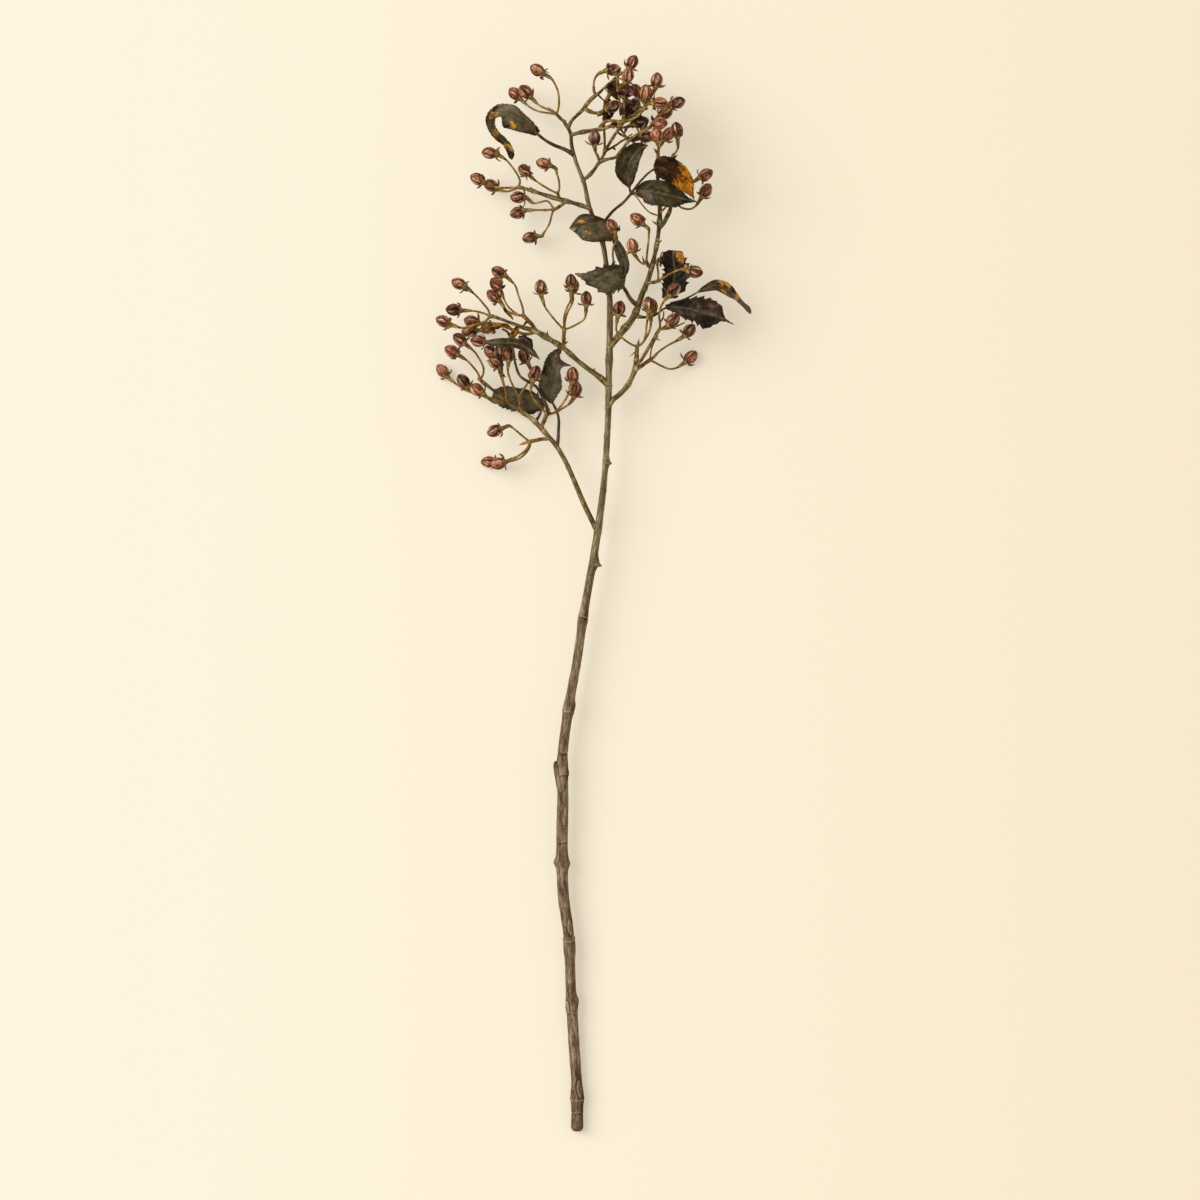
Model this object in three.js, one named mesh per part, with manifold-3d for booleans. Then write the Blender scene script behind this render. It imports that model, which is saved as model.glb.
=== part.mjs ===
// A cut sprig of hypericum with ripe berries, lying on a flat surface.
// Millimetres. +Z is up, and +Y runs from the cut foot of the stem to its top.
// All points are given from the cut foot, with the surface at Z = 0.
import * as THREE from 'three';
import { mergeVertices } from 'three/addons/utils/BufferGeometryUtils.js';
import Module from 'manifold-3d';

const wasm = await Module();
wasm.setup();

// ---------------------------------------------------------------- driving dimensions
const OUTLINE_MIDDLE = [12.05, 376.55]; // the middle of the sprig's outline, seen from above
const BERRY_WIDTH = 8.6;
const BERRY_LENGTH = 10.4;
const STALK_RADIUS = 0.6;
const RECEPTACLE_RADIUS = 1.55;
const RECEPTACLE_LENGTH = 7;
const STALK_STEP = 9;                   // length of a stalk between two of its rings
const SEPALS = 5;
const SEPAL_REACH = 5.9;                // from the middle of the calyx to the tips of the sepals
const SEPAL_LIFT = 2.1;                 // of those tips towards the berry's tip
const CALYX_WAIST = 2;                  // from the middle of the calyx to the notches between sepals
const CALYX_DEPTH = 1.8;
const BUD_RADIUS = 1.1;
const LEAF_THICKNESS = 0.7;
const TOOTH_DEPTH = 0.1;                // of a leaf's half width
const JOINT_GAP = 0.3;                  // between a piece and the branch that carries it

const STEM_SIDES = 8;
const BRANCH_SIDES = 6;
const TWIG_SIDES = 5;
const STALK_SIDES = 4;
const LEAF_STRIPS = 2;                  // across a blade

// ---------------------------------------------------------------- finishes
const finish = (color, roughness) => new THREE.MeshStandardMaterial({ color, roughness, metalness: 0 });
const BARK = finish('#6b6149', 0.8);
const TWIG = finish('#6a6a48', 0.7);
const BERRY = finish('#8a4a3c', 0.45);
const LEAF = finish('#4a4a38', 0.65);
const OCHRE_LEAF = finish('#b07a22', 0.65);

// ---------------------------------------------------------------- shape helpers
const vector = ([x, y, z]) => new THREE.Vector3(x, y, z);
const radians = THREE.MathUtils.degToRad;
const lerp = THREE.MathUtils.lerp;

/** A closed solid from a closed three.js geometry. */
function solidOf(geometry) {
  const bare = new THREE.BufferGeometry();
  bare.setAttribute('position', geometry.getAttribute('position').clone());
  bare.setIndex(geometry.index.clone());
  const merged = mergeVertices(bare, 1e-5);
  return new wasm.Manifold(new wasm.Mesh({
    numProp: 3,
    vertProperties: new Float32Array(merged.getAttribute('position').array),
    triVerts: new Uint32Array(merged.index.array),
  }));
}

/** All the solids joined in one. */
function join(solids) {
  return solids.reduce((whole, solid) => whole.add(solid));
}

/** A mesh for the sprig from a solid. */
function meshOf(name, solid, material) {
  const { vertProperties, triVerts } = solid.getMesh();
  const geometry = new THREE.BufferGeometry();
  geometry.setAttribute('position', new THREE.BufferAttribute(new Float32Array(vertProperties), 3));
  geometry.setIndex(new THREE.BufferAttribute(new Uint32Array(triVerts), 1));
  geometry.computeVertexNormals();
  const mesh = new THREE.Mesh(geometry, material);
  mesh.name = name;
  return mesh;
}

/** A value read from evenly spaced stops, at t from 0 to 1. */
function along(stops, t) {
  const place = t * (stops.length - 1);
  const from = Math.min(Math.floor(place), stops.length - 2);
  return lerp(stops[from], stops[from + 1], place - from);
}

/** A closed cylinder bent along a smooth curve, whose radius is radiusAt(t). */
function bentTube(points, radiusAt, steps, sides) {
  const curve = new THREE.CatmullRomCurve3(points.map(vector), false, 'centripetal');
  const frames = curve.computeFrenetFrames(steps, false);
  const geometry = new THREE.CylinderGeometry(1, 1, 1, sides, steps, false);
  const position = geometry.getAttribute('position');
  for (let i = 0; i < position.count; i += 1) {
    const ring = Math.round((position.getY(i) + 0.5) * steps);
    const radius = radiusAt(ring / steps);
    const centre = curve.getPointAt(ring / steps);
    centre.addScaledVector(frames.normals[ring], position.getZ(i) * radius);
    centre.addScaledVector(frames.binormals[ring], position.getX(i) * radius);
    position.setXYZ(i, centre.x, centre.y, centre.z);
  }
  return solidOf(geometry);
}

/** A spike, such as a thorn or a snapped stub, from a wide foot to a narrow tip. */
function spike(foot, tip, footRadius, tipRadius = 0.3, sides = STALK_SIDES) {
  return bentTube([foot, tip], (t) => lerp(footRadius, tipRadius, t), 1, sides);
}

// ---------------------------------------------------------------- stem and branches
// Each route is a list of points. Radii are spread evenly from its start to its end.
// Collars are the swollen rings where leaves once grew, as [place along it, extra radius].
const ROUTES = {
  main_stem: {
    points: [
      [0.4, 0, 4.32], [0.2, 30, 5], [-1.8, 60, 6], [-4, 100, 7.4], [-5.5, 137, 8.6], [-9.2, 165, 9.4],
      [-10.2, 195, 10.4], [-9.6, 235, 11.6], [-9.9, 262, 12.4], [-5, 300, 13.6], [0.4, 330, 14.4],
      [4.6, 360, 15.4], [9.8, 390, 16.4], [14.7, 420, 17.4], [18.4, 448, 18.4], [20.5, 472, 19.2],
      [22, 500, 20.2], [22.6, 530, 21.2], [23.3, 560, 22.2], [23.2, 585, 23], [20.8, 608, 24],
      [17, 627, 25], [11.5, 640, 26], [8.3, 650, 26.8], [5.2, 664, 28], [-0.2, 678, 29.4],
      [-3.4, 690, 30.4], [-4.3, 699, 31], [-8.5, 706.5, 31.6],
    ],
    radii: [4.3, 3.7, 3.7, 3.6, 3.9, 4, 3.7, 3.3, 3.1, 2.8, 2.5, 2.15, 2.1, 2.2, 2, 1.6, 1.4, 1.2],
    collars: [
      [0.035, 0.7], [0.125, 0.5], [0.18, 0.7], [0.265, 0.8], [0.36, 0.5], [0.415, 0.7], [0.503, 0.7],
      [0.595, 0.4], [0.76, 0.5], [0.88, 0.5],
    ],
    steps: 60,
  },
  branch_lower_left: {
    from: ['main_stem'],
    points: [
      [14.8, 420, 17.4], [10.5, 428.5, 17.5], [4.6, 441, 17.6], [-3.4, 460, 17], [-8, 470, 16.6],
      [-14, 480, 16.2], [-22.5, 490, 15.6], [-30, 498, 14.6], [-40.5, 505.7, 13], [-51, 513, 12.4],
      [-60, 520.5, 12.6], [-66, 525, 13.4],
    ],
    radii: [1.9, 1.75, 1.6, 1.6, 1.5, 1.15, 1.05],
    collars: [[0.59, 0.4], [0.66, 0.5], [0.735, 0.5], [0.99, 0.4]],
    steps: 22,
  },
  branch_middle_left: {
    from: ['main_stem'],
    points: [
      [22.5, 522, 21], [18, 526.8, 22.4], [7.4, 534.6, 24], [0, 540.4, 25.4], [-10, 549.3, 27],
      [-18, 554.2, 28], [-28.5, 560.3, 29.4], [-38, 563.2, 29.4], [-48, 567, 28.4], [-58, 570.6, 27.6],
    ],
    radii: [2, 1.8, 1.6, 1.6, 1.7, 1.7, 1.2, 1],
    collars: [[0.08, 0.4], [0.37, 0.4], [0.49, 0.5], [0.6, 0.6], [0.985, 0.3]],
    steps: 19,
  },
  branch_lower_right: {
    from: ['main_stem'],
    points: [
      [22.3, 508, 20.5], [25.6, 512.6, 21], [30, 516.2, 21.6], [35, 521.5, 22.4], [38.2, 527, 23],
      [40.6, 533, 23.8], [41.8, 540, 24.8], [42.2, 547, 26.4],
    ],
    radii: [1.8, 1.7, 1.6, 1.7, 1.4],
    collars: [[0.45, 0.4], [0.7, 0.4], [0.86, 0.3]],
    steps: 16,
  },
  branch_middle_right: {
    from: ['main_stem'],
    points: [
      [23.2, 549.5, 21.8], [28, 555.4, 24], [33.5, 562, 26.4], [39, 569, 28.8], [42.6, 576.5, 31],
      [46, 586.5, 33.4], [50, 596, 35.4], [53.4, 608, 37.4], [55.8, 619, 38.8], [57.4, 630, 40],
      [58.2, 640, 41], [58, 650, 42], [57, 662, 43.6], [56.4, 674, 46], [57, 684, 48.6],
    ],
    radii: [2.2, 2.1, 2, 1.8, 1.4, 1.4, 1.5, 1.2, 0.9],
    collars: [[0.06, 0.3], [0.13, 0.4], [0.22, 0.5], [0.46, 0.3], [0.55, 0.4], [0.67, 0.7], [0.98, 0.3]],
    steps: 24,
  },
  branch_right_fork: {
    from: ['branch_middle_right'],
    points: [
      [57.7, 632, 40.2], [60.6, 635, 40.8], [62.8, 639.4, 41.4], [65, 644, 42], [67, 652, 43.4],
      [67.8, 661, 45], [67.4, 670, 47], [67, 680, 49.4],
    ],
    radii: [1.2, 1.1, 1.1, 0.8, 0.8],
    collars: [[0.16, 0.4], [0.26, 0.4], [0.98, 0.3]],
    steps: 14,
  },
  branch_upper_left: {
    from: ['main_stem'],
    points: [
      [9.5, 646, 26.4], [4.5, 648, 27], [-2, 650, 27.6], [-8, 651.6, 28], [-17, 654, 27.6],
      [-25, 656.6, 26.4], [-32, 659, 25], [-37.4, 660.6, 24],
    ],
    radii: [1.3, 1.4, 1.6, 1.2, 1.05],
    collars: [[0.14, 0.4], [0.36, 0.5], [0.6, 0.2], [0.86, 0.4]],
    steps: 16,
  },
  branch_upper_right: {
    from: ['main_stem'],
    points: [
      [4, 665.6, 28.2], [8.5, 669, 30.4], [12.4, 673.4, 32.6], [16.8, 679, 35], [22, 680.6, 36.6],
      [28, 682.2, 38], [31, 686, 39], [36.5, 693.4, 41], [45, 699.6, 43.4], [50, 702, 44.6],
    ],
    radii: [1.1, 1.1, 1, 0.9, 0.85],
    collars: [[0.13, 0.4], [0.33, 0.5], [0.56, 0.4], [0.98, 0.3]],
    steps: 18,
  },
  branch_crown: {
    from: ['main_stem'],
    points: [
      [-4, 697.6, 31], [1, 699, 32.6], [5, 699.8, 34], [12, 701, 36], [19, 702, 38], [28, 705, 40.4],
      [34, 708, 42], [40, 711.2, 43], [46, 715.6, 44],
    ],
    radii: [1.2, 1.2, 1, 0.95, 0.9],
    collars: [[0.17, 0.5], [0.42, 0.3], [0.67, 0.4], [0.98, 0.3]],
    steps: 16,
  },
  branch_top: {
    from: ['main_stem', 'branch_crown'],
    points: [
      [-6, 702.4, 31.2], [-3.4, 707.4, 33], [0, 711, 34.4], [4.4, 715.2, 36.2], [8, 720, 38],
      [12.6, 724.6, 39.8], [16, 727, 40.8], [20, 731, 42], [25, 735.2, 43.6], [28.8, 738.6, 44.8],
    ],
    radii: [1.2, 1.1, 1.1, 0.9, 0.85],
    collars: [[0.3, 0.2], [0.43, 0.4], [0.56, 0.4], [0.98, 0.3]],
    steps: 16,
  },
};

/** The radius along a route: its evenly spread radii, with a swelling one step long at each collar. */
function routeRadius({ radii, collars, steps }, extra = 0) {
  return (t) => collars.reduce(
    (radius, [place, swell]) => radius + swell * Math.exp(-(((t - place) * steps) ** 2)),
    along(radii, t) + extra,
  );
}

/** The place just past the end of a branch, where the next piece starts. */
function pastEnd(name) {
  const [before, end] = ROUTES[name].points.slice(-2).map(vector);
  return end.clone().addScaledVector(end.clone().sub(before).normalize(), JOINT_GAP).toArray();
}

/** The stem or a branch. */
function routeSolid(name) {
  const route = ROUTES[name];
  return bentTube(route.points, routeRadius(route), route.steps, sidesOf(name));
}

/** The room around the stem or a branch that the pieces on it leave free. */
function clearanceSolid(name) {
  const route = ROUTES[name];
  const points = [...route.points, pastEnd(name)];
  return bentTube(points, routeRadius(route, JOINT_GAP), route.steps, sidesOf(name));
}

const sidesOf = (name) => (name === 'main_stem' ? STEM_SIDES : BRANCH_SIDES);
const CLEARANCES = Object.fromEntries(Object.keys(ROUTES).map((name) => [name, clearanceSolid(name)]));

/** A piece with the room around the branches cut away, so that it ends just clear of them. */
function clearOf(solid, carriers) {
  return carriers.reduce((rest, name) => rest.subtract(CLEARANCES[name]), solid);
}

/** The snapped side shoots, thorns and buds that stand on the main stem. */
function stemOutgrowths() {
  return [
    spike([-11.4, 241, 12.4], [-16.6, 259.5, 15], 2.2, 1.3),
    spike([9.4, 391, 17], [16.6, 396.6, 20.4], 2, 0.4),
    spike([20.6, 469.6, 20], [25.2, 467.8, 22.4], 2.2, 0.4),
    spike([-4.4, 84, 8], [-8.6, 87.4, 9.4], 1.6, 0.6),
    spike([-8.8, 139, 10], [-0.6, 143, 13], 1.6, 0.6),
    spike([-9.8, 187, 11], [-15, 190, 12], 1.6, 0.7),
    spike([-9.8, 187, 11], [-4.6, 185.6, 12.6], 1.6, 0.7),
  ];
}

// ---------------------------------------------------------------- leaves
// A blade runs along its midrib. Each station of it is
// [x, y, z, half width to the left, half width to the right, roll to the right in degrees].
// stalk is the route of the leaf's own stalk, which ends in the blade.
const LEAVES = {
  leaf_top_curled: {
    on: ['main_stem'],
    stalk: [[-2, 684, 29.8], [-8, 687.4, 31], [-16, 690.6, 33], [-22, 694, 35], [-29, 699.6, 37.4]],
    stalkRadius: 1.25,
    blade: [
      [-27, 698.4, 36.6, 2.5, 3, 0], [-33, 703.6, 40.4, 6, 4.4, 0], [-40, 708, 43, 9, 6, 8],
      [-47, 711.6, 44, 10, 7.6, 14], [-54, 713, 41, 7.6, 6, 20], [-59.4, 710, 35, 4, 4, 20],
      [-60, 704, 30, 3.4, 3.2, 10], [-56, 698, 26, 3, 3, 0], [-50, 692.6, 22, 2.4, 2.4, 0],
      [-46, 683, 19, 0.3, 0.3, 0],
    ],
    steps: 18,
  },
  leaf_compound_left: {
    on: [],
    blade: [
      [37, 660.4, 47.8, 1, 1, 0], [36, 666, 50, 5.6, 5.2, 0], [36, 673, 51.6, 8.4, 7, 0],
      [39, 681, 51.4, 7.8, 6, 0], [44.4, 687.4, 50, 4, 3.6, 0], [50, 690, 49, 0.3, 0.3, 0],
    ],
    steps: 12,
  },
  leaf_compound_right: {
    on: [],
    blade: [
      [41.4, 656.6, 47.8, 1.2, 2.6, 0], [46, 658.2, 50.6, 5.6, 7.6, 0], [54, 657.6, 54, 8.6, 10, 0],
      [62, 655.6, 55, 9.4, 9, 0], [70, 653.6, 54, 7, 7.6, 0], [77, 652, 52, 2.6, 3, 0],
      [84.4, 650.4, 50, 0.3, 0.3, 0],
    ],
    steps: 14,
  },
  leaf_compound_top: {
    on: ['main_stem'],
    stalk: [
      [15.2, 632, 25.2], [19.4, 637, 29], [25.6, 644.4, 34.6], [33, 650.4, 41], [38.4, 656.6, 47.4],
      [44, 664, 54], [51, 671, 58.6], [57, 674.6, 60.4],
    ],
    stalkRadius: 0.95,
    blade: [
      [54, 674.4, 58, 2, 2, 0], [58, 674, 60.6, 8, 6.6, 0], [63, 672.4, 62.4, 9.6, 7.4, 0],
      [70, 668.4, 62.8, 9.2, 7, 0], [76.4, 662, 61, 6.4, 5.6, 0], [80.4, 655.6, 58.6, 2, 2, 0],
      [82.4, 651.8, 57.4, 0.3, 0.3, 0],
    ],
    steps: 14,
  },
  leaf_middle_smooth: {
    on: [],
    blade: [
      [26, 625.6, 33.4, 3.4, 3.8, 0], [20, 629.6, 35.2, 7.4, 7.6, 0], [12, 632, 36.4, 9.6, 9.2, 0],
      [4, 633.2, 36.6, 8.8, 9, 0], [-1.4, 632.8, 35.6, 3.8, 4.2, 0], [-5, 632.2, 34.6, 0.3, 0.3, 0],
    ],
    steps: 8,
    smooth: true,
  },
  leaf_middle_serrated: {
    on: ['branch_middle_right'],
    stalk: [[43.6, 578.6, 31.6], [40.6, 580, 32], [37.4, 583.4, 33], [34.2, 589, 34.4], [31, 594, 35.6]],
    stalkRadius: 1.4,
    blade: [
      [33.4, 595.4, 35.6, 6.4, 8, 0], [27, 597, 36.8, 9.4, 10.6, 0], [18, 597, 37.4, 10.2, 10, 0],
      [10.6, 597.2, 36.6, 7, 7.2, 0], [4.6, 598.8, 35, 2.8, 2.8, 0], [-1, 600.6, 33.4, 0.8, 0.8, 0],
    ],
    steps: 16,
  },
  leaf_middle_edge_on: {
    on: [],
    blade: [
      [33.6, 603.6, 38, 1.4, 1.6, 30], [34.6, 608, 38.6, 3.2, 2.8, 40], [33.8, 614, 38.8, 3.6, 3, 40],
      [31, 620.4, 37.8, 3.2, 3, 25], [28.8, 625.2, 36, 1.4, 1.6, 10],
    ],
    steps: 8,
    smooth: true,
  },
  leaf_right_dark: {
    on: [],
    blade: [
      [61.4, 583.6, 31, 1.4, 1, 0], [63.6, 588, 33, 5.4, 6.4, 0], [67, 594.4, 35, 8, 9, 0],
      [69, 602, 36, 8.8, 9.6, 0], [69.6, 609, 36.6, 9, 8.6, -10], [70, 614.6, 36.4, 7.8, 6, -20],
    ],
    steps: 12,
  },
  leaf_right_serrated: {
    on: ['branch_middle_right'],
    stalk: [
      [40.4, 570.6, 28.4], [46.4, 570.2, 25.4], [52, 570.6, 24], [57, 573, 24.4], [61, 576, 26.4],
      [66, 577.6, 29],
    ],
    stalkRadius: 0.9,
    blade: [
      [62.4, 577.4, 26.6, 1.6, 1.4, 0], [68, 577.6, 29.4, 4, 5, 0], [76, 576.6, 32.4, 6.6, 8, 0],
      [84, 574.8, 33.6, 11.6, 10.2, 0], [92, 572.6, 32.6, 11, 11.4, 0], [98.6, 570.6, 30.4, 8, 6, 0],
      [103, 568.8, 28.4, 2, 2, 0], [110, 565.2, 25, 0.3, 0.3, 0],
    ],
    steps: 18,
  },
  leaf_right_curled: {
    on: [],
    stalk: [[66, 579.8, 26.6], [74, 582.2, 28.6], [81, 585.4, 32.4], [87, 589, 37]],
    stalkRadius: 0.7,
    blade: [
      [85.4, 587.9, 36, 0.9, 0.9, 0], [91.4, 590.6, 39.6, 2.8, 2.8, 10], [98.4, 592, 41.6, 4.4, 4.6, 25],
      [105, 589.4, 40, 4.6, 5.4, 30], [110.4, 585.4, 34, 2.6, 3, 20], [115.4, 580.4, 24, 1.6, 1.6, 0],
      [120, 576.4, 12, 1.8, 2, 0], [122, 573.2, 4, 0.8, 0.8, 0],
    ],
    steps: 14,
    smooth: true,
  },
  leaf_left_arched: {
    on: ['branch_lower_left'],
    stalk: [
      [-20, 504.8, 21.8], [-21.6, 509.4, 23.4], [-28, 521.4, 27], [-34.4, 525.4, 30], [-39.4, 529, 33],
      [-42.6, 537, 37.6], [-43.8, 545, 41.6], [-45, 551, 45.2],
    ],
    stalkRadius: 1,
    blade: [
      [-64.6, 552.4, 41, 0.9, 0.9, 0], [-58, 552.2, 43.4, 2.8, 2.6, 0], [-50, 552.2, 45, 3.5, 3.6, 0],
      [-42.6, 551.8, 45.2, 3.6, 3.6, 0], [-36, 549.4, 44.6, 3.2, 3.2, 0], [-30.8, 545.2, 43.6, 2.4, 2.2, 0],
      [-25.6, 540.4, 42.6, 0.3, 0.3, 0],
    ],
    steps: 12,
    smooth: true,
  },
  leaf_left_folded: {
    on: ['branch_lower_left'],
    stalk: [
      [-13.8, 479.6, 16.2], [-13, 484, 16.8], [-12.6, 491, 16], [-12.4, 498, 14.6], [-13.4, 503.4, 14.2],
      [-17.6, 512, 19.6],
    ],
    stalkRadius: 1.05,
    blade: [
      [-17.4, 509.8, 19, 0.9, 0.9, 0], [-18, 515, 21, 5.4, 5, 0], [-18.2, 522, 22.6, 8.6, 8.6, 0],
      [-17.6, 530, 23, 7.4, 7, 0], [-16.8, 536, 22.6, 6.6, 7, 0], [-16, 539.6, 22, 6, 13.6, 0],
      [-14.6, 543, 21, 5, 4.6, 0], [-11.4, 548, 19.6, 1.8, 1.8, 0],
    ],
    steps: 16,
  },
  leaf_left_flat: {
    on: ['branch_lower_left'],
    stalk: [[-29, 497, 14.8], [-26.6, 500.6, 12], [-25, 504.6, 9.8], [-26.4, 508.8, 8.6]],
    stalkRadius: 0.9,
    blade: [
      [-22.4, 507.4, 8.6, 1.6, 1.6, 0], [-29, 509.4, 8.4, 7.8, 8.6, 0], [-37.4, 511.6, 7.4, 8.8, 9.4, 0],
      [-45.4, 513.2, 6, 8.8, 8.6, 0], [-52.6, 515, 4.4, 7, 8.6, 0], [-58.6, 517, 3, 3, 3.6, 0],
    ],
    steps: 14,
  },
  leaf_left_small: {
    on: [],
    blade: [
      [-40.6, 556.4, 35.6, 1, 1, 0], [-36.6, 555.2, 36.4, 2.8, 2.8, 0], [-33, 552.2, 36.4, 3.2, 3.2, 0],
      [-31.2, 547.6, 35.6, 1, 1.2, 0],
    ],
    steps: 6,
  },
};

const STATION = { left: 3, right: 4, roll: 5 };
const TEETH_EVERY = 2;                  // rings of the blade from one tooth to the next

/** One number of a blade's stations, read as a smooth curve along the blade at t from 0 to 1. */
function stationValue(blade, column, t) {
  const curve = new THREE.CatmullRomCurve3(
    blade.map((station, i) => new THREE.Vector3(station[column], i, 0)),
    false,
    'centripetal',
  );
  return curve.getPoint(t).x;
}

/** A thin closed blade: a box whose two broad faces follow the midrib and the stations. */
function bladeSolid({ blade, steps, smooth = false }) {
  const midrib = new THREE.CatmullRomCurve3(blade.map(vector), false, 'centripetal');
  const geometry = new THREE.BoxGeometry(1, 1, 1, LEAF_STRIPS, 1, steps);
  const position = geometry.getAttribute('position');
  const up = new THREE.Vector3(0, 0, 1);
  for (let i = 0; i < position.count; i += 1) {
    const ring = Math.round((position.getZ(i) + 0.5) * steps);
    const t = ring / steps;
    const side = position.getX(i);
    const ahead = midrib.getTangent(t);
    const toRight = ahead.clone().cross(up).normalize();
    toRight.applyAxisAngle(ahead, radians(-stationValue(blade, STATION.roll, t)));
    const outOfFace = toRight.clone().cross(ahead);
    const column = side > 0 ? STATION.left : STATION.right;
    const tooth = smooth || ring % TEETH_EVERY ? 1 : 1 - TOOTH_DEPTH;
    const halfWidth = Math.max(stationValue(blade, column, t), LEAF_THICKNESS / 2) * tooth;
    const place = midrib.getPoint(t);
    place.addScaledVector(toRight, -2 * side * halfWidth);
    place.addScaledVector(outOfFace, position.getY(i) * LEAF_THICKNESS);
    position.setXYZ(i, place.x, place.y, place.z);
  }
  return solidOf(geometry);
}

/** A leaf: its blade, joined to its stalk where it has one. */
function leafSolid({ on, stalk, stalkRadius, ...leaf }) {
  const solids = [bladeSolid(leaf)];
  if (stalk) {
    solids.push(bentTube(stalk, (t) => stalkRadius * lerp(1.2, 0.8, t), 2 * stalk.length, TWIG_SIDES));
  }
  return clearOf(join(solids), on);
}

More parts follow.
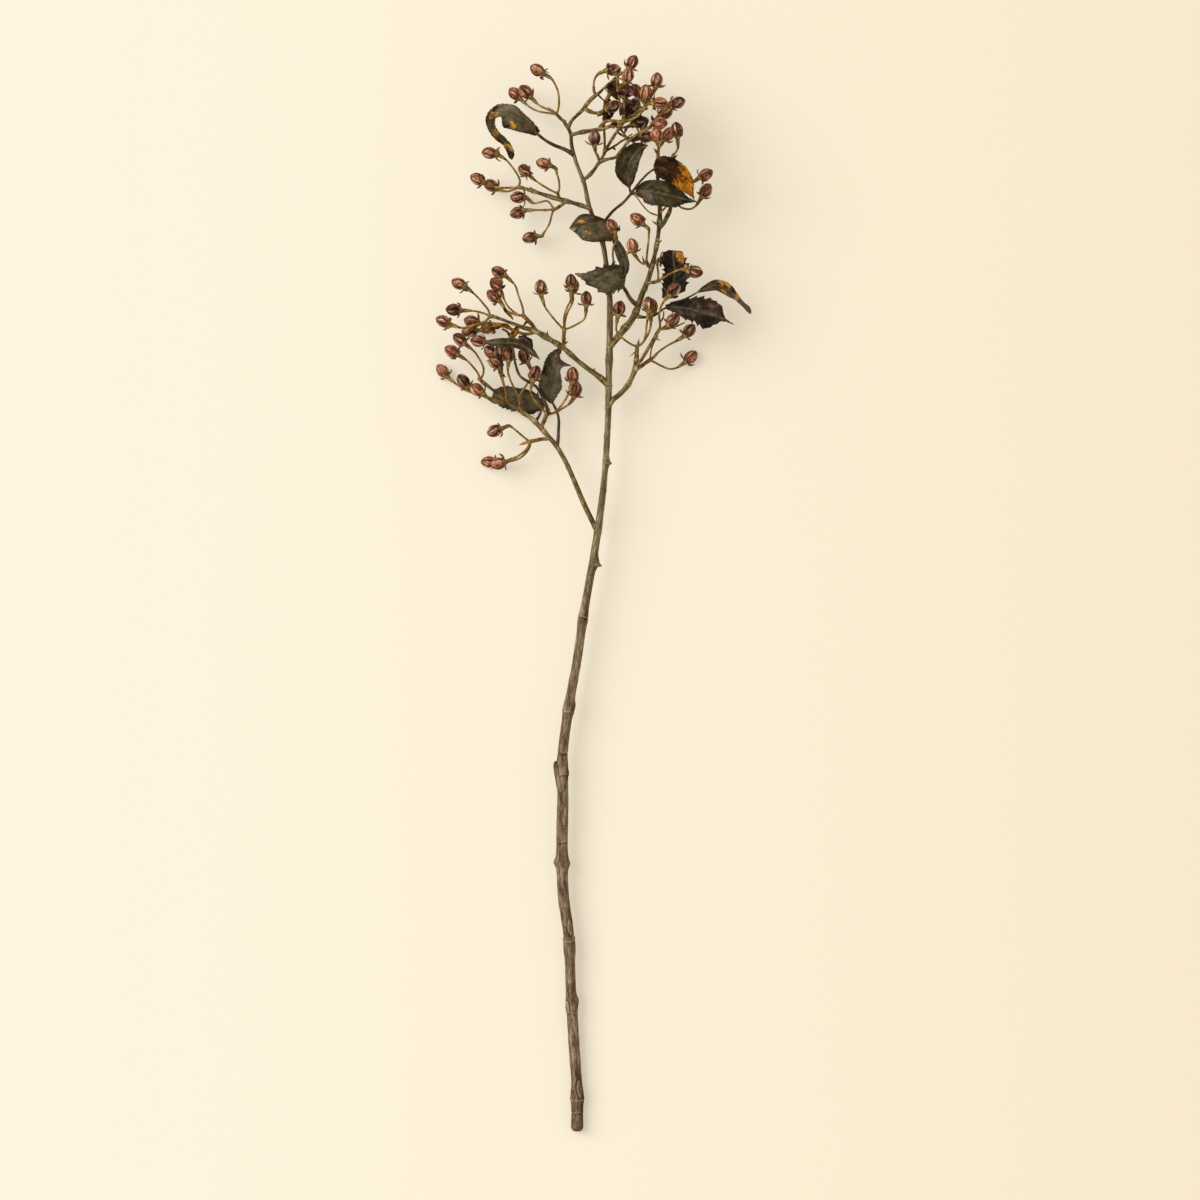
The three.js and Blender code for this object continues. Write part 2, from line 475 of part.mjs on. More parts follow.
// ---------------------------------------------------------------- berry sprays
// twigs: routes of the spray's own thick stalks, with their radius.
// berries: [middle of the berry], heading of its tip in degrees from +X, its rise in degrees, and its
// stalk. The stalk starts at a point with a height, and its other bends are given in plan.
const SPRAYS = {
  spray_top_left: {
    on: ['main_stem', 'branch_top'],
    twigs: [{ points: [[-8, 706.6, 31.4], [-11, 709, 32.6], [-14.6, 712.6, 34]], radius: 1.1 }],
    berries: [
      [[-27.5, 743, 40], 149, 10,
        [[-14, 712, 34], [-12.7, 716], [-12.2, 722], [-13, 728], [-15, 733], [-17.4, 736.6]]],
      [[-43, 727, 12], 135, -10, [[-14, 712, 34], [-20, 713], [-27, 714.5], [-33, 717.6]]],
      [[-35.6, 728, 26], 133, 5, [[-14, 712, 34], [-20.5, 715.6], [-26, 718.4]]],
    ],
  },
  spray_upper_left_inner: {
    on: ['branch_upper_left'],
    twigs: [{ points: [[-11.6, 652.8, 28], [-12.6, 655, 30.4], [-13.4, 657.6, 32.4]], radius: 1.1 }],
    berries: [
      [[-23.4, 677.5, 38], 164, 5,
        [[-13, 656.6, 31.6], [-12, 660], [-12.2, 665], [-13.8, 671], [-14.6, 674]]],
      [[-36.6, 673, 37], 135, 50, [[-13, 656.6, 31.6], [-20, 660], [-27, 664.5], [-31.6, 668]]],
    ],
  },
  spray_upper_left_end: {
    on: ['branch_upper_left'],
    twigs: [
      { after: 'branch_upper_left', points: [[-39.4, 661, 23.4], [-41.6, 661.2, 22.8]], radius: 1.25 },
    ],
    berries: [
      [[-61, 685, 30], 171, 5,
        [[-40.4, 661.2, 23.2], [-39.6, 665.5], [-40.8, 669], [-44, 674], [-49, 680]]],
      [[-69.5, 667, 22], 150, 0, [[-40.2, 661, 23.2], [-48, 660.8], [-54, 661], [-58, 661.6]]],
      [[-60, 662.7, 9.6], 152, 0, [[-40.4, 661, 23], [-45, 659.2], [-49, 658.4]]],
    ],
  },
  spray_upper_left_lower: {
    on: ['branch_upper_left'],
    twigs: [
      {
        points: [[-7.4, 651.4, 28], [-10.4, 648.8, 26.6], [-13, 647, 25.4], [-17.4, 645, 24]],
        radius: 1.2,
      },
    ],
    berries: [
      [[-41.6, 643.3, 18], 198, -5, [[-16, 645.6, 24.4], [-24, 645.3], [-31, 645.3]]],
      [[-33, 626, 12], 192, 0,
        [[-16, 645.6, 24.4], [-17.6, 641], [-18.5, 637], [-20.5, 633], [-23, 629.2], [-24, 627.4]]],
      [[-41, 654.4, 12], 178, 0,
        [[-16, 645.6, 24.4], [-18, 649.4], [-20.6, 651.6], [-25, 651], [-30, 650.2]]],
    ],
  },
  spray_top_end: {
    on: ['branch_top'],
    twigs: [{ after: 'branch_top', points: [[30.4, 740, 45.1], [31.8, 741.2, 45.4]], radius: 1 }],
    berries: [[[39, 748.2, 46], 59, 5, [[30.6, 740, 45.2], [32.4, 740.6], [33.4, 741.4]]]],
  },
  spray_top_middle: {
    on: ['branch_top'],
    twigs: [{ points: [[13.4, 725.2, 40], [12.2, 728.4, 41], [12, 731, 41.6]], radius: 0.95 }],
    berries: [[[26, 743, 40], 6, 0, [[12.2, 729, 41.2], [12, 733], [13, 737], [15, 739.8]]]],
  },
  spray_top_side: {
    on: ['branch_top'],
    twigs: [{ points: [[5.4, 716.4, 36.8], [8, 714.8, 36], [10.6, 714, 35]], radius: 1.05 }],
    berries: [[[25.4, 717.6, 33], 30, 0, [[9.4, 714.4, 35.4], [12.4, 713.4], [15, 713]]]],
  },
  spray_crown_left: {
    on: ['branch_crown'],
    twigs: [{ points: [[33.6, 707.8, 41.8], [33.6, 710.4, 44], [33, 713, 46]], radius: 0.95 }],
    berries: [
      [[36, 738.6, 55], 68, 5, [[33.2, 712, 45.4], [31, 718], [29.5, 724], [29.2, 729]]],
    ],
  },
  spray_crown_middle: {
    on: ['branch_crown'],
    twigs: [{ after: 'branch_crown', points: [[47.6, 716.9, 44.4], [49.2, 718.2, 45]], radius: 1.05 }],
    berries: [
      [[56, 735.6, 49], 82, 5, [[48.4, 717.6, 44.8], [50.6, 721], [52.6, 725]]],
      [[48.4, 727, 52], 92, 20, [[48.2, 717.4, 44.6], [48.6, 719]]],
      [[41.6, 728.6, 40], 120, 10, [[48, 717.2, 44.6], [46.4, 720.6]]],
      [[58.4, 719.2, 60], 0, 10, [[48.4, 717.6, 44.8], [49.6, 718.4]]],
    ],
  },
  spray_crown_inner: {
    on: ['branch_upper_right'],
    twigs: [
      {
        points: [
          [17, 679.4, 35], [18.2, 682, 34.4], [20, 685.4, 33.4], [23.2, 692, 32.4], [26.4, 697.4, 31.8],
          [30.6, 702.6, 31.2],
        ],
        radius: 0.95,
      },
    ],
    berries: [
      [[40.4, 718, 27], 58, 0, [[29.6, 701.6, 31.2], [33, 706], [35, 709]]],
      [[33.4, 728.4, 33], 92, 5, [[29.6, 701.6, 31.2], [31.6, 707], [33, 714]]],
      [[45.6, 706.6, 31], 20, 0, [[29.8, 701.8, 31.2], [33.4, 703]]],
      [[26, 731, 26], 60, 0, [[19, 684, 34], [19.8, 692], [19.5, 702], [19.2, 712], [19.4, 719]]],
      [[49.6, 696.6, 33], 5, 0, [[20.4, 686.2, 33.2], [27, 690], [33, 694]]],
    ],
  },
  spray_crown_small: {
    on: ['branch_upper_right'],
    twigs: [{ points: [[16.4, 678.4, 35], [15.2, 681.6, 37.6], [14.4, 683.6, 39.4]], radius: 0.9 }],
    berries: [[[12.6, 695.2, 45], 90, 0, [[14.8, 682.8, 38.6], [13.4, 685.4]]]],
  },
  spray_crown_right: {
    on: ['branch_upper_right'],
    twigs: [{ after: 'branch_upper_right', points: [[51.6, 702.8, 45], [53.2, 704.4, 45.4]], radius: 1 }],
    berries: [
      [[71, 720, 50], 14, 5, [[52.4, 703.6, 45.2], [55, 707.4], [57.8, 710.6], [60.4, 713.6]]],
      [[62.4, 713, 37.6], 30, 0, [[52.4, 703.6, 45.2], [54, 706.4]]],
      [[58.4, 705.2, 55], 2, 20, [[51.8, 703, 45], [52, 703.4]]],
    ],
  },
  spray_crown_front: {
    on: ['branch_middle_right'],
    twigs: [{ after: 'branch_middle_right', points: [[57.2, 686, 49.5], [57.4, 688, 50.4]], radius: 1 }],
    berries: [
      [[56, 697.4, 64], 95, 10, [[57.2, 686.8, 50], [57, 688.6]]],
      [[64.4, 698, 42], 50, 0, [[57.2, 686.8, 50], [58.4, 689]]],
    ],
  },
  spray_crown_low_right: {
    on: ['branch_right_fork'],
    twigs: [{ after: 'branch_right_fork', points: [[67.2, 682, 50], [68, 684, 50.8]], radius: 0.95 }],
    berries: [[[70, 700.6, 54], 96, 5, [[67.8, 683, 50.4], [69.6, 685.4], [70.8, 687.8]]]],
  },
  spray_right_edge: {
    on: ['branch_right_fork'],
    twigs: [{ points: [[66.2, 648.6, 42.8], [68.4, 649.4, 42], [70.6, 649.8, 41]], radius: 0.95 }],
    berries: [
      [[90.4, 658.6, 30], 58, 0, [[69.6, 649.6, 41.4], [74, 646.4], [80, 645.8], [83.2, 647.8]]],
      [[90.6, 670, 42], 28, 5, [[69.6, 649.6, 41.4], [73.4, 656], [77.6, 661.4]]],
    ],
  },
  spray_right_inner: {
    on: ['branch_middle_right'],
    twigs: [{ points: [[52.8, 604, 36.8], [50.4, 606, 38.4], [48.6, 609.2, 40.2]], radius: 1.25 }],
    berries: [
      [[42.4, 638.2, 47], 141, 0,
        [[48.8, 608.6, 40], [49.4, 615], [50.2, 622], [50.6, 628], [50.4, 631.6]]],
      [[39, 620, 47], 103, 0, [[49.2, 608, 39.6], [46.4, 607.4], [43.6, 609.6]]],
    ],
  },
  spray_middle: {
    on: ['main_stem'],
    twigs: [{ points: [[20.8, 604, 24], [24.6, 606, 27.4], [26.4, 609, 30]], radius: 0.9 }],
    berries: [[[24.6, 633.6, 46], 114, 0, [[26, 608.2, 29.4], [25.4, 614], [26, 620], [28, 623.6]]]],
  },
  spray_right_middle: {
    on: ['branch_middle_right'],
    twigs: [
      { points: [[49, 594.2, 35], [53.6, 594.4, 37.4], [56, 595, 39.6], [58, 595.8, 41.4]], radius: 1.2 },
    ],
    berries: [
      [[63.6, 610.4, 26.6], 0, 0, [[57, 595.4, 40.4], [57.2, 600], [56.6, 606], [56.4, 609]]],
      [[83, 601.6, 47], 352, 0, [[57, 595.4, 40.4], [62, 598.2], [66, 600.6], [71, 602.8], [74, 603.4]]],
    ],
  },
  spray_lower_right_inner: {
    on: ['branch_lower_right'],
    twigs: [
      { after: 'branch_lower_right', points: [[42.4, 548.8, 27.4], [42.8, 550.4, 28.6]], radius: 1.25 },
    ],
    berries: [
      [[30, 576, 42], 78, 0, [[42.6, 549.4, 28], [38, 551.4], [33, 554.8], [29, 558.6], [27.8, 561.6]]],
      [[48.4, 579.6, 44], 93, 0, [[42.6, 549.4, 28], [46.5, 552.4], [48.4, 558], [49, 564]]],
      [[54, 580, 32], 85, 0, [[42.6, 549.4, 28], [46.6, 552.8], [50, 558], [51.8, 563.6]]],
    ],
    buds: [[[42.8, 549.4, 28.6], [43.4, 554, 31]]],
  },
  spray_lower_right_outer: {
    on: ['branch_lower_right'],
    twigs: [
      {
        points: [
          [41.2, 536, 24.2], [44.8, 539.6, 25.4], [48, 544.6, 27], [51, 549.6, 28.4], [54, 555, 29.8],
          [57, 560, 31], [59, 563, 32],
        ],
        radius: 1.15,
      },
    ],
    berries: [
      [[67.6, 568.2, 37], 45, 0, [[57.6, 561.2, 31.4], [59, 561.6]]],
      [[68.4, 589, 52], 50, 0, [[58.6, 562.4, 31.8], [58.2, 567], [57.8, 572], [59, 577], [61.4, 581.4]]],
    ],
  },
  spray_lower_right_end: {
    on: ['branch_lower_right'],
    twigs: [
      { points: [[40.6, 533, 23.8], [44.4, 535.4, 23.2], [48, 538, 22.2], [52, 540.8, 21]], radius: 1.3 },
    ],
    berries: [
      [[79, 561.2, 18], 47, 0, [[51.4, 540.4, 21.2], [57, 545.6], [63, 550], [69, 553.2]]],
      [[80, 542.6, 4.8], 43, 0, [[51.4, 540.4, 21.2], [55, 538.6], [60, 536], [65, 534.2], [69.6, 534.8]]],
    ],
  },
  spray_middle_left_upright: {
    on: ['branch_middle_left'],
    twigs: [
      { points: [[-9, 548.6, 27], [-9, 552, 30], [-8.8, 557, 32.4], [-8.6, 562.4, 34.4]], radius: 1.35 },
    ],
    berries: [
      [[-25, 591, 42], 93, 0, [[-8.8, 561.4, 34], [-10.6, 563.2], [-15, 568], [-19, 573], [-21.8, 577]]],
      [[-3.8, 595.2, 49], 91, 0, [[-8.8, 561.4, 34], [-8.8, 568], [-8, 573], [-6, 578], [-4.4, 581]]],
      [[0.4, 593.8, 38], 80, 0, [[-8.6, 561.4, 34], [-7.8, 568], [-6, 574], [-3, 580]]],
      [[6.8, 583.4, 40], 90, 0, [[-8.6, 561.4, 34], [-4, 563], [0, 565], [4.2, 567.6], [6, 569.8]]],
    ],
  },
  spray_middle_left_high: {
    on: ['branch_middle_left'],
    twigs: [
      {
        points: [[-27.8, 560, 29.4], [-31, 564.8, 32.4], [-34.4, 568.4, 35], [-38, 572, 37]],
        radius: 1.35,
      },
    ],
    berries: [
      [[-54.6, 601.4, 50], 153, 0,
        [[-37.2, 571.2, 36.6], [-37.2, 574], [-38, 578], [-40.5, 585], [-42.8, 592]]],
      [[-56.4, 593.4, 41], 130, 35, [[-37.2, 571.2, 36.6], [-41, 571.8], [-45, 574.8], [-48.6, 578.6]]],
      [[-58, 585, 34], 140, 0, [[-37.4, 571.2, 36.4], [-42, 571.6], [-46, 573.2], [-49, 575]]],
    ],
  },
  spray_middle_left_outer: {
    on: ['branch_middle_left'],
    twigs: [{ after: 'branch_middle_left', points: [[-60, 570.8, 27.3], [-62, 570.4, 27]], radius: 1.3 }],
    berries: [
      [[-82.4, 593.6, 38], 155, 0, [[-60.4, 570.8, 27.3], [-61.6, 575], [-65, 579.4], [-70, 585]]],
      [[-86, 575.4, 28], 175, 0, [[-60, 570.6, 27.2], [-64, 572.6], [-68, 573.8], [-72, 574.6]]],
      [[-93.6, 567.6, 24], 155, 0, [[-60.6, 570.6, 27.2], [-64, 567.4], [-72, 564.6], [-80, 562.8]]],
    ],
  },
  spray_middle_left_under: {
    on: ['branch_middle_left'],
    twigs: [
      {
        points: [
          [-28.4, 560, 29.2], [-34, 558.4, 26.6], [-41, 559.8, 23.6], [-48, 563, 20.6], [-55, 565.6, 18.2],
        ],
        radius: 1.05,
      },
    ],
    berries: [
      [[-73.4, 567.4, 14], 165, 0, [[-53.6, 565.2, 18.6], [-57, 566], [-61, 566.4]]],
      [[-75.4, 560.6, 5.6], 185, 0, [[-53.6, 565.2, 18.6], [-60, 564], [-65, 562]]],
      [[-62.6, 562.6, 7.4], 200, 0, [[-50, 563.8, 20], [-51.4, 564.6]]],
      [[-69, 553.5, 28], 172, 0, [[-41, 559.8, 23.6], [-45, 555], [-50, 552.6], [-57, 552]]],
    ],
  },
  spray_lower_left_outer: {
    on: ['branch_lower_left'],
    twigs: [{ after: 'branch_lower_left', points: [[-67, 526.2, 14], [-68.6, 528, 14.8]], radius: 1.2 }],
    berries: [
      [[-82, 555, 25], 140, 0,
        [[-67.4, 526.8, 14.2], [-65.4, 530.6], [-65.2, 535], [-68, 541], [-71.4, 546]]],
      [[-87.4, 546.6, 16], 150, 0, [[-67.4, 526.6, 14.2], [-69, 531], [-72, 535], [-76, 539.4]]],
    ],
  },
  spray_lower_left_end: {
    on: ['branch_lower_left'],
    twigs: [{ points: [[-49.8, 512, 12.8], [-52, 511.2, 14.6], [-54.2, 511, 16]], radius: 0.95 }],
    berries: [
      [[-94, 533, 4.9], 130, 0, [[-53, 511.2, 15.2], [-60, 513], [-68, 516], [-77, 519], [-84, 523.4]]],
      [[-79.2, 525.6, 16.6], 125, 0, [[-53, 511.2, 15.2], [-60, 513.8], [-66, 515.4], [-72, 517]]],
      [[-69.4, 519.4, 28], 146, 0, [[-53.2, 511, 15.4], [-56, 510.2], [-59.4, 511.4]]],
    ],
  },
  spray_lower_left_fork: {
    on: ['branch_lower_left'],
    twigs: [{ points: [[-47, 510.2, 12.6], [-48.4, 512.4, 15.4], [-49, 515, 17.4]], radius: 1 }],
    berries: [
      [[-60, 545.8, 19], 130, 0, [[-48.8, 514, 16.8], [-50, 520], [-52.4, 527], [-54.6, 534]]],
      [[-57.4, 538.8, 34], 130, 20, [[-48.8, 514, 16.8], [-50, 520], [-51.6, 526], [-53.4, 531]]],
      [[-53.4, 545.6, 27], 95, 0, [[-48.8, 514, 16.8], [-50, 520], [-51.4, 526], [-52, 532]]],
    ],
  },
  spray_lower_left_upright: {
    on: ['branch_lower_left'],
    twigs: [
      {
        points: [[-38.4, 504, 13.4], [-38.8, 507.6, 16.4], [-39.4, 511.4, 18.4], [-40.2, 516, 20.4]],
        radius: 1.3,
      },
    ],
    berries: [
      [[-47.6, 544.6, 34], 92, 0, [[-40, 515, 20], [-42, 518], [-44.8, 523], [-47, 528.4], [-48, 532.6]]],
      [[-37, 543, 24], 122, 0, [[-40, 515, 20], [-37.6, 519], [-34.6, 523.4], [-32, 528], [-31.2, 531.4]]],
    ],
  },
  spray_lower_left_inner: {
    on: ['branch_lower_left'],
    twigs: [
      {
        points: [[-24.8, 492.6, 15.4], [-23.4, 496, 17.4], [-22, 499.4, 19], [-20.2, 503, 20.4]],
        radius: 1.4,
      },
    ],
    berries: [
      [[-28.8, 530.8, 38], 72, 0,
        [[-20.6, 502, 20], [-23.6, 505.6], [-27.2, 509.6], [-30.6, 514], [-32, 518]]],
      [[-2.8, 529.8, 28], 85, 0, [[-20.8, 502, 20], [-15, 504], [-11, 508], [-7.8, 512.4], [-5.6, 517]]],
      [[-0.4, 519.6, 16], 75, 0, [[-20.8, 502, 20], [-15, 503.4], [-10, 506.4], [-5.4, 509.4]]],
    ],
  },
  spray_lower_left_bottom: {
    on: ['branch_lower_left'],
    twigs: [
      {
        points: [[-18.4, 485.6, 16], [-24, 485, 15], [-28.4, 484.2, 14.2], [-33.6, 483, 13.4]],
        radius: 1.3,
      },
    ],
    berries: [
      [[-57.4, 490.6, 19], 200, 0,
        [[-32.6, 483.2, 13.6], [-36.4, 486], [-40, 489], [-44, 492.4], [-47, 494.2]]],
      [[-55, 468, 14], 190, 0, [[-32.8, 483, 13.6], [-34, 479.6], [-37, 476], [-41.6, 472.8]]],
      [[-61.6, 469, 4.8], 180, 0,
        [[-32.4, 483, 13.6], [-32.6, 480], [-35.4, 475.4], [-40, 471.6], [-47, 469.4]]],
    ],
    buds: [[[-33, 483, 13.6], [-38.8, 481.6, 14]]],
  },
};

/** The direction that a heading and a rise point in. */
function aim(heading, rise) {
  const level = Math.cos(radians(rise));
  return new THREE.Vector3(
    Math.cos(radians(heading)) * level,
    Math.sin(radians(heading)) * level,
    Math.sin(radians(rise)),
  );
}

/** A closed geometry that stands on +Y, turned to point along a direction and moved to a place. */
function stand(geometry, direction, place) {
  const turn = new THREE.Quaternion().setFromUnitVectors(new THREE.Vector3(0, 1, 0), direction);
  geometry.applyQuaternion(turn);
  geometry.translate(place.x, place.y, place.z);
  return solidOf(geometry);
}

/**
 * A berry with its calyx, as one turned shape that starts under the calyx and ends at the blunt tip.
 * The ring of the calyx is drawn out to a sepal at every second corner.
 */
function berrySolid(foot, direction) {
  const profile = [
    [0, -CALYX_DEPTH],
    [CALYX_WAIST, 0],
    [BERRY_WIDTH * 0.22, BERRY_LENGTH * 0.04],
    [BERRY_WIDTH * 0.5, BERRY_LENGTH * 0.46],
    [BERRY_WIDTH * 0.33, BERRY_LENGTH * 0.9],
    [0, BERRY_LENGTH],
  ].map(([x, y]) => new THREE.Vector2(x, y));
  const calyxRing = 1;
  const geometry = new THREE.LatheGeometry(profile, 2 * SEPALS);
  const position = geometry.getAttribute('position');
  for (let corner = 0; corner <= 2 * SEPALS; corner += 2) {
    const i = corner * profile.length + calyxRing;
    const outward = SEPAL_REACH / CALYX_WAIST;
    position.setXYZ(i, position.getX(i) * outward, SEPAL_LIFT, position.getZ(i) * outward);
  }
  return stand(geometry, direction, foot);
}

/** A berry's stalk, thin at first and swollen into the receptacle under the calyx. */
function stalkSolid([start, ...bends], foot, direction) {
  const inPlan = [start, ...bends, foot.toArray()];
  const reach = [0];
  for (let i = 1; i < inPlan.length; i += 1) {
    const step = Math.hypot(inPlan[i][0] - inPlan[i - 1][0], inPlan[i][1] - inPlan[i - 1][1]);
    reach.push(reach[i - 1] + step);
  }
  const whole = reach[reach.length - 1];
  const points = inPlan.map(([x, y], i) => [x, y, lerp(start[2], foot.z, reach[i] / whole)]);
  const end = foot.clone().addScaledVector(direction, -CALYX_DEPTH / 4);
  points[points.length - 1] = end.toArray();
  const swollenFrom = 1 - RECEPTACLE_LENGTH / Math.max(whole, RECEPTACLE_LENGTH + 1);
  const radiusAt = (t) => {
    const swell = THREE.MathUtils.smoothstep(t, swollenFrom, 1 - 0.3 * (1 - swollenFrom));
    return lerp(STALK_RADIUS, RECEPTACLE_RADIUS, swell);
  };
  return bentTube(points, radiusAt, Math.max(3, Math.round(whole / STALK_STEP)), STALK_SIDES);
}

/** One berry with its stalk and calyx. */
function berryOnStalk([middle, heading, rise, stalk]) {
  const direction = aim(heading, rise);
  const foot = vector(middle).addScaledVector(direction, -BERRY_LENGTH / 2);
  return stalkSolid(stalk, foot, direction).add(berrySolid(foot, direction));
}

/** A twig of a spray, a little thicker at both ends. One that carries on a branch starts past its end. */
function twigSolid({ after, points, radius }) {
  const route = after ? [pastEnd(after), ...points] : points;
  return bentTube(route, (t) => radius * (1 + 0.2 * (2 * t - 1) ** 2), route.length, TWIG_SIDES);
}

/** A whole spray: twigs, then each berry on its stalk, clear of the branch that carries it. */
function spraySolid({ on, twigs, berries, buds = [] }) {
  return clearOf(join([
    ...twigs.map(twigSolid),
    ...berries.map(berryOnStalk),
    ...buds.map(([foot, tip]) => spike(foot, tip, BUD_RADIUS)),
  ]), on);
}

// ---------------------------------------------------------------- the sprig
const sprig = new THREE.Group();
for (const [name, { from = [] }] of Object.entries(ROUTES)) {
  const isStem = name === 'main_stem';
  const route = routeSolid(name);
  const solid = isStem ? join([route, ...stemOutgrowths()]) : clearOf(route, from);
  sprig.add(meshOf(name, solid, isStem ? BARK : TWIG));
}
for (const [name, leaf] of Object.entries(LEAVES)) {
  sprig.add(meshOf(name, leafSolid(leaf), name === 'leaf_compound_top' ? OCHRE_LEAF : LEAF));
}
for (const [name, spray] of Object.entries(SPRAYS)) {
  sprig.add(meshOf(name, spraySolid(spray), BERRY));
}
sprig.position.set(-OUTLINE_MIDDLE[0], -OUTLINE_MIDDLE[1], 0);

export default sprig;
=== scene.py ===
"""Dresses a cut sprig of hypericum: bark, twigs, berries in their calyces, and withered leaves.

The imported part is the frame. Every table here is in millimetres, measured from the cut foot of the
stem, with the surface that the sprig lies on at height 0, as the part's own source has it.
"""
from __future__ import annotations

import logging
import math
from dataclasses import dataclass, replace
from enum import Enum
from typing import Callable, Sequence

import bpy
import numpy as np
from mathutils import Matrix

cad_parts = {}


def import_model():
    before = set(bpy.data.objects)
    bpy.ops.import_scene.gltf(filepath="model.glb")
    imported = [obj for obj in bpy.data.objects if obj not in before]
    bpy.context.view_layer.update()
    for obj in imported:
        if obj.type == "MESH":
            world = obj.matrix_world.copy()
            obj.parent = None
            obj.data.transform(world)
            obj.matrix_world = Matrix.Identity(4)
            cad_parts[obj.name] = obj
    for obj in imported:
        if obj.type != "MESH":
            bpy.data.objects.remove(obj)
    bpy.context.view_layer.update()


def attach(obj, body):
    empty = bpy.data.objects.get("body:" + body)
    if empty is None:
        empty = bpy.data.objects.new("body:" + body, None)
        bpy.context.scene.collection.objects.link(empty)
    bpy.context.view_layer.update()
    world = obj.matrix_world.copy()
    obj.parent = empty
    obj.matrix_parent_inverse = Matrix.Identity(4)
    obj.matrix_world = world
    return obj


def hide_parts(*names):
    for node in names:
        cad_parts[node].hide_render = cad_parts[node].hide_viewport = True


log = logging.getLogger("hypericum_sprig")

Array = np.ndarray
Tree = bpy.types.NodeTree
Socket = bpy.types.NodeSocket
Point = tuple[float, ...]

MM = 0.001
OUTLINE_MIDDLE = (12.05, 376.55, 0.0)
FLOOR_GAP = 0.00002  # the lowest sepals lie flat against the floor
BODY = "root"
UP = np.array((0.0, 0.0, 1.0))
SPAN_POINTS = 16  # points between two knots of a line
LOOK_AROUND = 0.4  # how far before and after a place its direction is taken, in mm
DRIFTS = 1 << 30  # how many drifts there are to draw from
SCRAP_SEED = 900
RAMP_STOPS = (0.4, 0.5, 0.61)  # where a surface's dark, middle and light shades lie

# The distance between rings in mm and the points round each ring, for each kind of tube.
SPIKE_MESH = (0.4, 14)
TWIG_MESH = (0.6, 16)
CUP_MESH = (0.4, 24)
STALK_MESH = (0.6, 12)
LOOSE_STALK_MESH = (0.5, 10)
PETAL_MESH = (14, 12)  # rings, and points round each


# ---------------------------------------------------------------- small helpers
def colour(code: str) -> tuple[float, float, float, float]:
    """Turns an sRGB hex code into a linear colour.

    Args:
        code: Six hex digits after a hash.

    Returns:
        Linear red, green, blue and an alpha of 1.
    """
    parts = [int(code[i:i + 2], 16) / 255 for i in (1, 3, 5)]
    linear = [c / 12.92 if c <= 0.04045 else ((c + 0.055) / 1.055) ** 2.4 for c in parts]
    return (*linear, 1.0)


def unit(vectors: Array) -> Array:
    """The same directions with a length of 1."""
    return vectors / np.maximum(np.linalg.norm(vectors, axis=-1, keepdims=True), 1e-9)


def smooth(value: Array | float, low: float, high: float) -> Array:
    """A value that turns smoothly from 0 at low to 1 at high."""
    t = np.clip((np.asarray(value, float) - low) / (high - low), 0, 1)
    return t * t * (3 - 2 * t)


def hump(value: Array, width: float) -> Array:
    """A round hump of height 1 at 0, whose sides have fallen to a third at the width."""
    return np.exp(-(value / width) ** 2)


def wrapped(angle: Array) -> Array:
    """The same angles, from half a turn back to half a turn on."""
    return (angle + math.pi) % math.tau - math.pi


def wander(place: Array, pitch: float, seed: int) -> Array:
    """Random numbers joined smoothly, as a slow drift along a line.

    Args:
        place: Where to read the drift.
        pitch: Distance between two independent numbers.
        seed: Which drift it is.

    Returns:
        Numbers from -1 to 1, of the same shape as place.
    """
    cells = np.asarray(place, float) / pitch
    first = math.floor(cells.min())
    table = np.random.default_rng(seed).uniform(-1, 1, math.ceil(cells.max()) - first + 3)
    whole = np.floor(cells).astype(int)
    blend = smooth(cells - whole, 0, 1)
    return table[whole - first] * (1 - blend) + table[whole - first + 1] * blend


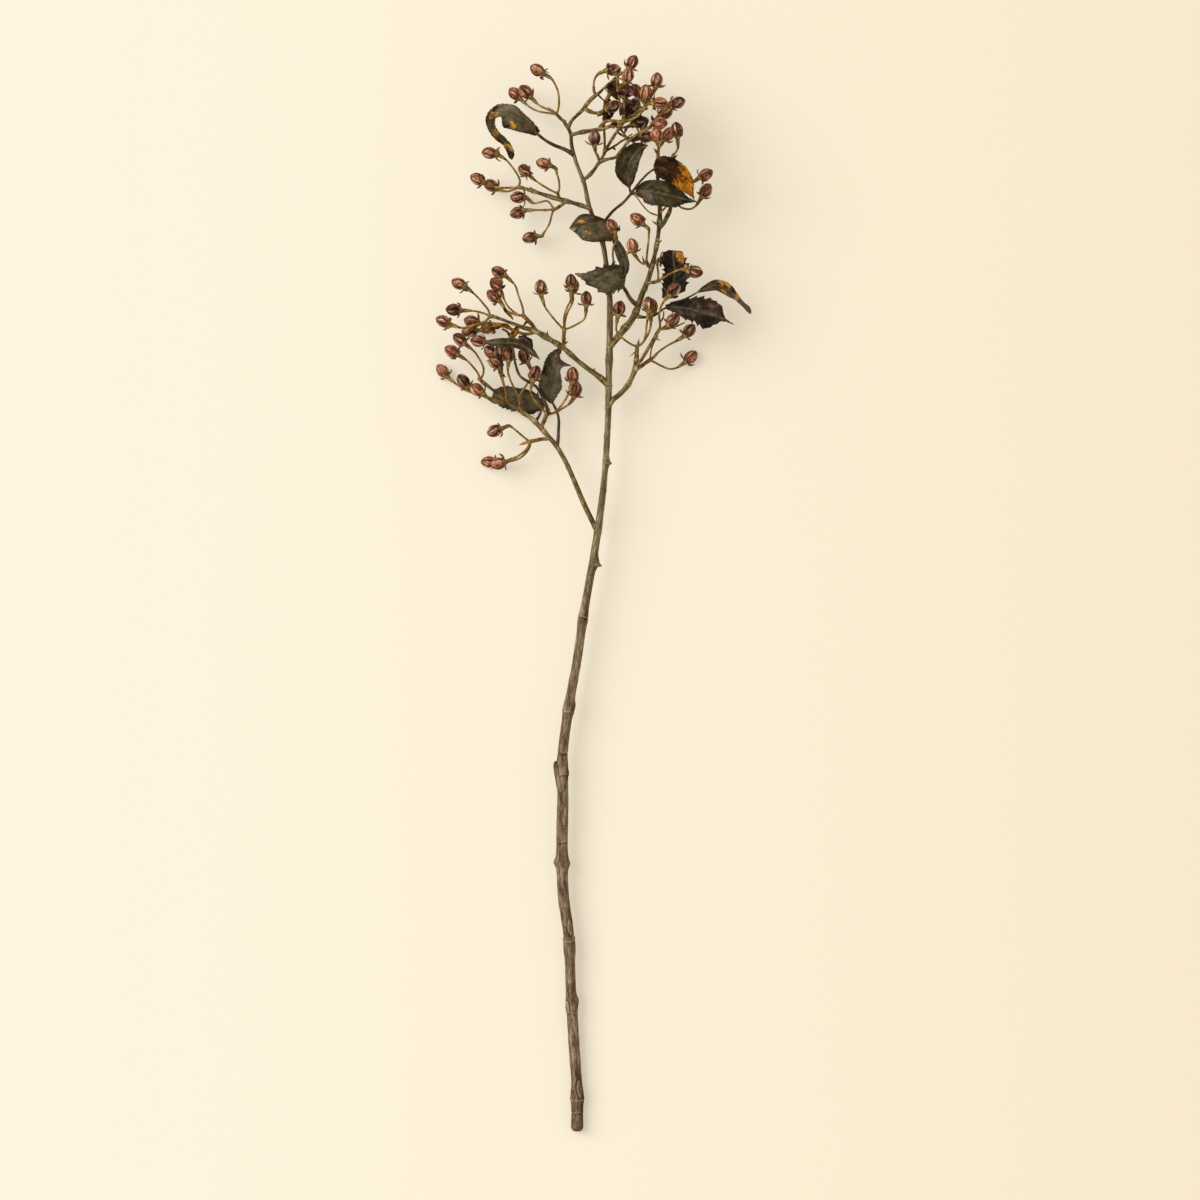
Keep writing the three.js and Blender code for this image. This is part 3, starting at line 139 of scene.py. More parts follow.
class Line:
    """A smooth line through points, read by the distance along it."""

    def __init__(self, points: Sequence[Point]) -> None:
        """Runs a centripetal Catmull-Rom line through the points.

        Args:
            points: Two or more points that the line passes through. Numbers after the third are
                carried along smoothly with it.
        """
        knots = np.array(points, float)
        knots = np.vstack([2 * knots[0] - knots[1], knots, 2 * knots[-1] - knots[-2]])
        t = np.linspace(0, 1, SPAN_POINTS + 1)[:, None]
        runs = []
        for a, b, c, d in zip(knots, knots[1:], knots[2:], knots[3:]):
            gaps = (b - a, c - b, d - c)
            before, span, after = (math.sqrt(np.linalg.norm(gap[:3])) for gap in gaps)
            leave = ((b - a) / before - (c - a) / (before + span) + (c - b) / span) * span
            arrive = ((c - b) / span - (d - b) / (span + after) + (d - c) / after) * span
            curve = b + leave * t + (3 * (c - b) - 2 * leave - arrive) * t ** 2
            curve = curve + (2 * (b - c) + leave + arrive) * t ** 3
            runs.append(curve[:-1])
        self.points = np.vstack([*runs, knots[-2:-1]])
        steps = np.linalg.norm(np.diff(self.points[:, :3], axis=0), axis=1)
        self.reach = np.concatenate([[0], np.cumsum(steps)])

    @property
    def length(self) -> float:
        """The length of the line."""
        return float(self.reach[-1])

    def at(self, distances: Array) -> Array:
        """The points at some distances along the line, with the numbers carried along."""
        return np.stack([np.interp(distances, self.reach, column) for column in self.points.T], -1)

    def ahead(self, distances: Array) -> Array:
        """The directions ahead at some distances along the line."""
        before = np.maximum(distances - LOOK_AROUND, 0)
        after = np.minimum(distances + LOOK_AROUND, self.length)
        return unit(self.at(after)[:, :3] - self.at(before)[:, :3])

    def frames(self, distances: Array) -> tuple[Array, Array, Array, Array]:
        """The line's frames, turned as little as they can be from one to the next.

        Args:
            distances: Rising distances along the line.

        Returns:
            Points, the directions ahead, those to the right and those upward.
        """
        places, ahead = self.at(distances)[:, :3], self.ahead(distances)
        upward = np.zeros_like(ahead)
        last = UP if abs(ahead[0] @ UP) < 0.99 else np.array((0.0, 1.0, 0.0))
        for i, direction in enumerate(ahead):
            last = last - direction * (last @ direction)
            last = last / np.linalg.norm(last)
            upward[i] = last
        return places, ahead, np.cross(ahead, upward), upward

    def distance_of(self, axis: int, value: Array | float) -> Array:
        """The distances at which one coordinate of a line that never turns back has a value."""
        return np.interp(value, self.points[:, axis], self.reach)


class Draft:
    """The skin of one piece while it is being made: points, faces and a value for each point."""

    def __init__(self) -> None:
        """Starts an empty draft."""
        self._points: list[Array] = []
        self._faces: list[tuple[int, ...]] = []
        self._values: list[tuple[int, dict[str, Array]]] = []
        self._count = 0

    def loft(self, rings: Array, **values: Array) -> None:
        """Adds a closed skin over rings of points, with a middle point at each end.

        Args:
            rings: Points as (rings, points round each, 3), anticlockwise as seen from ahead.
            values: For each name, a number or a vector for each point.
        """
        count, round_count = rings.shape[:2]
        ends = np.stack([rings[0].mean(0), rings[-1].mean(0)])
        self._points.append(np.vstack([rings.reshape(-1, 3), ends]))
        kept = {}
        for name, value in values.items():
            flat = np.broadcast_to(value, rings.shape[:2] + value.shape[2:])
            middle = np.stack([flat[0].mean(0), flat[-1].mean(0)])
            kept[name] = np.concatenate([flat.reshape((-1,) + flat.shape[2:]), middle])
        self._values.append((count * round_count + 2, kept))
        index = self._count + np.arange(count * round_count).reshape(count, round_count)
        beside = np.roll(index, -1, axis=1)
        quads = np.stack([index[:-1], index[1:], beside[1:], beside[:-1]], -1).reshape(-1, 4)
        self._faces.extend(map(tuple, quads.tolist()))
        foot, tip = self._count + count * round_count, self._count + count * round_count + 1
        self._faces.extend((foot, a, b) for a, b in zip(index[0].tolist(), beside[0].tolist()))
        self._faces.extend((tip, b, a) for a, b in zip(index[-1].tolist(), beside[-1].tolist()))
        self._count += count * round_count + 2

    def piece(self, name: str, finish: Finish, slot: str, nodes: Sequence[str]) -> bpy.types.Object:
        """Makes the object, dresses it and hands it to the frame.

        Args:
            name: The piece's name.
            finish: What it is dressed in.
            slot: Not used.
            nodes: The solids that it stands for.

        Returns:
            The finished piece.
        """
        mesh = bpy.data.meshes.new(name)
        points = (np.vstack(self._points) - OUTLINE_MIDDLE) * MM
        points[:, 2] = np.maximum(points[:, 2], FLOOR_GAP)
        mesh.from_pydata(points.tolist(), [], self._faces)
        for value_name in sorted({key for _, kept in self._values for key in kept}):
            sample = next(kept[value_name] for _, kept in self._values if value_name in kept)
            empty = sample.shape[1:]
            column = np.concatenate(
                [kept.get(value_name, np.zeros((count, *empty))) for count, kept in self._values]
            )
            vector = bool(empty)
            layer = mesh.attributes.new(value_name, "FLOAT_VECTOR" if vector else "FLOAT", "POINT")
            layer.data.foreach_set("vector" if vector else "value", column.astype(np.float32).ravel())
        mesh.shade_smooth()
        mesh.materials.append(finish.material())
        made = bpy.data.objects.new(name, mesh)
        bpy.context.scene.collection.objects.link(made)
        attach(made, BODY)
        if nodes:
            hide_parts(*nodes)
        log.info("%s: %d faces in %s", name, len(self._faces), finish.name)
        return made


def tube(
    draft: Draft,
    line: Line,
    radius: Callable[[Array, Array], Array],
    step: float,
    sides: int,
    values: Callable[[Array, Array], dict[str, Array]],
) -> None:
    """Adds a round skin along a line.

    Args:
        draft: The piece that it is part of.
        line: The middle of the tube.
        radius: The radius by distance along the line and angle round it.
        step: Distance between two rings.
        sides: Points in each ring.
        values: The named values by distance and angle.
    """
    distances = np.linspace(0, line.length, max(4, round(line.length / step)) + 1)
    places, _, right, upward = line.frames(distances)
    angles = np.arange(sides) * math.tau / sides
    along, around = np.meshgrid(distances, angles, indexing="ij")
    size = radius(along, around)
    outward = np.cos(around)[..., None] * right[:, None] + np.sin(around)[..., None] * upward[:, None]
    rings = places[:, None] + outward * size[..., None]
    grain = np.stack([np.cos(around) * size, np.sin(around) * size, along], -1)
    draft.loft(rings, grain=grain, **values(along, around))


# ---------------------------------------------------------------- named options
class Edge(Enum):
    """How a leaf's margin is cut. The values are the depth and the pitch of its teeth in mm."""

    SMOOTH = (0.15, 2.6)
    FINE = (0.5, 2.2)
    TOOTHED = (1.0, 3.0)
    RAGGED = (2.2, 4.6)


class Tone(Enum):
    """What a berry has dried to. The values are its blush and its shade, from 0 to 1."""

    BRICK = (0.1, 0.1)
    PINK = (0.4, 0.0)
    SALMON = (0.95, 0.0)
    DARK = (0.0, 0.6)
    BLACK = (0.0, 0.95)


class Tint(Enum):
    """What a dry scrap looks like. The values are how rosy, how orange and how dried it is."""

    STRAW = (0.0, 0.0, 0.0)
    ORANGE = (0.0, 1.0, 0.1)
    PINK = (1.0, 0.0, 0.1)
    BROWN = (0.2, 0.0, 0.55)
    WINE = (0.9, 0.0, 0.85)
    BLACK = (0.0, 0.0, 1.0)


class Stain(Enum):
    """What a patch of a leaf has dried to; a pale patch is a painted sheen instead. The value names the
    number that carries it.
    """

    GREEN = "green"
    PURPLE = "purple"
    # a painted sheen: a pale grey patch where light would glance off the leaf
    PALE = "pale"
    OCHRE = "ochre"
    BROWN = "brown"
    BLACK = "black"


class Spread(Enum):
    """How far the sepals stand from the berry: the tips' distances out from its axis and along it in mm."""

    HUGGING = (5.2, 4.2)
    OPEN = (6.1, 2.2)
    BENT_BACK = (4.6, -2.6)


class Mark(Enum):
    """What a mark on bark is."""

    RING = "ring"
    GROOVE = "groove"
    SCALE = "scale"
    KNOB = "knob"
    SLIT = "slit"


# ---------------------------------------------------------------- finishes
def add_node(
    tree: Tree,
    kind: str,
    inputs: dict[int | str, object] | None = None,
    stops: Sequence[tuple[float, str]] = (),
    **settings: object,
) -> bpy.types.Node:
    """Adds a node with its settings and links.

    Args:
        tree: The material's nodes.
        kind: Blender's name for the node.
        inputs: For each input, by name or number, its value or the socket that feeds it.
        stops: For a colour ramp, its positions and colours.
        settings: The node's own settings.

    Returns:
        The new node.
    """
    node = tree.nodes.new(kind)
    for name, value in settings.items():
        setattr(node, name, value)
    if stops:
        elements = node.color_ramp.elements
        elements.remove(elements[1])
        elements[0].position, elements[0].color = stops[0][0], colour(stops[0][1])
        for position, code in stops[1:]:
            elements.new(position).color = colour(code)
    for name, value in (inputs or {}).items():
        if isinstance(value, Socket):
            tree.links.new(value, node.inputs[name])
        else:
            node.inputs[name].default_value = value
    return node


def shaded(
    tree: Tree, value: Socket, shades: Sequence[str]
) -> Socket:
    """A colour that goes from a dark to a middle and a light shade as a value rises."""
    stops = tuple(zip(RAMP_STOPS, shades))
    return add_node(tree, "ShaderNodeValToRGB", {0: value}, stops=stops).outputs[0]


@dataclass(frozen=True)
class Layer:
    """A colour that covers the ground where a value is high, in its dark, middle and light shades."""

    value: str
    shades: tuple[str, str, str]
    ragged: bool = False


@dataclass(frozen=True)
class Finish:
    """A surface of the sprig, named for what it is on the real one.

    Its blotches and its flecks have a width and a length in mm, across and along the grain.
    """

    name: str
    shades: tuple[str, str, str]
    layers: tuple[Layer, ...]
    blotch: tuple[float, float]
    fleck: tuple[float, float]
    flecked: float = 0.45
    net: float = 0.0
    ior: float = 1.45
    shine: float = 0.3
    roughness: tuple[float, float] = (0.5, 0.7)
    relief: float = 0.2

    def material(self) -> bpy.types.Material:
        """Makes the material, or finds the one already made.

        Returns:
            The material.
        """
        if self.name in bpy.data.materials:
            return bpy.data.materials[self.name]
        made = bpy.data.materials.new(self.name)
        made.use_nodes = True
        tree = made.node_tree
        tree.nodes.clear()
        grain = add_node(tree, "ShaderNodeAttribute", attribute_name="grain").outputs["Vector"]
        blotch, fleck = (self._pattern(tree, grain, *size) for size in (self.blotch, self.fleck))
        both = add_node(tree, "ShaderNodeMix", {0: self.flecked, 2: blotch, 3: fleck}).outputs[0]
        low, high = self.roughness
        parts = {"Value": fleck, "From Min": 0.3, "From Max": 0.7, "To Min": low, "To Max": high}
        rough = add_node(tree, "ShaderNodeMapRange", parts)
        parts = {"Distance": self.relief * MM, "Height": self._height(tree, grain, both)}
        bump = add_node(tree, "ShaderNodeBump", parts)
        parts = {"Base Color": self._colour(tree, both), "Roughness": rough.outputs[0], "IOR": self.ior}
        parts |= {"Specular IOR Level": self.shine, "Normal": bump.outputs[0]}
        shader = add_node(tree, "ShaderNodeBsdfPrincipled", parts)
        add_node(tree, "ShaderNodeOutputMaterial", {"Surface": shader.outputs[0]})
        return made

    def _pattern(
        self, tree: Tree, grain: Socket, width: float, length: float
    ) -> Socket:
        """Adds uneven marks of a width and a length in mm, drawn out along the grain."""
        scale = (1 / width, 1 / width, 1 / length)
        drawn = add_node(tree, "ShaderNodeMapping", {"Vector": grain, "Scale": scale}).outputs[0]
        spots = {"Vector": drawn, "Scale": 1.0, "Detail": 4.0, "Roughness": 0.62}
        return add_node(tree, "ShaderNodeTexNoise", spots).outputs[0]

    def _height(
        self, tree: Tree, grain: Socket, both: Socket
    ) -> Socket:
        """The height of the relief: the marks, and the net of fine veins on a leaf."""
        if not self.net:
            return both
        parts = {"Vector": grain, "Scale": 1 / self.net}
        cells = add_node(tree, "ShaderNodeTexVoronoi", parts, feature="DISTANCE_TO_EDGE")
        parts = {0: cells.outputs[0], 1: 0.7, 2: both}
        return add_node(tree, "ShaderNodeMath", parts, operation="MULTIPLY_ADD").outputs[0]

    def _colour(self, tree: Tree, both: Socket) -> Socket:
        """The colour: the ground's shades with each layer's shades over it."""
        base = shaded(tree, both, self.shades)
        for layer in self.layers:
            tint = shaded(tree, both, layer.shades)
            amount = add_node(tree, "ShaderNodeAttribute", attribute_name=layer.value).outputs["Fac"]
            if layer.ragged:
                # blotches and flecks eat into the layer's edge, but it stays off the rest
                parts = {0: both, 1: 4.0, 2: amount}
                eaten = add_node(tree, "ShaderNodeMath", parts, operation="MULTIPLY_ADD").outputs[0]
                reach = {"Value": eaten, "From Min": 2.35, "From Max": 2.6}
                cover = add_node(tree, "ShaderNodeMapRange", reach).outputs[0]
                near = add_node(tree, "ShaderNodeMapRange", {"Value": amount, "From Max": 0.15}).outputs[0]
                parts = {0: cover, 1: near}
                amount = add_node(tree, "ShaderNodeMath", parts, operation="MULTIPLY").outputs[0]
            parts = {0: amount, 6: base, 7: tint}
            base = add_node(tree, "ShaderNodeMix", parts, data_type="RGBA").outputs[2]
        return base


# Outer bark stays dry and scatters nearly all its light, so the stem has no highlight at all.
STEM_BARK = Finish(
    "dry hypericum bark",
    shades=("#463b23", "#77694a", "#b0a17e"),
    layers=(
        Layer("age", ("#47372a", "#745f49", "#ac9982")),
        Layer("root", ("#2e1d12", "#5b4230", "#876d56")),
        Layer("weather", ("#241b09", "#5a4a28", "#9a8a62")),
        # dark scars, with painted shade in grooves, slits and creases, under rings and at knobs' feet
        Layer("scar", ("#0c0704", "#1d130a", "#382717")),
        Layer("pale", ("#8d7c58", "#b3a078", "#cfbf9a")),
    ),
    blotch=(3.0, 16.0),
    fleck=(0.45, 5.0),
    flecked=0.5,
    ior=1.5,
    shine=0.1,
    roughness=(0.66, 0.92),
    relief=0.5,
)
# The green bark of this year's wood is smoother and keeps a faint wax bloom.
TWIG_BARK = Finish(
    "green hypericum twig bark",
    shades=("#33240c", "#6c582e", "#ad9860"),
    layers=(
        Layer("weather", ("#1c1406", "#4f411f", "#85754a")),
        # dark scars and joints, with painted shade under the rings at the joints
        Layer("scar", ("#0e0703", "#24160a", "#43301a")),
        Layer("pale", ("#8f8148", "#bcae70", "#dccf9e")),
    ),
    blotch=(2.2, 7.0),
    fleck=(0.45, 2.6),
    ior=1.5,
    shine=0.2,
    roughness=(0.5, 0.8),
    relief=0.3,
)
# Stalks are waxy, so they keep a soft line of light along the top.
STALK = Finish(
    "waxy berry stalk",
    shades=("#432f0b", "#735624", "#a58a50"),
    layers=(
        Layer("ripe", ("#523602", "#926c10", "#cdae5c")),
        Layer("tip", ("#443209", "#7e672a", "#bba664")),
        Layer("scar", ("#1c0e06", "#40240e", "#6b4520")),
    ),
    blotch=(2.4, 4.5),
    fleck=(0.5, 1.4),
    shine=0.3,
    roughness=(0.35, 0.6),
    relief=0.15,
)
# Shrunken fruit skin is satin; each lobe also carries a painted highlight, a pale streak near its crest.
BERRY = Finish(
    "dried hypericum berry skin",
    shades=("#200400", "#802f0c", "#e29a66"),
    layers=(
        Layer("blush", ("#6a2308", "#c06f3c", "#f6c394")),
        Layer("shade", ("#090200", "#360f02", "#84431e")),
        # the painted highlight: pale streaks along the lobes, and pale tan spots
        Layer("crest", ("#c48c5c", "#efc294", "#fce4c2")),
        # dark furrows, darkened further with painted shade in their hollows
        Layer("furrow", ("#0a0300", "#1b0702", "#3a180a")),
    ),
    blotch=(1.5, 3.2),
    fleck=(0.5, 1.6),
    flecked=0.5,
    shine=0.34,
    roughness=(0.22, 0.42),
    relief=0.3,
)
# Sepals have gone papery, so they stay matt beside the berries.
CALYX = Finish(
    "papery sepals",
    shades=("#3d2a0a", "#806428", "#bda05c"),
    layers=(
        Layer("rosy", ("#5c3420", "#96654a", "#c49a7c")),
        Layer("orange", ("#7a3d08", "#b9701a", "#e0a040")),
        Layer("dried", ("#0e0703", "#27150a", "#4c3018")),
    ),
    blotch=(1.6, 3.0),
    fleck=(0.4, 1.6),
    ior=1.4,
    shine=0.2,
    roughness=(0.5, 0.75),
    relief=0.12,
)
STAINS = (
    Layer(Stain.GREEN.value, ("#1d1a06", "#3a3517", "#59522f")),
    Layer(Stain.PURPLE.value, ("#27160c", "#503729", "#7d6456")),
    # the pale patches' colours: a painted grey sheen
    Layer(Stain.PALE.value, ("#443c26", "#5c5239", "#726850")),
    Layer(Stain.OCHRE.value, ("#6d3d06", "#b57917", "#dfa436"), ragged=True),
    Layer(Stain.BROWN.value, ("#120600", "#281303", "#5c360b"), ragged=True),
    Layer(Stain.BLACK.value, ("#050302", "#120b05", "#2b1d11"), ragged=True),
)
# Withered leaves stay leathery, with a grey sheen where the light grazes them; their pale patches are more of
# that sheen, painted in.
LEAF = Finish(
    "withered hypericum leaf",
    shades=("#1f1706", "#382c12", "#4d4125"),
    layers=(*STAINS, Layer("vein", ("#4a3e25", "#6c5d3e", "#8f7f60"))),
    blotch=(6.0, 10.0),
    fleck=(0.8, 2.0),
    flecked=0.22,
    net=1.1,
    shine=0.22,
    roughness=(0.26, 0.46),
    relief=0.25,
)
# The youngest leaf has turned autumn ochre, with brown veins where it dries first.
OCHRE_LEAF = Finish(
    "ochre autumn leaf",
    shades=("#3c1e03", "#b4700c", "#eba82c"),
    layers=(*STAINS, Layer("vein", ("#2e1c08", "#5a3a10", "#94681e"))),
    blotch=(3.0, 9.0),
    fleck=(0.8, 2.5),
    net=1.1,
    shine=0.12,
    roughness=(0.5, 0.75),
    relief=0.25,
)


# ---------------------------------------------------------------- bark
@dataclass(frozen=True)
class BarkMark:
    """A mark on bark: where along and around it lies, how far it reaches and how high it stands.

    The tables give its numbers in the order of the fields below.
    """

    kind: Mark
    place: float
    angle: float = 90
    length: float = 1.2
    width: float = 1.5
    height: float = 0.3
    slant: float = 0.0
    dark: float = 0.6
    pale: float = 0.0

    def read(self, along: Array, around: Array, size: Array) -> Array:
        """Works out what the mark does to the bark.

        Args:
            along: Distance of each point along the bark in mm.
            around: Angle of each point in radians, 0 to the right and a quarter turn upward.
            size: Radius at each point.

        Returns:
            The height, the darkness and the paleness that it adds at each point. The darkness is a dark scar
            together with painted shade: in grooves and slits, in the crease round a scale, under a ring and
            at a knob's foot.
        """
        turn = wrapped(around - math.radians(self.angle))
        ahead = along - self.place - self.slant * np.cos(turn)
        side = turn * size
        if self.kind is Mark.RING:
            ahead = ahead + 0.35 * self.length * np.sin(3 * turn + self.place)
            ridge = hump(ahead, self.length)
            # painted shadow: a dark line just under the ring, where its ridge would shade the bark
            seam = hump(ahead + self.length, self.length * 0.5)
            seam = seam * (0.75 + 0.25 * np.sin(2 * turn + self.place))
            return self.height * (ridge - 0.5 * seam), self.dark * seam, self.pale * ridge
        if self.kind is Mark.GROOVE:
            ahead = ahead + 0.5 * self.length * np.sin(3 * turn + self.place)
            # the groove's darkness is partly its own colour and partly painted shade in the hollow
            groove, lip = hump(ahead, self.length), hump(ahead - 2 * self.length, self.length)
            return self.height * (0.5 * lip - groove), self.dark * groove, self.pale * lip
        if self.kind is Mark.SCALE:
            inside = 1 - np.abs(side) / self.width - (ahead / self.length) ** 2
            body = smooth(inside, -0.1, 0.7)
            # painted shade in the crease round the scale's rim
            rim, edge = hump(inside + 0.12, 0.22), hump(inside - 0.25, 0.2)
            return self.height * (body - 0.4 * rim), self.dark * rim, self.pale * edge
        reach = hump(np.hypot(ahead / self.length, side / self.width), 1)
        if self.kind is Mark.KNOB:
            # painted shade at the knob's foot
            foot = hump(ahead + self.length, self.length * 0.5) * hump(side, self.width)
            return self.height * reach, self.dark * foot, self.pale * reach
        # a slit is dark inside, partly as painted shade in its hollow
        return -self.height * reach, self.dark * reach, 0 * reach


@dataclass(frozen=True)
class Route:
    """The middle of a branch, its radii spread evenly along it, its swollen joints and its own marks.

    A mark's place is its height up the sprig. The weather is how dark the bark goes towards the top,
    from 0 to 1.
    """

    points: tuple[Point, ...]
    radii: tuple[float, ...]
    swellings: tuple[tuple[float, float], ...]
    marks: tuple[BarkMark, ...] = ()
    weather: float = 0.15

    def line(self) -> Line:
        """The line along its middle."""
        return Line(self.points)


@dataclass(frozen=True)
class Branch:
    """The stem or a branch: a bent tube of bark with its joints, scars and outgrowths."""

    name: str
    route: Route
    finish: Finish
    slot: str
    spikes: tuple[tuple[Point, Point, float, float], ...] = ()
    ringed: bool = True
    joint_length: float = 1.5
    ridge: float = 0.05
    flare: float = 0.3
    rounded: float = 0.0
    step: float = 0.8
    sides: int = 24
    seed: int = 1

    # heights up the sprig in mm, from where to where each look changes
    OLD_BARK = (200, 470)
    REDDER_FOOT = (18, 60)
    WEATHERED_TOP = (520, 640)

    def build(self) -> bpy.types.Object:
        """Makes the whole piece.

        Returns:
            The finished piece.
        """
        draft = Draft()
        line = self.route.line()
        tube(draft, line, self._radius(line), self.step, self.sides, self._values(line))
        for foot, tip, foot_radius, tip_radius in self.spikes:
            spike(draft, foot, tip, foot_radius, tip_radius, self._age(np.array(foot[1])))
        return draft.piece(f"{self.name}_bark", self.finish, self.slot, [self.name])

    def _age(self, y: Array) -> dict[str, Array]:
        """How the bark looks at a height up the sprig: grey-brown with age, redder at the foot."""
        age, root = 1 - smooth(y, *self.OLD_BARK), 0.8 * (1 - smooth(y, *self.REDDER_FOOT))
        return {"age": age, "root": root, "weather": self.route.weather * smooth(y, *self.WEATHERED_TOP)}

    def _size(self, line: Line, along: Array, around: Array) -> Array:
        """The radius without its marks."""
        size = np.interp(along / line.length, np.linspace(0, 1, len(self.route.radii)), self.route.radii)
        for place, swell in self.route.swellings:
            size = size + swell * hump(along - place * line.length, self.joint_length * 2.2)
        size = size + self.flare * np.exp(-along / 2)
        for number, count in enumerate((2, 3, 5, 8)):
            drift = 2.2 * wander(along, 55, self.seed + number)
            size = size + self.ridge * (1.2 - 0.1 * count) * np.cos(count * around + drift)
        size = size + self.ridge * (wander(along, 7, self.seed + 9) + wander(along, 2.6, self.seed + 10))
        inside = np.clip(1 - along / max(self.rounded, 0.001), 0, 1)
        return size * np.sqrt(1 - 0.8 * inside ** 2)

    def _radius(self, line: Line) -> Callable[[Array, Array], Array]:
        """The radius with its marks, by distance and angle."""

        def radius(along: Array, around: Array) -> Array:
            """The radius at each point."""
            size = self._size(line, along, around)
            return size + sum((mark.read(along, around, size)[0] for mark in self._marks(line)), 0 * size)

        return radius

    def _values(self, line: Line) -> Callable[[Array, Array], dict[str, Array]]:
        """The bark's age, its dark marks with their painted shade, and its pale marks, by distance and angle.
        """

        def values(along: Array, around: Array) -> dict[str, Array]:
            """The named values at each point."""
            size = self._size(line, along, around)
            read = [mark.read(along, around, size) for mark in self._marks(line)]
            dark = sum((entry[1] for entry in read), 0 * size)
            pale = sum((entry[2] for entry in read), 0 * size)
            age = self._age(line.at(along.ravel())[:, 1].reshape(along.shape))
            return {**age, "scar": np.clip(dark, 0, 1), "pale": np.clip(pale, 0, 1)}

        return values

    def _marks(self, line: Line) -> list[BarkMark]:
        """Its own marks by their distance along it, and on a branch a ring at each swollen joint."""
        own = [replace(mark, place=float(line.distance_of(1, mark.place))) for mark in self.route.marks]
        # each swollen joint gets a ring with a painted shadow line under it
        look = {"length": self.joint_length * 0.4, "slant": 0.4, "dark": 0.7, "pale": 0.45}
        rings = [
            BarkMark(Mark.RING, place * line.length, height=0.3 * swell, **look)
            for place, swell in self.route.swellings
        ]
        return [*own, *rings] if self.ringed else own


def spike(
    draft: Draft,
    foot: Point,
    tip: Point,
    foot_radius: float,
    tip_radius: float,
    values: dict[str, Array],
) -> None:
    """Adds a short outgrowth with a rounded end: a stub, a thorn or a bud.

    Args:
        draft: The piece that it is part of.
        foot: Where it leaves the piece.
        tip: Where it ends.
        foot_radius: Its radius at the foot.
        tip_radius: Its radius at the tip.
        values: The named values that it has all over.
    """
    line = Line((foot, tip))

    def radius(along: Array, around: Array) -> Array:
        """Falls from the foot to the tip and rounds off there."""
        share = along / line.length
        size = foot_radius + (tip_radius - foot_radius) * share ** 0.8
        rounded = np.sqrt(np.clip(1 - np.clip((share - 0.8) / 0.2, 0, 1) ** 2, 0.04, 1))
        return size * rounded * (1 + 0.08 * np.cos(3 * around + 4 * share))

    def spread(along: Array, around: Array) -> dict[str, Array]:
        """The same values at each point, darker at the tip."""
        flat = {name: np.full_like(along, float(value)) for name, value in values.items()}
        return {**flat, "scar": 0.35 * smooth(along / line.length, 0.6, 1)}

    tube(draft, line, radius, *SPIKE_MESH, spread)


# ---------------------------------------------------------------- leaves
@dataclass(frozen=True)
class Patch:
    """A stain on a leaf, round a place seen from above."""

    stain: Stain
    place: tuple[float, float]
    radius: float


def stained(stain: Stain, *places: Point) -> tuple[Patch, ...]:
    """Patches of one stain, each given by its place seen from above and its radius."""
    return tuple(Patch(stain, (x, y), radius) for x, y, radius in places)


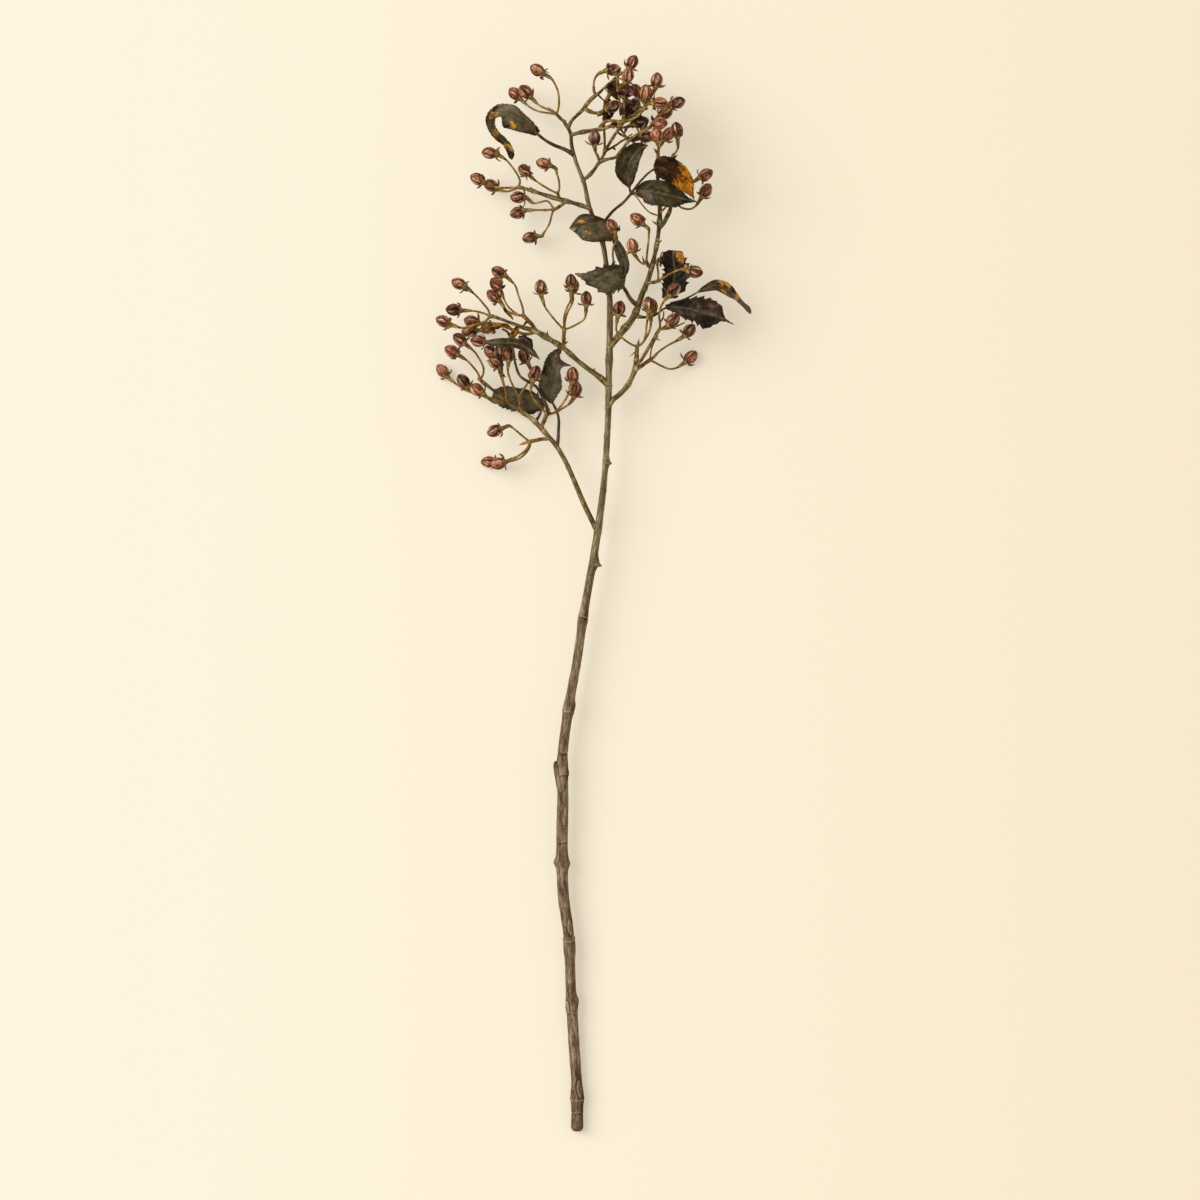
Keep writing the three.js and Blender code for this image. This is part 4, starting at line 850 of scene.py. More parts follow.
@dataclass(frozen=True)
class Leaf:
    """A withered leaf: its blade runs along its midrib.

    Each station of the blade is a point of the midrib, the half widths to its left and its right, and
    how many degrees the blade is rolled there.
    """

    name: str
    blade: tuple[Point, ...]
    edge: Edge
    stalk: tuple[Point, ...] = ()
    stalk_radius: float = 1.0
    cup: float = 0.2
    patches: tuple[Patch, ...] = ()
    replaces: bool = True
    finish: Finish = LEAF
    slot: str = "leaf"

    STALK_STAIN = Stain.PURPLE
    ROW = 0.35
    COLUMNS = 27
    THICKNESS = 0.45
    VEIN_PITCH = 4.6
    VEIN_SLOPE = 0.8
    VEIN_FADE = (1.5, 4)  # half widths in mm, between which the side veins come in
    BUCKLE_FADE = (3, 7)  # the same for the blade's buckles
    RIPPLE_PITCH = 4.5
    BUCKLE_PITCH = 9
    CRUMPLE_PITCH = 3.4

    def build(self) -> bpy.types.Object:
        """Makes the blade and its stalk as one piece.

        Returns:
            The finished piece.
        """
        draft = Draft()
        self._blade(draft)
        if self.stalk:
            self._petiole(draft)
        nodes = [self.name] if self.replaces else []
        return draft.piece(f"{self.name}_dressed", self.finish, self.slot, nodes)

    def _blade(self, draft: Draft) -> None:
        """Adds the blade, as a closed skin with a top and an underside."""
        rng = np.random.default_rng(sum(map(ord, self.name)))
        line = Line(self.blade)
        rows = np.linspace(0, line.length, max(12, round(line.length / self.ROW)))
        stations = line.at(rows)
        places, left, right = stations[:, :3], stations[:, 3], stations[:, 4]
        roll = np.radians(stations[:, 5])
        ahead = line.ahead(rows)
        beside = unit(np.cross(ahead, UP))
        face = np.cross(beside, ahead)
        turn, lift = np.cos(roll)[:, None], np.sin(roll)[:, None]
        beside, face = beside * turn + face * lift, face * turn - beside * lift

        across = np.linspace(1, -1, self.COLUMNS)
        across = np.sign(across) * np.abs(across) ** 0.9
        across = np.concatenate([across, across[-2:0:-1]])
        on_top = np.concatenate([np.ones(self.COLUMNS), -np.ones(self.COLUMNS - 2)])
        on_top[0] = on_top[self.COLUMNS - 1] = 0
        half = np.where(across[None] > 0, right[:, None], left[:, None])
        edge = np.abs(across)[None]
        tooth_depth, pitch = self.edge.value
        phase = rows[:, None] / pitch + 0.37 * np.sign(across)[None]
        phase = phase + 0.5 * wander(rows, 2 * pitch, rng.integers(DRIFTS))[:, None]
        tooth = 1 - (phase - np.floor(phase)) ** 1.6
        uneven = 1 + 0.75 * wander(phase + 9 * np.sign(across)[None], 1, rng.integers(DRIFTS))
        depth = np.minimum(tooth_depth * uneven, 0.35 * half)
        reach = across[None] * half - np.sign(across)[None] * depth * tooth * edge ** 6
        slope = rows[:, None] - self.VEIN_SLOPE * np.abs(reach)
        vein_phase = slope / self.VEIN_PITCH + np.where(across > 0, 0.0, 0.5)[None]
        from_vein = np.abs(vein_phase - np.round(vein_phase)) * self.VEIN_PITCH
        side_vein = hump(from_vein, 0.45) * (1 - edge ** 3) * smooth(half, *self.VEIN_FADE)
        midrib = hump(reach, 0.55) * np.ones_like(half)
        body = smooth(rows, 0, 4)[:, None] * (1 - smooth(rows, line.length - 4, line.length))[:, None]
        relief = 0.22 * (1 - hump(from_vein, 1.1)) * body * smooth(half, *self.VEIN_FADE) * (1 - edge ** 2)
        relief = relief - 0.25 * midrib * on_top
        ripples = [wander(rows, self.RIPPLE_PITCH, rng.integers(DRIFTS))[:, None] for _ in range(2)]
        ripple = np.where(across > 0, *ripples) * edge ** 2 * smooth(half, 2, 6)
        cupped = self.cup * half * edge ** 1.15
        wide = smooth(half, *self.BUCKLE_FADE)
        buckle = wander(rows, self.BUCKLE_PITCH, rng.integers(DRIFTS))[:, None] * edge * wide
        slanting = rows[:, None] + 1.7 * reach
        crumple = 0.35 * wander(slanting, self.CRUMPLE_PITCH, rng.integers(DRIFTS)) * wide
        height = (relief + ripple + cupped + buckle + crumple * (1 - edge ** 4)) * np.ones_like(half)
        skin = 0.5 * self.THICKNESS * (1.2 - 0.5 * edge + 0.5 * hump(reach, 0.8)) * on_top[None]
        points = places[:, None] + beside[:, None] * reach[..., None]
        points = points + face[:, None] * (height + skin)[..., None]
        along = np.broadcast_to(rows[:, None], half.shape)
        grain = np.stack([reach, 0.6 * on_top[None] + 0 * reach, along], -1)
        values = self._stains(points, ahead, rows, reach, edge, rng)
        dried = 0.4 * edge ** 10 * (1 + wander(rows, 3, rng.integers(DRIFTS)))[:, None]
        values[Stain.BLACK.value] = np.maximum(values[Stain.BLACK.value], dried)
        vein = np.clip(0.75 * midrib + 0.2 * side_vein, 0, 1)
        draft.loft(points, grain=grain, vein=vein, **values)

    def _stains(
        self,
        points: Array,
        ahead: Array,
        rows: Array,
        reach: Array,
        edge: Array,
        rng: np.random.Generator,
    ) -> dict[str, Array]:
        """Works out how much each stain covers each point of the blade.

        Args:
            points: The blade's points, by row and column.
            ahead: The direction ahead in each row.
            rows: The distance of each row along the midrib.
            reach: How far each point lies out from the midrib.
            edge: How near each column is to the margin, from 0 to 1.
            rng: What draws the patches' outlines.

        Returns:
            The cover of each stain by its name, from 0 to 1.
        """
        values = {stain.value: np.zeros_like(reach) for stain in Stain}
        for patch in self.patches:
            away = points[..., :2] - np.array(patch.place)
            forward = (away * ahead[:, None, :2]).sum(-1)
            away = np.hypot(0.7 * forward, np.sqrt(np.maximum((away ** 2).sum(-1) - forward ** 2, 0)))
            uneven = wander(rows[:, None] + 2.3 * reach, 0.8 * patch.radius, rng.integers(DRIFTS))
            uneven = uneven + 0.8 * wander(1.3 * rows[:, None] - 2.1 * reach, 1.5, rng.integers(DRIFTS))
            cover = 1 - smooth(away / patch.radius + 0.4 * uneven, 0.2, 1.5)
            if patch.stain is Stain.OCHRE:
                cover = cover * (0.55 + 0.45 * edge)
            values[patch.stain.value] = np.maximum(values[patch.stain.value], cover)
        return values

    def _petiole(self, draft: Draft) -> None:
        """Adds the stalk, which runs a little way into the blade."""
        line = Line(self.stalk)

        def radius(along: Array, around: Array) -> Array:
            """Thick at the foot, with a shallow groove along the top."""
            share = along / line.length
            size = self.stalk_radius * (1.25 - 0.5 * share + 0.4 * np.exp(-along / 1.2))
            size = size * (1 + 0.06 * wander(along, 3, 5))
            return size - 0.12 * self.stalk_radius * hump(around - math.pi / 2, 0.5)

        def values(along: Array, around: Array) -> dict[str, Array]:
            """A stalk is stained all along, and paler in its groove."""
            groove = 0.35 * hump(around - math.pi / 2, 0.6)
            return {"vein": groove, self.STALK_STAIN.value: np.ones_like(along)}

        tube(draft, line, radius, *TWIG_MESH, values)


# ---------------------------------------------------------------- berry sprays
@dataclass(frozen=True)
class Twig:
    """A spray's own thick stalk. One that carries on a branch starts at its end."""

    points: tuple[Point, ...]
    radius: float
    after: str = ""

    JOINT = 0.52  # how far along it its joint is

    def line(self) -> Line:
        """The line along its middle."""
        start = ROUTES[self.after].points[-1:] if self.after else ()
        return Line((*start, *self.points))

    def add(self, draft: Draft, seed: int) -> None:
        """Adds the twig, thicker at both ends, where stalks and branches join it.

        Args:
            draft: The piece that it is part of.
            seed: Which unevenness it has.
        """
        line = self.line()

        def radius(along: Array, around: Array) -> Array:
            """The radius at each point."""
            share = 2 * along / line.length - 1
            size = self.radius * (1.05 + 0.2 * share ** 4 + 0.05 * wander(along, 2.5, seed))
            joint = 0.22 * hump(along - line.length * self.JOINT, 0.5)
            return size * (1 + 0.04 * np.cos(3 * around + along)) + joint

        def values(along: Array, around: Array) -> dict[str, Array]:
            """A twig is as green as a stalk's root, with a darker ring at its joint."""
            joint = hump(along - line.length * self.JOINT + 0.7, 0.4)
            return {"ripe": np.full_like(along, 0.25), "scar": 0.8 * joint}

        tube(draft, line, radius, *TWIG_MESH, values)


def petal(
    draft: Draft,
    bends: tuple[Array, Array, Array],
    side: Array,
    half_width: float,
    twist: float,
    dried: float,
    **values: float,
) -> None:
    """Adds a narrow closed blade that bends and twists to a point, as sepals and bracts do.

    Args:
        draft: The piece that it is part of.
        bends: Its foot, the point that it bends towards, and its tip.
        side: The direction across it at its foot.
        half_width: Half its width where it is widest.
        twist: How far it is twisted at its tip, in radians.
        dried: How far from the tip it has dried, from 0 to 1, where all of it is dark.
        values: Named values that it has all over.
    """
    start, bend, tip = bends
    rings, sides = PETAL_MESH
    t = np.linspace(0, 1, rings)[:, None]
    places = start * (1 - t) ** 2 + bend * 2 * t * (1 - t) + tip * t ** 2
    ahead = unit(np.gradient(places, axis=0))
    side = unit(side - ahead * (ahead @ side)[:, None])
    thick = unit(np.cross(ahead, side))
    turn, lift = np.cos(t * twist), np.sin(t * twist)
    side, thick = side * turn + thick * lift, thick * turn - side * lift
    wide = half_width * np.interp(t[:, 0], (0, 0.3, 0.65, 1), (0.95, 1.0, 0.72, 0.08))
    turn = -np.arange(sides) * math.tau / sides
    across, through = np.cos(turn), np.sin(turn)
    flat = across[None, :, None] * side[:, None] * wide[:, None, None]
    deep = through[None, :, None] * thick[:, None] * (0.2 + 0.1 * (1 - t))[:, None]
    keel = thick[:, None] * (0.3 * across[None, :, None] ** 2 * wide[:, None, None])
    edge = 0.6 * np.abs(across)[None] ** 3
    dry = np.clip(np.maximum(smooth(t, 1 - dried, 1.15), dried ** 3) + edge * smooth(t, 0, 0.4), 0, 1)
    grain = (across[None] * wide[:, None], through[None] + 7 * start[:1] + 0 * t, 6 * t + 0 * edge)
    named = {name: np.full_like(dry, value) for name, value in values.items()}
    draft.loft(places[:, None] + flat + deep + keel, grain=np.stack(grain, -1), dried=dry, **named)


@dataclass(frozen=True)
class Berry:
    """A berry on its stalk.

    The heading of its tip is in degrees from the right, and its rise in degrees above level. The stalk
    starts at a point with a height, and its other bends are given as seen from above. The sepals are
    the tips, as seen from above, of those whose place is known.
    """

    middle: Point
    heading: float
    rise: float
    stalk: tuple[Point, ...]
    tone: Tone = Tone.BRICK
    split: bool = False
    spread: Spread = Spread.OPEN
    sepals: tuple[Point, ...] = ()

    WIDTH = 8.4
    LENGTH = 10.4
    LOBES = 5
    SEPALS = 5
    COLUMNS = 48
    RINGS = 24
    STALK_RADIUS = 0.74
    SWOLLEN_RADIUS = 1.5
    SWOLLEN_LENGTH = 6.5
    CREASES = 5
    TAN_SPOTS = 4
    SEPAL_REACH = (4.6, 6.4)
    SEPAL_LENGTH = 5.8
    WIDE_GAP = 3.4  # radians, where two sepals are still to come
    CALYX_SEED = 7
    STALK_SEED = 3

    @property
    def seed(self) -> int:
        """Which unevenness it has."""
        return int(1000 + 10 * abs(self.middle[0]) + self.middle[1])

    def axis(self) -> Array:
        """The direction from its foot to its tip."""
        heading, rise = math.radians(self.heading), math.radians(self.rise)
        level = math.cos(rise)
        return np.array((math.cos(heading) * level, math.sin(heading) * level, math.sin(rise)))

    def foot(self) -> Array:
        """Where the stalk meets the berry."""
        return np.array(self.middle) - self.axis() * self.LENGTH / 2

    def stand(self) -> tuple[Array, Array]:
        """The directions to its right and upward, for someone who looks at it from its tip.

        Returns:
            The two directions.
        """
        axis = self.axis()
        upward = unit(UP - axis * (UP @ axis))
        return np.cross(axis, upward), upward

    def outline(self, share: Array) -> Array:
        """Its radius, by how far along it a place is from 0 to 1."""
        round_ = np.sqrt(np.clip(1 - (2 * share - 1) ** 2, 0, 1))
        ends = 0.12 * smooth(share, 0.5, 1), 0.06 * smooth(share, 0.35, 0)
        return self.WIDTH / 2 * round_ ** 0.86 * (1.02 - ends[0] - ends[1])

    def add_fruit(self, draft: Draft) -> None:
        """Adds the berry: uneven lobes wrapped side by side, with furrows between them that hold painted
        shade, and painted highlight streaks along the lobes.

        Args:
            draft: The piece that it is part of.
        """
        rng = np.random.default_rng(self.seed)
        size = rng.uniform(0.95, 1.03)
        share = (1 - np.cos(np.linspace(0.06, 0.985, self.RINGS) * math.pi)) / 2
        angles = np.arange(self.COLUMNS) * math.tau / self.COLUMNS
        u, turn = np.meshgrid(share, angles, indexing="ij")
        radius = self.outline(u) * size
        furrow, crest = np.zeros_like(radius), np.zeros_like(radius)
        twist = rng.uniform(-0.8, 0.8) * (0.3 if self.split else 1)
        first = math.pi / 2 + (rng.uniform(-0.15, 0.15) if self.split else rng.uniform(0.3, 0.9))
        relief, browned = np.zeros_like(radius), np.zeros_like(radius)
        for lobe in range(self.LOBES):
            bold = self.split and lobe == 0
            place = first + lobe * math.tau / self.LOBES + (0 if bold else rng.uniform(-0.3, 0.3))
            bend = twist * (u - 0.5) + 0.13 * wander(10 * u, 3, rng.integers(DRIFTS))
            away = wrapped(turn - place - bend)
            middle = wrapped(away - math.pi / self.LOBES)
            browned = browned + rng.uniform(-0.25, 0.55) * hump(middle, 0.5)
            side = away * np.maximum(radius, 1.2)
            fade = smooth(u, 0.02, 0.16) * (1 - smooth(u, rng.uniform(0.84, 0.93), 0.99))
            width = rng.uniform(0.3, 0.62) * (1.7 if bold else 1)
            width = width * (0.65 + 0.6 * hump(u - rng.uniform(0.35, 0.65), 0.3))
            deep = 1.0 if bold else rng.uniform(0.45, 0.8)
            relief = relief - deep * hump(side / width, 1) * fade + 0.25 * hump(side - 1.3, 0.8) * fade
            # each furrow is dark, with painted shade laid into it as well
            dark = 1.3 if bold else rng.uniform(0.55, 1.2)
            furrow = np.maximum(furrow, np.minimum(1.1 * dark * hump(side / width, 1.25) * fade, 1))
            # a painted highlight: a pale streak beside the furrow, along the lobe's crest
            highlight_streak = hump(side - rng.uniform(0.9, 1.7), rng.uniform(0.3, 0.55))
            highlight_streak = highlight_streak * hump(u - rng.uniform(0.4, 0.7), rng.uniform(0.16, 0.3))
            crest = np.maximum(crest, np.minimum(rng.uniform(0.4, 1.5) * highlight_streak, 1))
        # fine creases: shallow dips, darkened with painted shade
        for _ in range(self.CREASES):
            away = wrapped(turn - rng.uniform(0, math.tau) - twist * (u - 0.5))
            crease = hump(away * np.maximum(radius, 1.2), 0.24)
            crease = crease * hump(u - rng.uniform(0.3, 0.7), rng.uniform(0.1, 0.25))
            relief = relief - 0.16 * crease
            furrow = np.maximum(furrow, rng.uniform(0.35, 0.75) * crease)
        # pale tan spots, laid into the painted highlight
        for _ in range(self.TAN_SPOTS):
            away = wrapped(turn - rng.uniform(0, math.tau))
            tan_spot = hump(np.hypot(away * radius, 10 * (u - rng.uniform(0.3, 0.85))), rng.uniform(0.7, 1.5))
            crest = np.maximum(crest, rng.uniform(0.2, 0.8) * tan_spot)
        radius = radius + relief
        nub = smooth(u, 0.955, 1)
        furrow = np.maximum(furrow, 0.95 * nub)
        right, upward = self.stand()
        lift = self.LENGTH * size * u - 0.15 * relief + 0.35 * nub
        outward = np.cos(turn)[..., None] * right + np.sin(turn)[..., None] * upward
        points = self.foot() + self.axis() * lift[..., None] + outward * radius[..., None]
        grain = np.stack([np.cos(turn) * radius + self.seed % 97, np.sin(turn) * radius, lift], -1)
        blush, shade = self.tone.value
        ripened = 0.25 * np.sin(turn + rng.uniform(0, 6)) * smooth(u, 0, 0.5)
        blush = np.clip(blush + ripened + rng.uniform(-0.12, 0.12), 0, 1)
        dull = 0.3 * hump((turn - rng.uniform(0, 6)) % math.tau - math.pi, 0.8)
        dull = dull + 0.45 * (1 - smooth(u, 0.0, 0.25)) + 0.3 * smooth(u, 0.75, 0.95)
        shade = np.clip(shade + dull + browned + rng.uniform(-0.08, 0.1), 0, 1)
        draft.loft(points, grain=grain, blush=blush, shade=shade, furrow=furrow, crest=crest)

    def add_calyx(self, draft: Draft) -> None:
        """Adds the cup under the berry and its five sepals.

        Args:
            draft: The piece that it is part of.
        """
        rng = np.random.default_rng(self.seed + self.CALYX_SEED)
        foot, axis = self.foot(), self.axis()
        right, upward = self.stand()
        cup = Line((foot - axis * 1.8, foot + axis * 1.3))

        def radius(along: Array, around: Array) -> Array:
            """Widens from the stalk to the ring of sepals."""
            return 1.4 + 1.6 * smooth(along, 0.2, 3.2) + 0.16 * np.cos(5 * around) * smooth(along, 1, 3)

        tube(draft, cup, radius, *CUP_MESH, lambda along, _: {"dried": 0.55 * hump(along - 0.5, 0.4)})
        tips, angles = [], []
        nearest, furthest = self.SEPAL_REACH
        for x, y in self.sepals:
            flat = np.array((x, y, foot[2])) - foot
            distance = np.linalg.norm(flat)
            reach = np.clip(distance, nearest, furthest)
            level = min(distance, self.SEPAL_LENGTH)
            height = math.sqrt(max(self.SEPAL_LENGTH ** 2 - level ** 2, 0)) * 0.6
            shorter = distance / reach if distance < nearest else 1
            tip = foot + flat / distance * reach * shorter + UP * height
            tips.append(tip)
            angles.append(math.atan2((tip - foot) @ upward, (tip - foot) @ right))
        out, up = self.spread.value
        while len(tips) < self.SEPALS:
            order = sorted(a % math.tau for a in angles)
            if order:
                gaps = [(b - a, a) for a, b in zip(order, [*order[1:], order[0] + math.tau])]
                gap, start = max(gaps)
                angle = start + gap / (2 if gap < self.WIDE_GAP else 3)
            else:
                angle = rng.uniform(0, math.tau)
            reach, lift = out + rng.uniform(-1.0, 1.4), up + rng.uniform(-1.6, 1.8)
            outward = math.cos(angle) * right + math.sin(angle) * upward
            tips.append(foot + outward * reach + axis * lift)
            angles.append(angle)
        for tip, angle in zip(tips, angles):
            self._sepal(draft, tip, angle, rng)

    def _sepal(self, draft: Draft, tip: Array, angle: float, rng: np.random.Generator) -> None:
        """Adds one sepal, as a narrow closed blade from the cup to its tip."""
        axis = self.axis()
        right, upward = self.stand()
        outward = math.cos(angle) * right + math.sin(angle) * upward
        start = self.foot() + outward * 2.1 + axis * 0.5
        bend = self.foot() + outward * rng.uniform(3.4, 4.6) + axis * rng.uniform(-0.6, 1.1)
        # a drying sepal twists, so most of them show some of their face
        twist = rng.uniform(0.6, 1.6) * rng.choice((-1, 1))
        dried, rosy = rng.uniform(0.15, 0.9), rng.uniform(0.3, 1) * (rng.uniform() < 0.5)
        side = unit(np.cross(axis, outward))
        petal(draft, (start, bend, tip), side, rng.uniform(1.05, 1.55), twist, dried, rosy=rosy)

    def stalk_line(self) -> Line:
        """The line along its stalk, whose height changes evenly from its start to the berry."""
        foot = self.foot()
        plan = np.array([self.stalk[0][:2], *self.stalk[1:], foot[:2]], float)
        reach = np.concatenate([[0], np.cumsum(np.linalg.norm(np.diff(plan, axis=0), axis=1))])
        heights = np.interp(reach, (0, reach[-1]), (self.stalk[0][2], foot[2]))
        points = np.column_stack([plan, heights])
        points[-1] = foot - self.axis() * 0.6
        return Line([tuple(point) for point in points])

    def add_stalk(self, draft: Draft) -> None:
        """Adds the stalk: thin, then swollen from a small brown joint up to the berry.

        Args:
            draft: The piece that it is part of.
        """
        rng = np.random.default_rng(self.seed + self.STALK_SEED)
        line = self.stalk_line()
        swollen = min(self.SWOLLEN_LENGTH * rng.uniform(0.85, 1.15), 0.6 * line.length)
        drift = rng.integers(DRIFTS)

        def radius(along: Array, around: Array) -> Array:
            """The radius at each point."""
            left = line.length - along
            size = self.STALK_RADIUS * (1 + 0.35 * np.exp(-along / 1.5) + 0.07 * wander(along, 3, drift))
            size = size + 0.22 * hump(left - swollen, 0.55)
            grown = smooth(left, swollen, 0.62 * swollen) * 0.82 + 0.18 * smooth(left, 0.5 * swollen, 0)
            lobed = 0.04 * grown * np.cos(5 * around)
            return size + (self.SWOLLEN_RADIUS - self.STALK_RADIUS) * grown + lobed

        def values(along: Array, around: Array) -> dict[str, Array]:
            """How ripe the stalk is, and its brown joint."""
            left = line.length - along
            ripe = smooth(along / line.length, 0, 0.3)
            joint = 0.85 * hump(left - swollen - 0.2, 0.5) + 0.4 * hump(left - 1.4, 0.5)
            return {"ripe": ripe, "tip": 0.9 * smooth(left, swollen, 0.6 * swollen), "scar": joint}

        tube(draft, line, radius, *STALK_MESH, values)


@dataclass(frozen=True)
class Spray:
    """A cluster of berries with their stalks, the twigs that these grow from, and its buds."""

    name: str
    twigs: tuple[Twig, ...]
    berries: tuple[Berry, ...]
    buds: tuple[tuple[Point, Point], ...] = ()

    BUD_RADII = (1.1, 0.4)

    def build(self) -> list[bpy.types.Object]:
        """Makes the stalks, the berries and the calyces.

        Returns:
            The three finished pieces.
        """
        stalks, fruit, calyces = Draft(), Draft(), Draft()
        for number, twig in enumerate(self.twigs):
            twig.add(stalks, number + len(self.name))
        for foot, tip in self.buds:
            spike(stalks, foot, tip, *self.BUD_RADII, {"ripe": np.array(0.1)})
        for berry in self.berries:
            berry.add_stalk(stalks)
            berry.add_fruit(fruit)
            berry.add_calyx(calyces)
        return [
            stalks.piece(f"{self.name}_stalks", STALK, "twig", [self.name]),
            fruit.piece(f"{self.name}_berries", BERRY, "berry", [self.name]),
            calyces.piece(f"{self.name}_calyces", CALYX, "twig", [self.name]),
        ]


@dataclass(frozen=True)
class Scrap:
    """Something small and dry that clings to a twig: a bract, a bud or a loose stalk.

    Its line is given as seen from above, and its foot lies on the twig that is nearest there.
    """

    plan: tuple[tuple[float, float], ...]
    half_width: float = 0.8
    tint: Tint = Tint.BROWN
    rise: float = 1.5

    def add(self, draft: Draft, lines: Sequence[Line], seed: int) -> None:
        """Adds the scrap. One with more than two points is a loose stalk.

        Args:
            draft: The piece that it is part of.
            lines: The middles of the twigs and stalks.
            seed: Which unevenness it has.
        """
        foot, end = (self._rest(lines, place) for place in (self.plan[0], self.plan[-1]))
        rosy, orange, dried = self.tint.value
        if len(self.plan) > 2:
            heights = np.linspace(foot[2], end[2] + self.rise, len(self.plan))
            line = Line([tuple(foot), *((x, y, z) for (x, y), z in zip(self.plan[1:], heights[1:]))])

            def values(along: Array, around: Array) -> dict[str, Array]:
                """The same tint all along."""
                named = {"rosy": rosy, "orange": orange, "dried": dried}
                return {name: np.full_like(along, value) for name, value in named.items()}

            def radius(along: Array, around: Array) -> Array:
                """A little uneven, and thinner at the end."""
                return self.half_width * (1.1 - 0.4 * along / line.length + 0.12 * wander(along, 2, seed))

            tube(draft, line, radius, *LOOSE_STALK_MESH, values)
            return
        rng = np.random.default_rng(seed)
        tip = np.array((*self.plan[-1], foot[2] + self.rise))
        bend = (foot + tip) / 2 + UP * (0.5 + 0.3 * self.rise)
        side = unit(np.cross(tip - foot, UP))
        twist = rng.uniform(-0.9, 0.9)
        petal(draft, (foot, bend, tip), side, self.half_width, twist, dried, rosy=rosy, orange=orange)

    @staticmethod
    def _rest(lines: Sequence[Line], place: tuple[float, float]) -> Array:
        """The point that is nearest to a place seen from above, on the highest of the lines that pass it."""
        found = []
        for line in lines:
            away = np.linalg.norm(line.points[:, :2] - np.array(place), axis=1)
            found.append((float(away.min()), line.points[away.argmin(), :3]))
        nearest = min(away for away, _ in found)
        passing = (point for away, point in found if away < nearest + 0.8)
        return max(passing, key=lambda point: point[2]).copy()


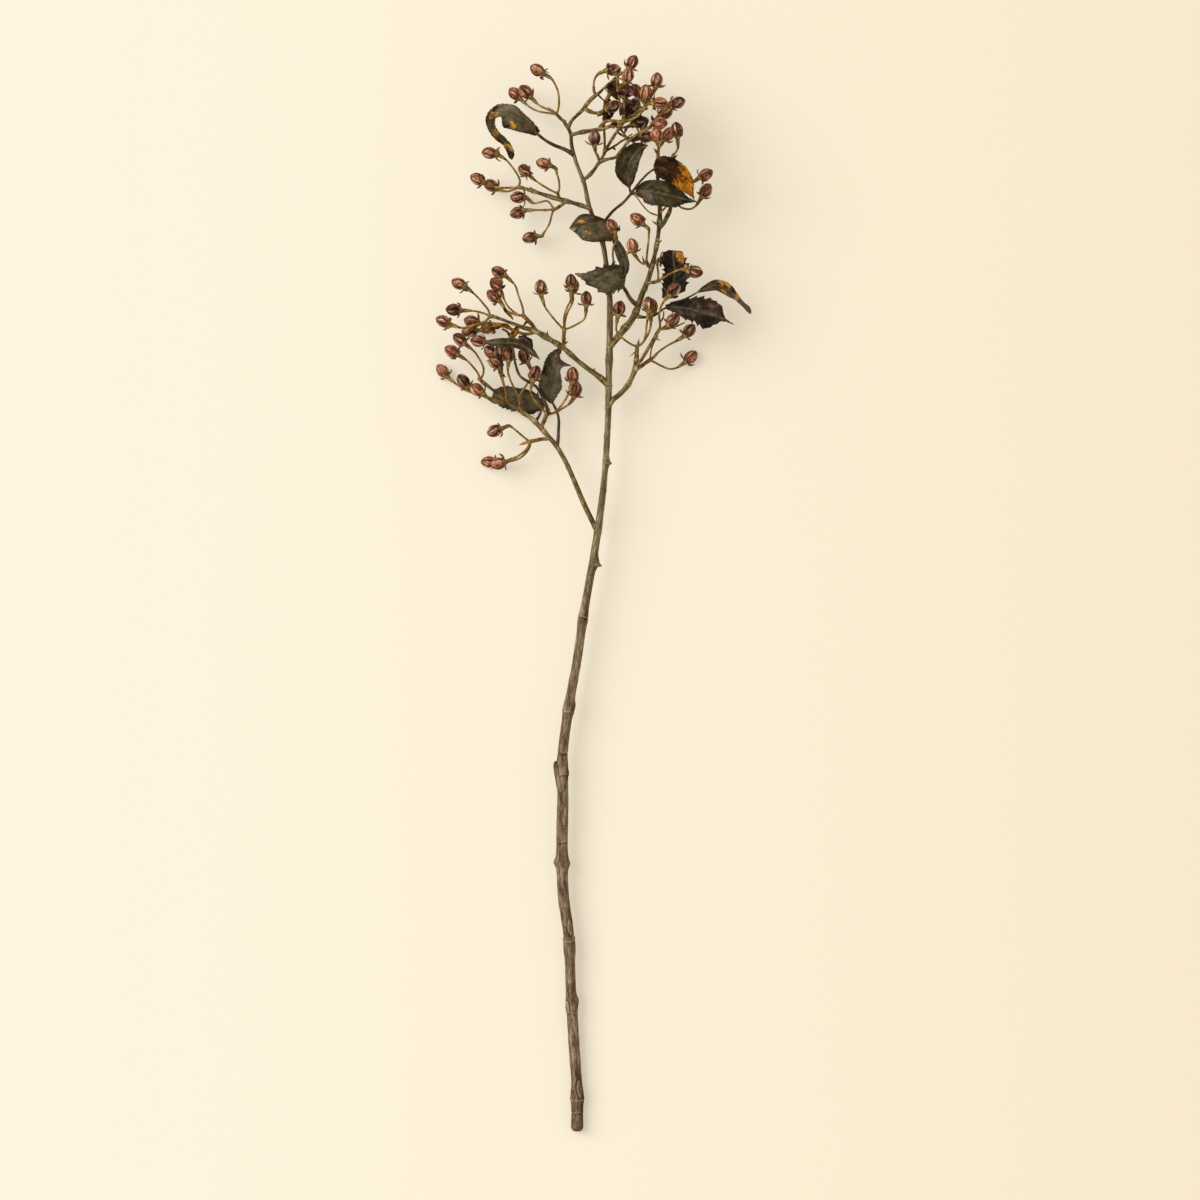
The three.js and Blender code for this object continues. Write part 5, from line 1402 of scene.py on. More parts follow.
# ---------------------------------------------------------------- tables
ROUTES: dict[str, Route] = {
    "branch_lower_left": Route(((14.8, 420, 17.4), (10.5, 428.5, 17.5), (4.6, 441, 17.6), (-3.4, 460, 17),
        (-8, 470, 16.6), (-14, 480, 16.2), (-22.5, 490, 15.6), (-30, 498, 14.6), (-40.5, 505.7, 13),
        (-51, 513, 12.4), (-60, 520.5, 12.6), (-66, 525, 13.4)), (1.9, 1.75, 1.6, 1.6, 1.5, 1.15, 1.05),
        ((0.59, 0.4), (0.66, 0.5), (0.735, 0.5), (0.99, 0.4)),
        marks=(BarkMark(Mark.KNOB, 465.6, 160, 1.4, 1.2, 0.5, 0.0, 0.4, 0.3),
        BarkMark(Mark.KNOB, 499, 80, 3, 1.4, 0.1, 0.0, 0.0, 0.9),
        BarkMark(Mark.SLIT, 447, 90, 5, 0.4, 0.15, 0.0, 0.5))),
    "branch_middle_left": Route(((22.5, 522, 21), (18, 526.8, 22.4), (7.4, 534.6, 24), (0, 540.4, 25.4),
        (-10, 549.3, 27), (-18, 554.2, 28), (-28.5, 560.3, 29.4), (-38, 563.2, 29.4), (-48, 567, 28.4),
        (-58, 570.6, 27.6)), (2, 1.8, 1.6, 1.6, 1.7, 1.7, 1.2, 1), ((0.08, 0.4), (0.37, 0.4), (0.49, 0.5),
        (0.6, 0.6), (0.985, 0.3)), marks=(BarkMark(Mark.KNOB, 560.6, 90, 2, 2, 0.3, 0.0, 0.2, 0.9),
        BarkMark(Mark.GROOVE, 553.6, 90, 0.5, 1.5, 0.2, 0.0, 0.9, 0.6),
        BarkMark(Mark.SLIT, 541, 90, 5, 0.5, 0.2, 0.0, 0.7),
        BarkMark(Mark.KNOB, 532, 20, 1.4, 1.2, 0.6, 0.0, 0.5))),
    "branch_lower_right": Route(((22.3, 508, 20.5), (25.6, 512.6, 21), (30, 516.2, 21.6), (35, 521.5, 22.4),
        (38.2, 527, 23), (40.6, 533, 23.8), (41.8, 540, 24.8), (42.2, 547, 26.4)), (1.8, 1.7, 1.6, 1.7, 1.4),
        ((0.45, 0.4), (0.7, 0.4), (0.86, 0.3)),
        marks=(BarkMark(Mark.KNOB, 535, 60, 1.4, 1.4, 0.3, 0.0, 0.3, 1.0),
        BarkMark(Mark.GROOVE, 538, 90, 0.6, 1.5, 0.3, 0.0, 1.0),
        BarkMark(Mark.KNOB, 517, 150, 1.4, 1.2, 0.5))),
    "branch_middle_right": Route(((23.2, 549.5, 21.8), (28, 555.4, 24), (33.5, 562, 26.4), (39, 569, 28.8),
        (42.6, 576.5, 31), (46, 586.5, 33.4), (50, 596, 35.4), (53.4, 608, 37.4), (55.8, 619, 38.8),
        (57.4, 630, 40), (58.2, 640, 41), (58, 650, 42), (57, 662, 43.6), (56.4, 674, 46), (57, 684, 48.6)),
        (2.2, 2.1, 2, 1.8, 1.4, 1.4, 1.5, 1.2, 0.9), ((0.06, 0.3), (0.13, 0.4), (0.22, 0.5), (0.46, 0.3),
        (0.55, 0.4), (0.67, 0.7), (0.98, 0.3)),
        marks=(BarkMark(Mark.RING, 622, 90, 0.5, 1.5, 0.25, 0.0, 0.7, 0.9),
        BarkMark(Mark.RING, 624.6, 90, 0.5, 1.5, 0.25, 0.0, 0.7, 0.9),
        BarkMark(Mark.KNOB, 562, 170, 2, 1.6, 0.7),
        BarkMark(Mark.KNOB, 590, 10, 1.4, 1.2, 0.5, 0.0, 0.6, 0.3)), weather=0.9),
    "branch_right_fork": Route(((57.7, 632, 40.2), (60.6, 635, 40.8), (62.8, 639.4, 41.4), (65, 644, 42),
        (67, 652, 43.4), (67.8, 661, 45), (67.4, 670, 47), (67, 680, 49.4)), (1.2, 1.1, 1.1, 0.8, 0.8),
        ((0.16, 0.4), (0.26, 0.4), (0.98, 0.3)), weather=1.0),
    "branch_upper_left": Route(((9.5, 646, 26.4), (4.5, 648, 27), (-2, 650, 27.6), (-8, 651.6, 28),
        (-17, 654, 27.6), (-25, 656.6, 26.4), (-32, 659, 25), (-37.4, 660.6, 24)), (1.3, 1.4, 1.6, 1.2, 1.05),
        ((0.14, 0.4), (0.36, 0.5), (0.6, 0.2), (0.86, 0.4))),
    "branch_upper_right": Route(((4, 665.6, 28.2), (8.5, 669, 30.4), (12.4, 673.4, 32.6), (16.8, 679, 35),
        (22, 680.6, 36.6), (28, 682.2, 38), (31, 686, 39), (36.5, 693.4, 41), (45, 699.6, 43.4),
        (50, 702, 44.6)), (1.1, 1.1, 1, 0.9, 0.85), ((0.13, 0.4), (0.33, 0.5), (0.56, 0.4), (0.98, 0.3))),
    "branch_crown": Route(((-4, 697.6, 31), (1, 699, 32.6), (5, 699.8, 34), (12, 701, 36), (19, 702, 38),
        (28, 705, 40.4), (34, 708, 42), (40, 711.2, 43), (46, 715.6, 44)), (1.2, 1.2, 1, 0.95, 0.9),
        ((0.17, 0.5), (0.42, 0.3), (0.67, 0.4), (0.98, 0.3))),
    "branch_top": Route(((-6, 702.4, 31.2), (-3.4, 707.4, 33), (0, 711, 34.4), (4.4, 715.2, 36.2),
        (8, 720, 38), (12.6, 724.6, 39.8), (16, 727, 40.8), (20, 731, 42), (25, 735.2, 43.6),
        (28.8, 738.6, 44.8)), (1.2, 1.1, 1.1, 0.9, 0.85), ((0.3, 0.2), (0.43, 0.4), (0.56, 0.4),
        (0.98, 0.3))),
}

STEM_POINTS: tuple[Point, ...] = (
    (0.4, 0, 4.32), (0.2, 30, 5), (-1.8, 60, 6), (-4, 100, 7.4), (-5.5, 137, 8.6), (-9.2, 165, 9.4),
    (-10.2, 195, 10.4), (-9.6, 235, 11.6), (-9.9, 262, 12.4), (-5, 300, 13.6), (0.4, 330, 14.4),
    (4.6, 360, 15.4), (9.8, 390, 16.4), (14.7, 420, 17.4), (18.4, 448, 18.4), (20.5, 472, 19.2),
    (22, 500, 20.2), (22.6, 530, 21.2), (23.3, 560, 22.2), (23.2, 585, 23), (20.8, 608, 24),
    (17, 627, 25), (11.5, 640, 26), (8.3, 650, 26.8), (5.2, 664, 28), (-0.2, 678, 29.4),
    (-3.4, 690, 30.4), (-4.3, 699, 31), (-8.5, 706.5, 31.6),
)
STEM_RADII: tuple[float, ...] = (
    4.3, 3.7, 3.7, 3.6, 3.9, 4, 3.7, 3.3, 3.1, 2.8, 2.5, 2.15, 2.1, 2.2, 2, 1.6, 1.4, 1.2,
)
STEM_SWELLINGS: tuple[tuple[float, float], ...] = (
    (0.035, 0.7), (0.125, 0.5), (0.18, 0.7), (0.265, 0.8), (0.36, 0.5), (0.415, 0.7), (0.503, 0.7),
    (0.595, 0.4), (0.76, 0.5), (0.88, 0.5),
)

# A leaf's pale patches are a painted sheen; its other patches are stains.
LEAVES: tuple[Leaf, ...] = (
    Leaf("leaf_top_curled", ((-27, 698.4, 36.6, 2.5, 3, 0), (-33, 703.6, 40.4, 6.4, 4.6, 0),
        (-40, 708, 43, 9, 6, 8), (-46, 711.2, 44, 10.4, 7.8, 12), (-50, 712.6, 43, 10, 7.2, 16),
        (-53, 713.2, 41.6, 4.8, 6.2, 20), (-56, 712.6, 39, 3.8, 5, 20), (-59.6, 709.6, 35, 3.6, 4, 18),
        (-60, 704, 30, 3.8, 3.2, 10), (-56, 698, 26, 3, 3.4, 0), (-50, 692, 22.4, 3.2, 2.6, -8),
        (-46.6, 686.6, 20.4, 3.2, 2.6, 6), (-45.6, 682.8, 19.6, 2.4, 2.2, 10),
        (-45.2, 680.6, 19, 0.5, 0.5, 0)), Edge.FINE, stalk=((-2, 684, 29.8), (-8, 687.4, 31),
        (-16, 690.6, 33), (-22, 694, 35), (-29, 699.6, 37.4)), stalk_radius=1.25, cup=-0.1,
        patches=(*stained(Stain.PURPLE, (-31, 702, 8), (-40, 702.5, 6)),
        Patch(Stain.BLACK, (-51.5, 704), 3.4), *stained(Stain.OCHRE, (-44, 704, 1.9), (-58.5, 711, 2.4),
        (-56.5, 697.6, 2.6), (-49.4, 689.6, 3), (-45, 688, 2)), *stained(Stain.PALE, (-48, 713, 12),
        (-40, 710, 6), (-57, 703, 5)), *stained(Stain.BLACK, (-45, 681.6, 2.8), (-57, 717, 2.6)))),
    Leaf("leaf_compound_left", ((37, 660.4, 47.8, 1, 1, 0), (36, 666, 50, 5.6, 5.2, 0),
        (35.4, 673, 51.6, 8.8, 7.4, 0), (38.4, 681, 51.4, 9, 6.6, 0), (44.2, 687.6, 50, 5, 4, 0),
        (50, 690, 49, 0.3, 0.3, 0)), Edge.FINE, stalk=((38.4, 656.4, 47.4), (37.4, 658.8, 47.6),
        (36.6, 662, 48.6)), stalk_radius=0.8, patches=(Patch(Stain.GREEN, (40, 680), 6),
        Patch(Stain.PURPLE, (35, 665), 4), Patch(Stain.BLACK, (48, 689), 3))),
    Leaf("leaf_compound_right", ((41.4, 656.6, 47.8, 1.2, 2.6, 0), (46, 658.2, 50.6, 5.6, 7.6, 0),
        (54, 657.6, 54, 8.6, 10, 0), (62, 655.6, 55, 9.4, 9, 0), (70, 653.6, 54, 7, 7.6, 0),
        (77, 652, 52, 2.6, 3, 0), (84.4, 650.4, 50, 0.3, 0.3, 0)), Edge.FINE, stalk=((38, 656, 47.2),
        (40.4, 656.4, 47.6), (43.6, 657.2, 49.2)), stalk_radius=0.8,
        patches=(Patch(Stain.GREEN, (62, 656), 10), Patch(Stain.PURPLE, (46, 653), 5),
        Patch(Stain.BLACK, (78, 651.5), 4))),
    Leaf("leaf_compound_top", ((54, 674.4, 58, 2, 2, 0), (58, 674, 60.6, 8, 6.6, 0),
        (63, 672.4, 62.4, 9.6, 7.4, 0), (70, 668.4, 62.8, 9.2, 7, 0), (76.4, 662, 61, 6.4, 5.6, 0),
        (80.4, 655.6, 58.6, 2, 2, 0), (82.4, 651.8, 57.4, 0.3, 0.3, 0)), Edge.FINE, stalk=((15.2, 632, 25.2),
        (19.4, 637, 29), (25.6, 644.4, 34.6), (33, 650.4, 41), (38.4, 656.6, 47.4), (44, 664, 54),
        (51, 671, 58.6), (57, 674.6, 60.4)), stalk_radius=0.95, cup=0.3, patches=(*stained(Stain.BROWN,
        (58.5, 671, 10), (66.5, 678, 5.4), (68.5, 672, 3.8), (64, 664, 3.6)), *stained(Stain.BLACK,
        (56.5, 667, 3.6), (66, 680, 3)), *stained(Stain.PURPLE, (59.5, 679, 8.5), (70, 680.5, 2.2))),
        finish=OCHRE_LEAF, slot="ochre_leaf"),
    Leaf("leaf_middle_smooth", ((26, 625.6, 33.4, 3.4, 3.8, 0), (20, 629.6, 35.2, 7.4, 7.6, 0),
        (12, 632, 36.4, 9.6, 9.2, 0), (4, 633.2, 36.6, 8.8, 9, 0), (-1.4, 632.8, 35.6, 3.8, 4.2, 0),
        (-5, 632.2, 34.6, 0.3, 0.3, 0)), Edge.SMOOTH, patches=(*stained(Stain.OCHRE, (3, 636.5, 1.5),
        (8.5, 630.2, 1.3), (-2, 631.5, 1.4), (5, 626.5, 1.2)), *stained(Stain.PALE, (11, 631, 9),
        (20, 628, 6)))),
    Leaf("leaf_middle_serrated", ((34.2, 596, 35.6, 8.4, 8.8, 0), (27, 597, 36.8, 11, 11, 0),
        (18, 597, 37.4, 11.2, 10.4, 0), (10.6, 597.2, 36.6, 7, 7.2, 0), (4.6, 598.8, 35, 2.8, 2.8, 0),
        (-1, 600.6, 33.4, 0.8, 0.8, 0)), Edge.RAGGED, stalk=((43.6, 578.6, 31.6), (40.6, 580, 32),
        (37.4, 583.4, 33), (34.2, 589, 34.4), (31, 594, 35.6)), stalk_radius=1.4,
        patches=(*stained(Stain.PALE, (1, 600, 6), (22, 597, 8)),)),
    Leaf("leaf_middle_edge_on", ((33.8, 599.6, 37, 1.2, 1.4, 20), (34.6, 604, 38, 3.4, 3, 25),
        (33.6, 610, 38.8, 4.6, 3.8, 25), (30.8, 617, 38.2, 4.4, 3.6, 20), (27.6, 622.6, 36.6, 2.6, 2.4, 10),
        (25, 626.4, 35, 0.8, 0.8, 0)), Edge.SMOOTH, cup=0.25, patches=(Patch(Stain.GREEN, (33, 612), 8),
        *stained(Stain.BLACK, (26, 625, 3), (34, 603, 3)))),
    Leaf("leaf_right_dark", ((60.6, 583.4, 31, 1.4, 1, 0), (64.4, 588, 33, 6.4, 7.6, 0),
        (67.4, 594.4, 35, 9.2, 11, 0), (68.6, 602, 36, 9.2, 12, 0), (67.8, 609, 36.6, 9.8, 10.8, -6),
        (67.6, 614, 36.4, 8.4, 9, -10), (67.8, 616.8, 36.2, 4.8, 6, -12)), Edge.RAGGED,
        patches=(Patch(Stain.OCHRE, (73.4, 611.6), 5), *stained(Stain.BLACK, (66, 592, 10), (64, 606, 8),
        (72, 599, 7.5)))),
    Leaf("leaf_right_serrated", ((62.4, 577.4, 26.6, 1.6, 1.4, 0), (68, 577.6, 29.4, 4, 5, 0),
        (76, 576.6, 32.4, 6.6, 8, 0), (84, 574.8, 33.6, 11.6, 10.2, 0), (92, 572.6, 32.6, 11, 11.4, 0),
        (98.6, 570.6, 30.4, 8, 6, 0), (103, 568.8, 28.4, 2, 2, 0), (110, 565.2, 25, 0.3, 0.3, 0)),
        Edge.RAGGED, stalk=((40.4, 570.6, 28.4), (46.4, 570.2, 25.4), (52, 570.6, 24), (57, 573, 24.4),
        (61, 576, 26.4), (66, 577.6, 29)), stalk_radius=0.9, patches=(Patch(Stain.PURPLE, (94, 575), 7),
        Patch(Stain.GREEN, (81, 579), 5), *stained(Stain.BLACK, (74, 580, 6), (90, 566, 6)))),
    Leaf("leaf_right_curled", ((85.4, 587.9, 36, 0.9, 0.9, 0), (91.4, 590.6, 39.6, 2.8, 2.8, 10),
        (98.4, 592, 41.6, 4.4, 4.6, 25), (105, 589.4, 40, 4.6, 5.4, 30), (110.4, 585.4, 34, 2.6, 3, 20),
        (115.4, 580.4, 24, 1.6, 1.6, 0), (120, 576.4, 12, 1.8, 2, 0), (122, 573.2, 4, 0.8, 0.8, 0)),
        Edge.SMOOTH, stalk=((66, 579.8, 26.6), (74, 582.2, 28.6), (81, 585.4, 32.4), (87, 589, 37)),
        stalk_radius=0.7, cup=0.3, patches=(Patch(Stain.OCHRE, (103, 594), 5),
        Patch(Stain.PURPLE, (104, 586), 5), Patch(Stain.GREEN, (102, 591), 1.6),
        Patch(Stain.OCHRE, (113, 584), 3.5))),
    Leaf("leaf_left_arched", ((-64.6, 552.4, 41, 0.9, 0.9, 0), (-58, 552.2, 43.4, 2.8, 2.6, 0),
        (-50, 552.2, 45, 3.5, 3.6, 0), (-42.6, 551.8, 45.2, 3.6, 3.6, 0), (-36, 549.4, 44.6, 3.2, 3.2, 0),
        (-30.8, 545.2, 43.6, 2.4, 2.2, 0), (-25.6, 540.4, 42.6, 0.3, 0.3, 0)), Edge.SMOOTH,
        stalk=((-20, 504.8, 21.8), (-21.6, 509.4, 23.4), (-28, 521.4, 27), (-34.4, 525.4, 30),
        (-39.4, 529, 33), (-42.6, 537, 37.6), (-43.8, 545, 41.6), (-45, 551, 45.2)), cup=-0.25,
        patches=(Patch(Stain.GREEN, (-55, 553), 10),)),
    Leaf("leaf_left_folded", ((-17.4, 509.8, 19, 0.9, 0.9, 0), (-18, 515, 21, 5.4, 5, 0),
        (-18.2, 522, 22.6, 8.6, 8.6, 0), (-17.6, 530, 23, 7.4, 7, 0), (-16.8, 536, 22.6, 6.6, 7, 0),
        (-16, 539.6, 22, 6, 13.6, 0), (-14.6, 543, 21, 5, 4.6, 0), (-11.4, 548, 19.6, 1.8, 1.8, 0)),
        Edge.FINE, stalk=((-13.8, 479.6, 16.2), (-13, 484, 16.8), (-12.6, 491, 16), (-12.4, 498, 14.6),
        (-13.4, 503.4, 14.2), (-17.6, 512, 19.6)), stalk_radius=1.05, cup=0.15,
        patches=(Patch(Stain.PURPLE, (-12, 538.5), 6), Patch(Stain.PALE, (-17, 525), 10),
        Patch(Stain.PURPLE, (-20, 516), 6), Patch(Stain.BLACK, (-23, 534), 3),
        Patch(Stain.GREEN, (-17, 545), 4))),
    Leaf("leaf_left_flat", ((-22.4, 507.4, 8.6, 1.6, 1.6, 0), (-29, 509.4, 8.4, 7.8, 8.6, 0),
        (-37.4, 511.6, 7.4, 8.8, 9.4, 0), (-45.4, 513.2, 6, 8.8, 8.6, 0), (-52.6, 515, 4.4, 7, 8.6, 0),
        (-58.6, 517, 3, 3, 3.6, 0)), Edge.TOOTHED, stalk=((-29, 497, 14.8), (-26.6, 500.6, 12),
        (-25, 504.6, 9.8), (-26.4, 508.8, 8.6)), stalk_radius=0.9,
        patches=(Patch(Stain.PURPLE, (-56, 515), 8), Patch(Stain.GREEN, (-38, 511), 8), *stained(Stain.PALE,
        (-30, 511, 7), (-46, 512, 7)))),
    Leaf("leaf_left_strap", ((-51.4, 576.8, 31.5, 0.5, 0.5, 0), (-49.4, 574.4, 32, 1.5, 1.5, 10),
        (-47, 572, 32, 1.6, 1.6, 20), (-44.2, 568.6, 30.6, 0.5, 0.5, 0)), Edge.FINE,
        patches=(Patch(Stain.BLACK, (-50.5, 575.6), 1.2),), replaces=False, finish=OCHRE_LEAF,
        slot="ochre_leaf"),
    Leaf("leaf_left_spotted", ((-40, 565, 31.6, 0.6, 0.6, 0), (-41.6, 562.4, 33.4, 2.4, 2, 0),
        (-43.6, 559.4, 34.4, 3, 2.8, 0), (-45.6, 556, 34.4, 1.8, 1.8, 0), (-46.6, 554, 34, 0.4, 0.4, 0)),
        Edge.RAGGED, patches=(*stained(Stain.BLACK, (-42.4, 562, 1.3), (-44.6, 559, 1.4),
        (-44, 556.6, 1.2)),), replaces=False, finish=OCHRE_LEAF, slot="ochre_leaf"),
    Leaf("leaf_left_band", ((-46, 563.6, 31.6, 0.5, 0.5, 0), (-50, 564.6, 32.6, 1.8, 1.8, 10),
        (-55, 563.8, 32.6, 2.2, 2, 10), (-60, 561.6, 31.4, 1.4, 1.4, 0), (-62, 560, 30.6, 0.4, 0.4, 0)),
        Edge.RAGGED, patches=(*stained(Stain.BLACK, (-51, 565, 1.6), (-55, 562.6, 1.5), (-59.4, 562, 2)),),
        replaces=False, finish=OCHRE_LEAF, slot="ochre_leaf"),
    Leaf("leaf_left_small", ((-40.6, 556.4, 35.6, 1, 1, 0), (-36.6, 555.2, 36.4, 2.8, 2.8, 0),
        (-33, 552.2, 36.4, 3.2, 3.2, 0), (-31.2, 547.6, 35.6, 1, 1.2, 0)), Edge.RAGGED,
        patches=(Patch(Stain.BLACK, (-34, 552), 9),)),
)

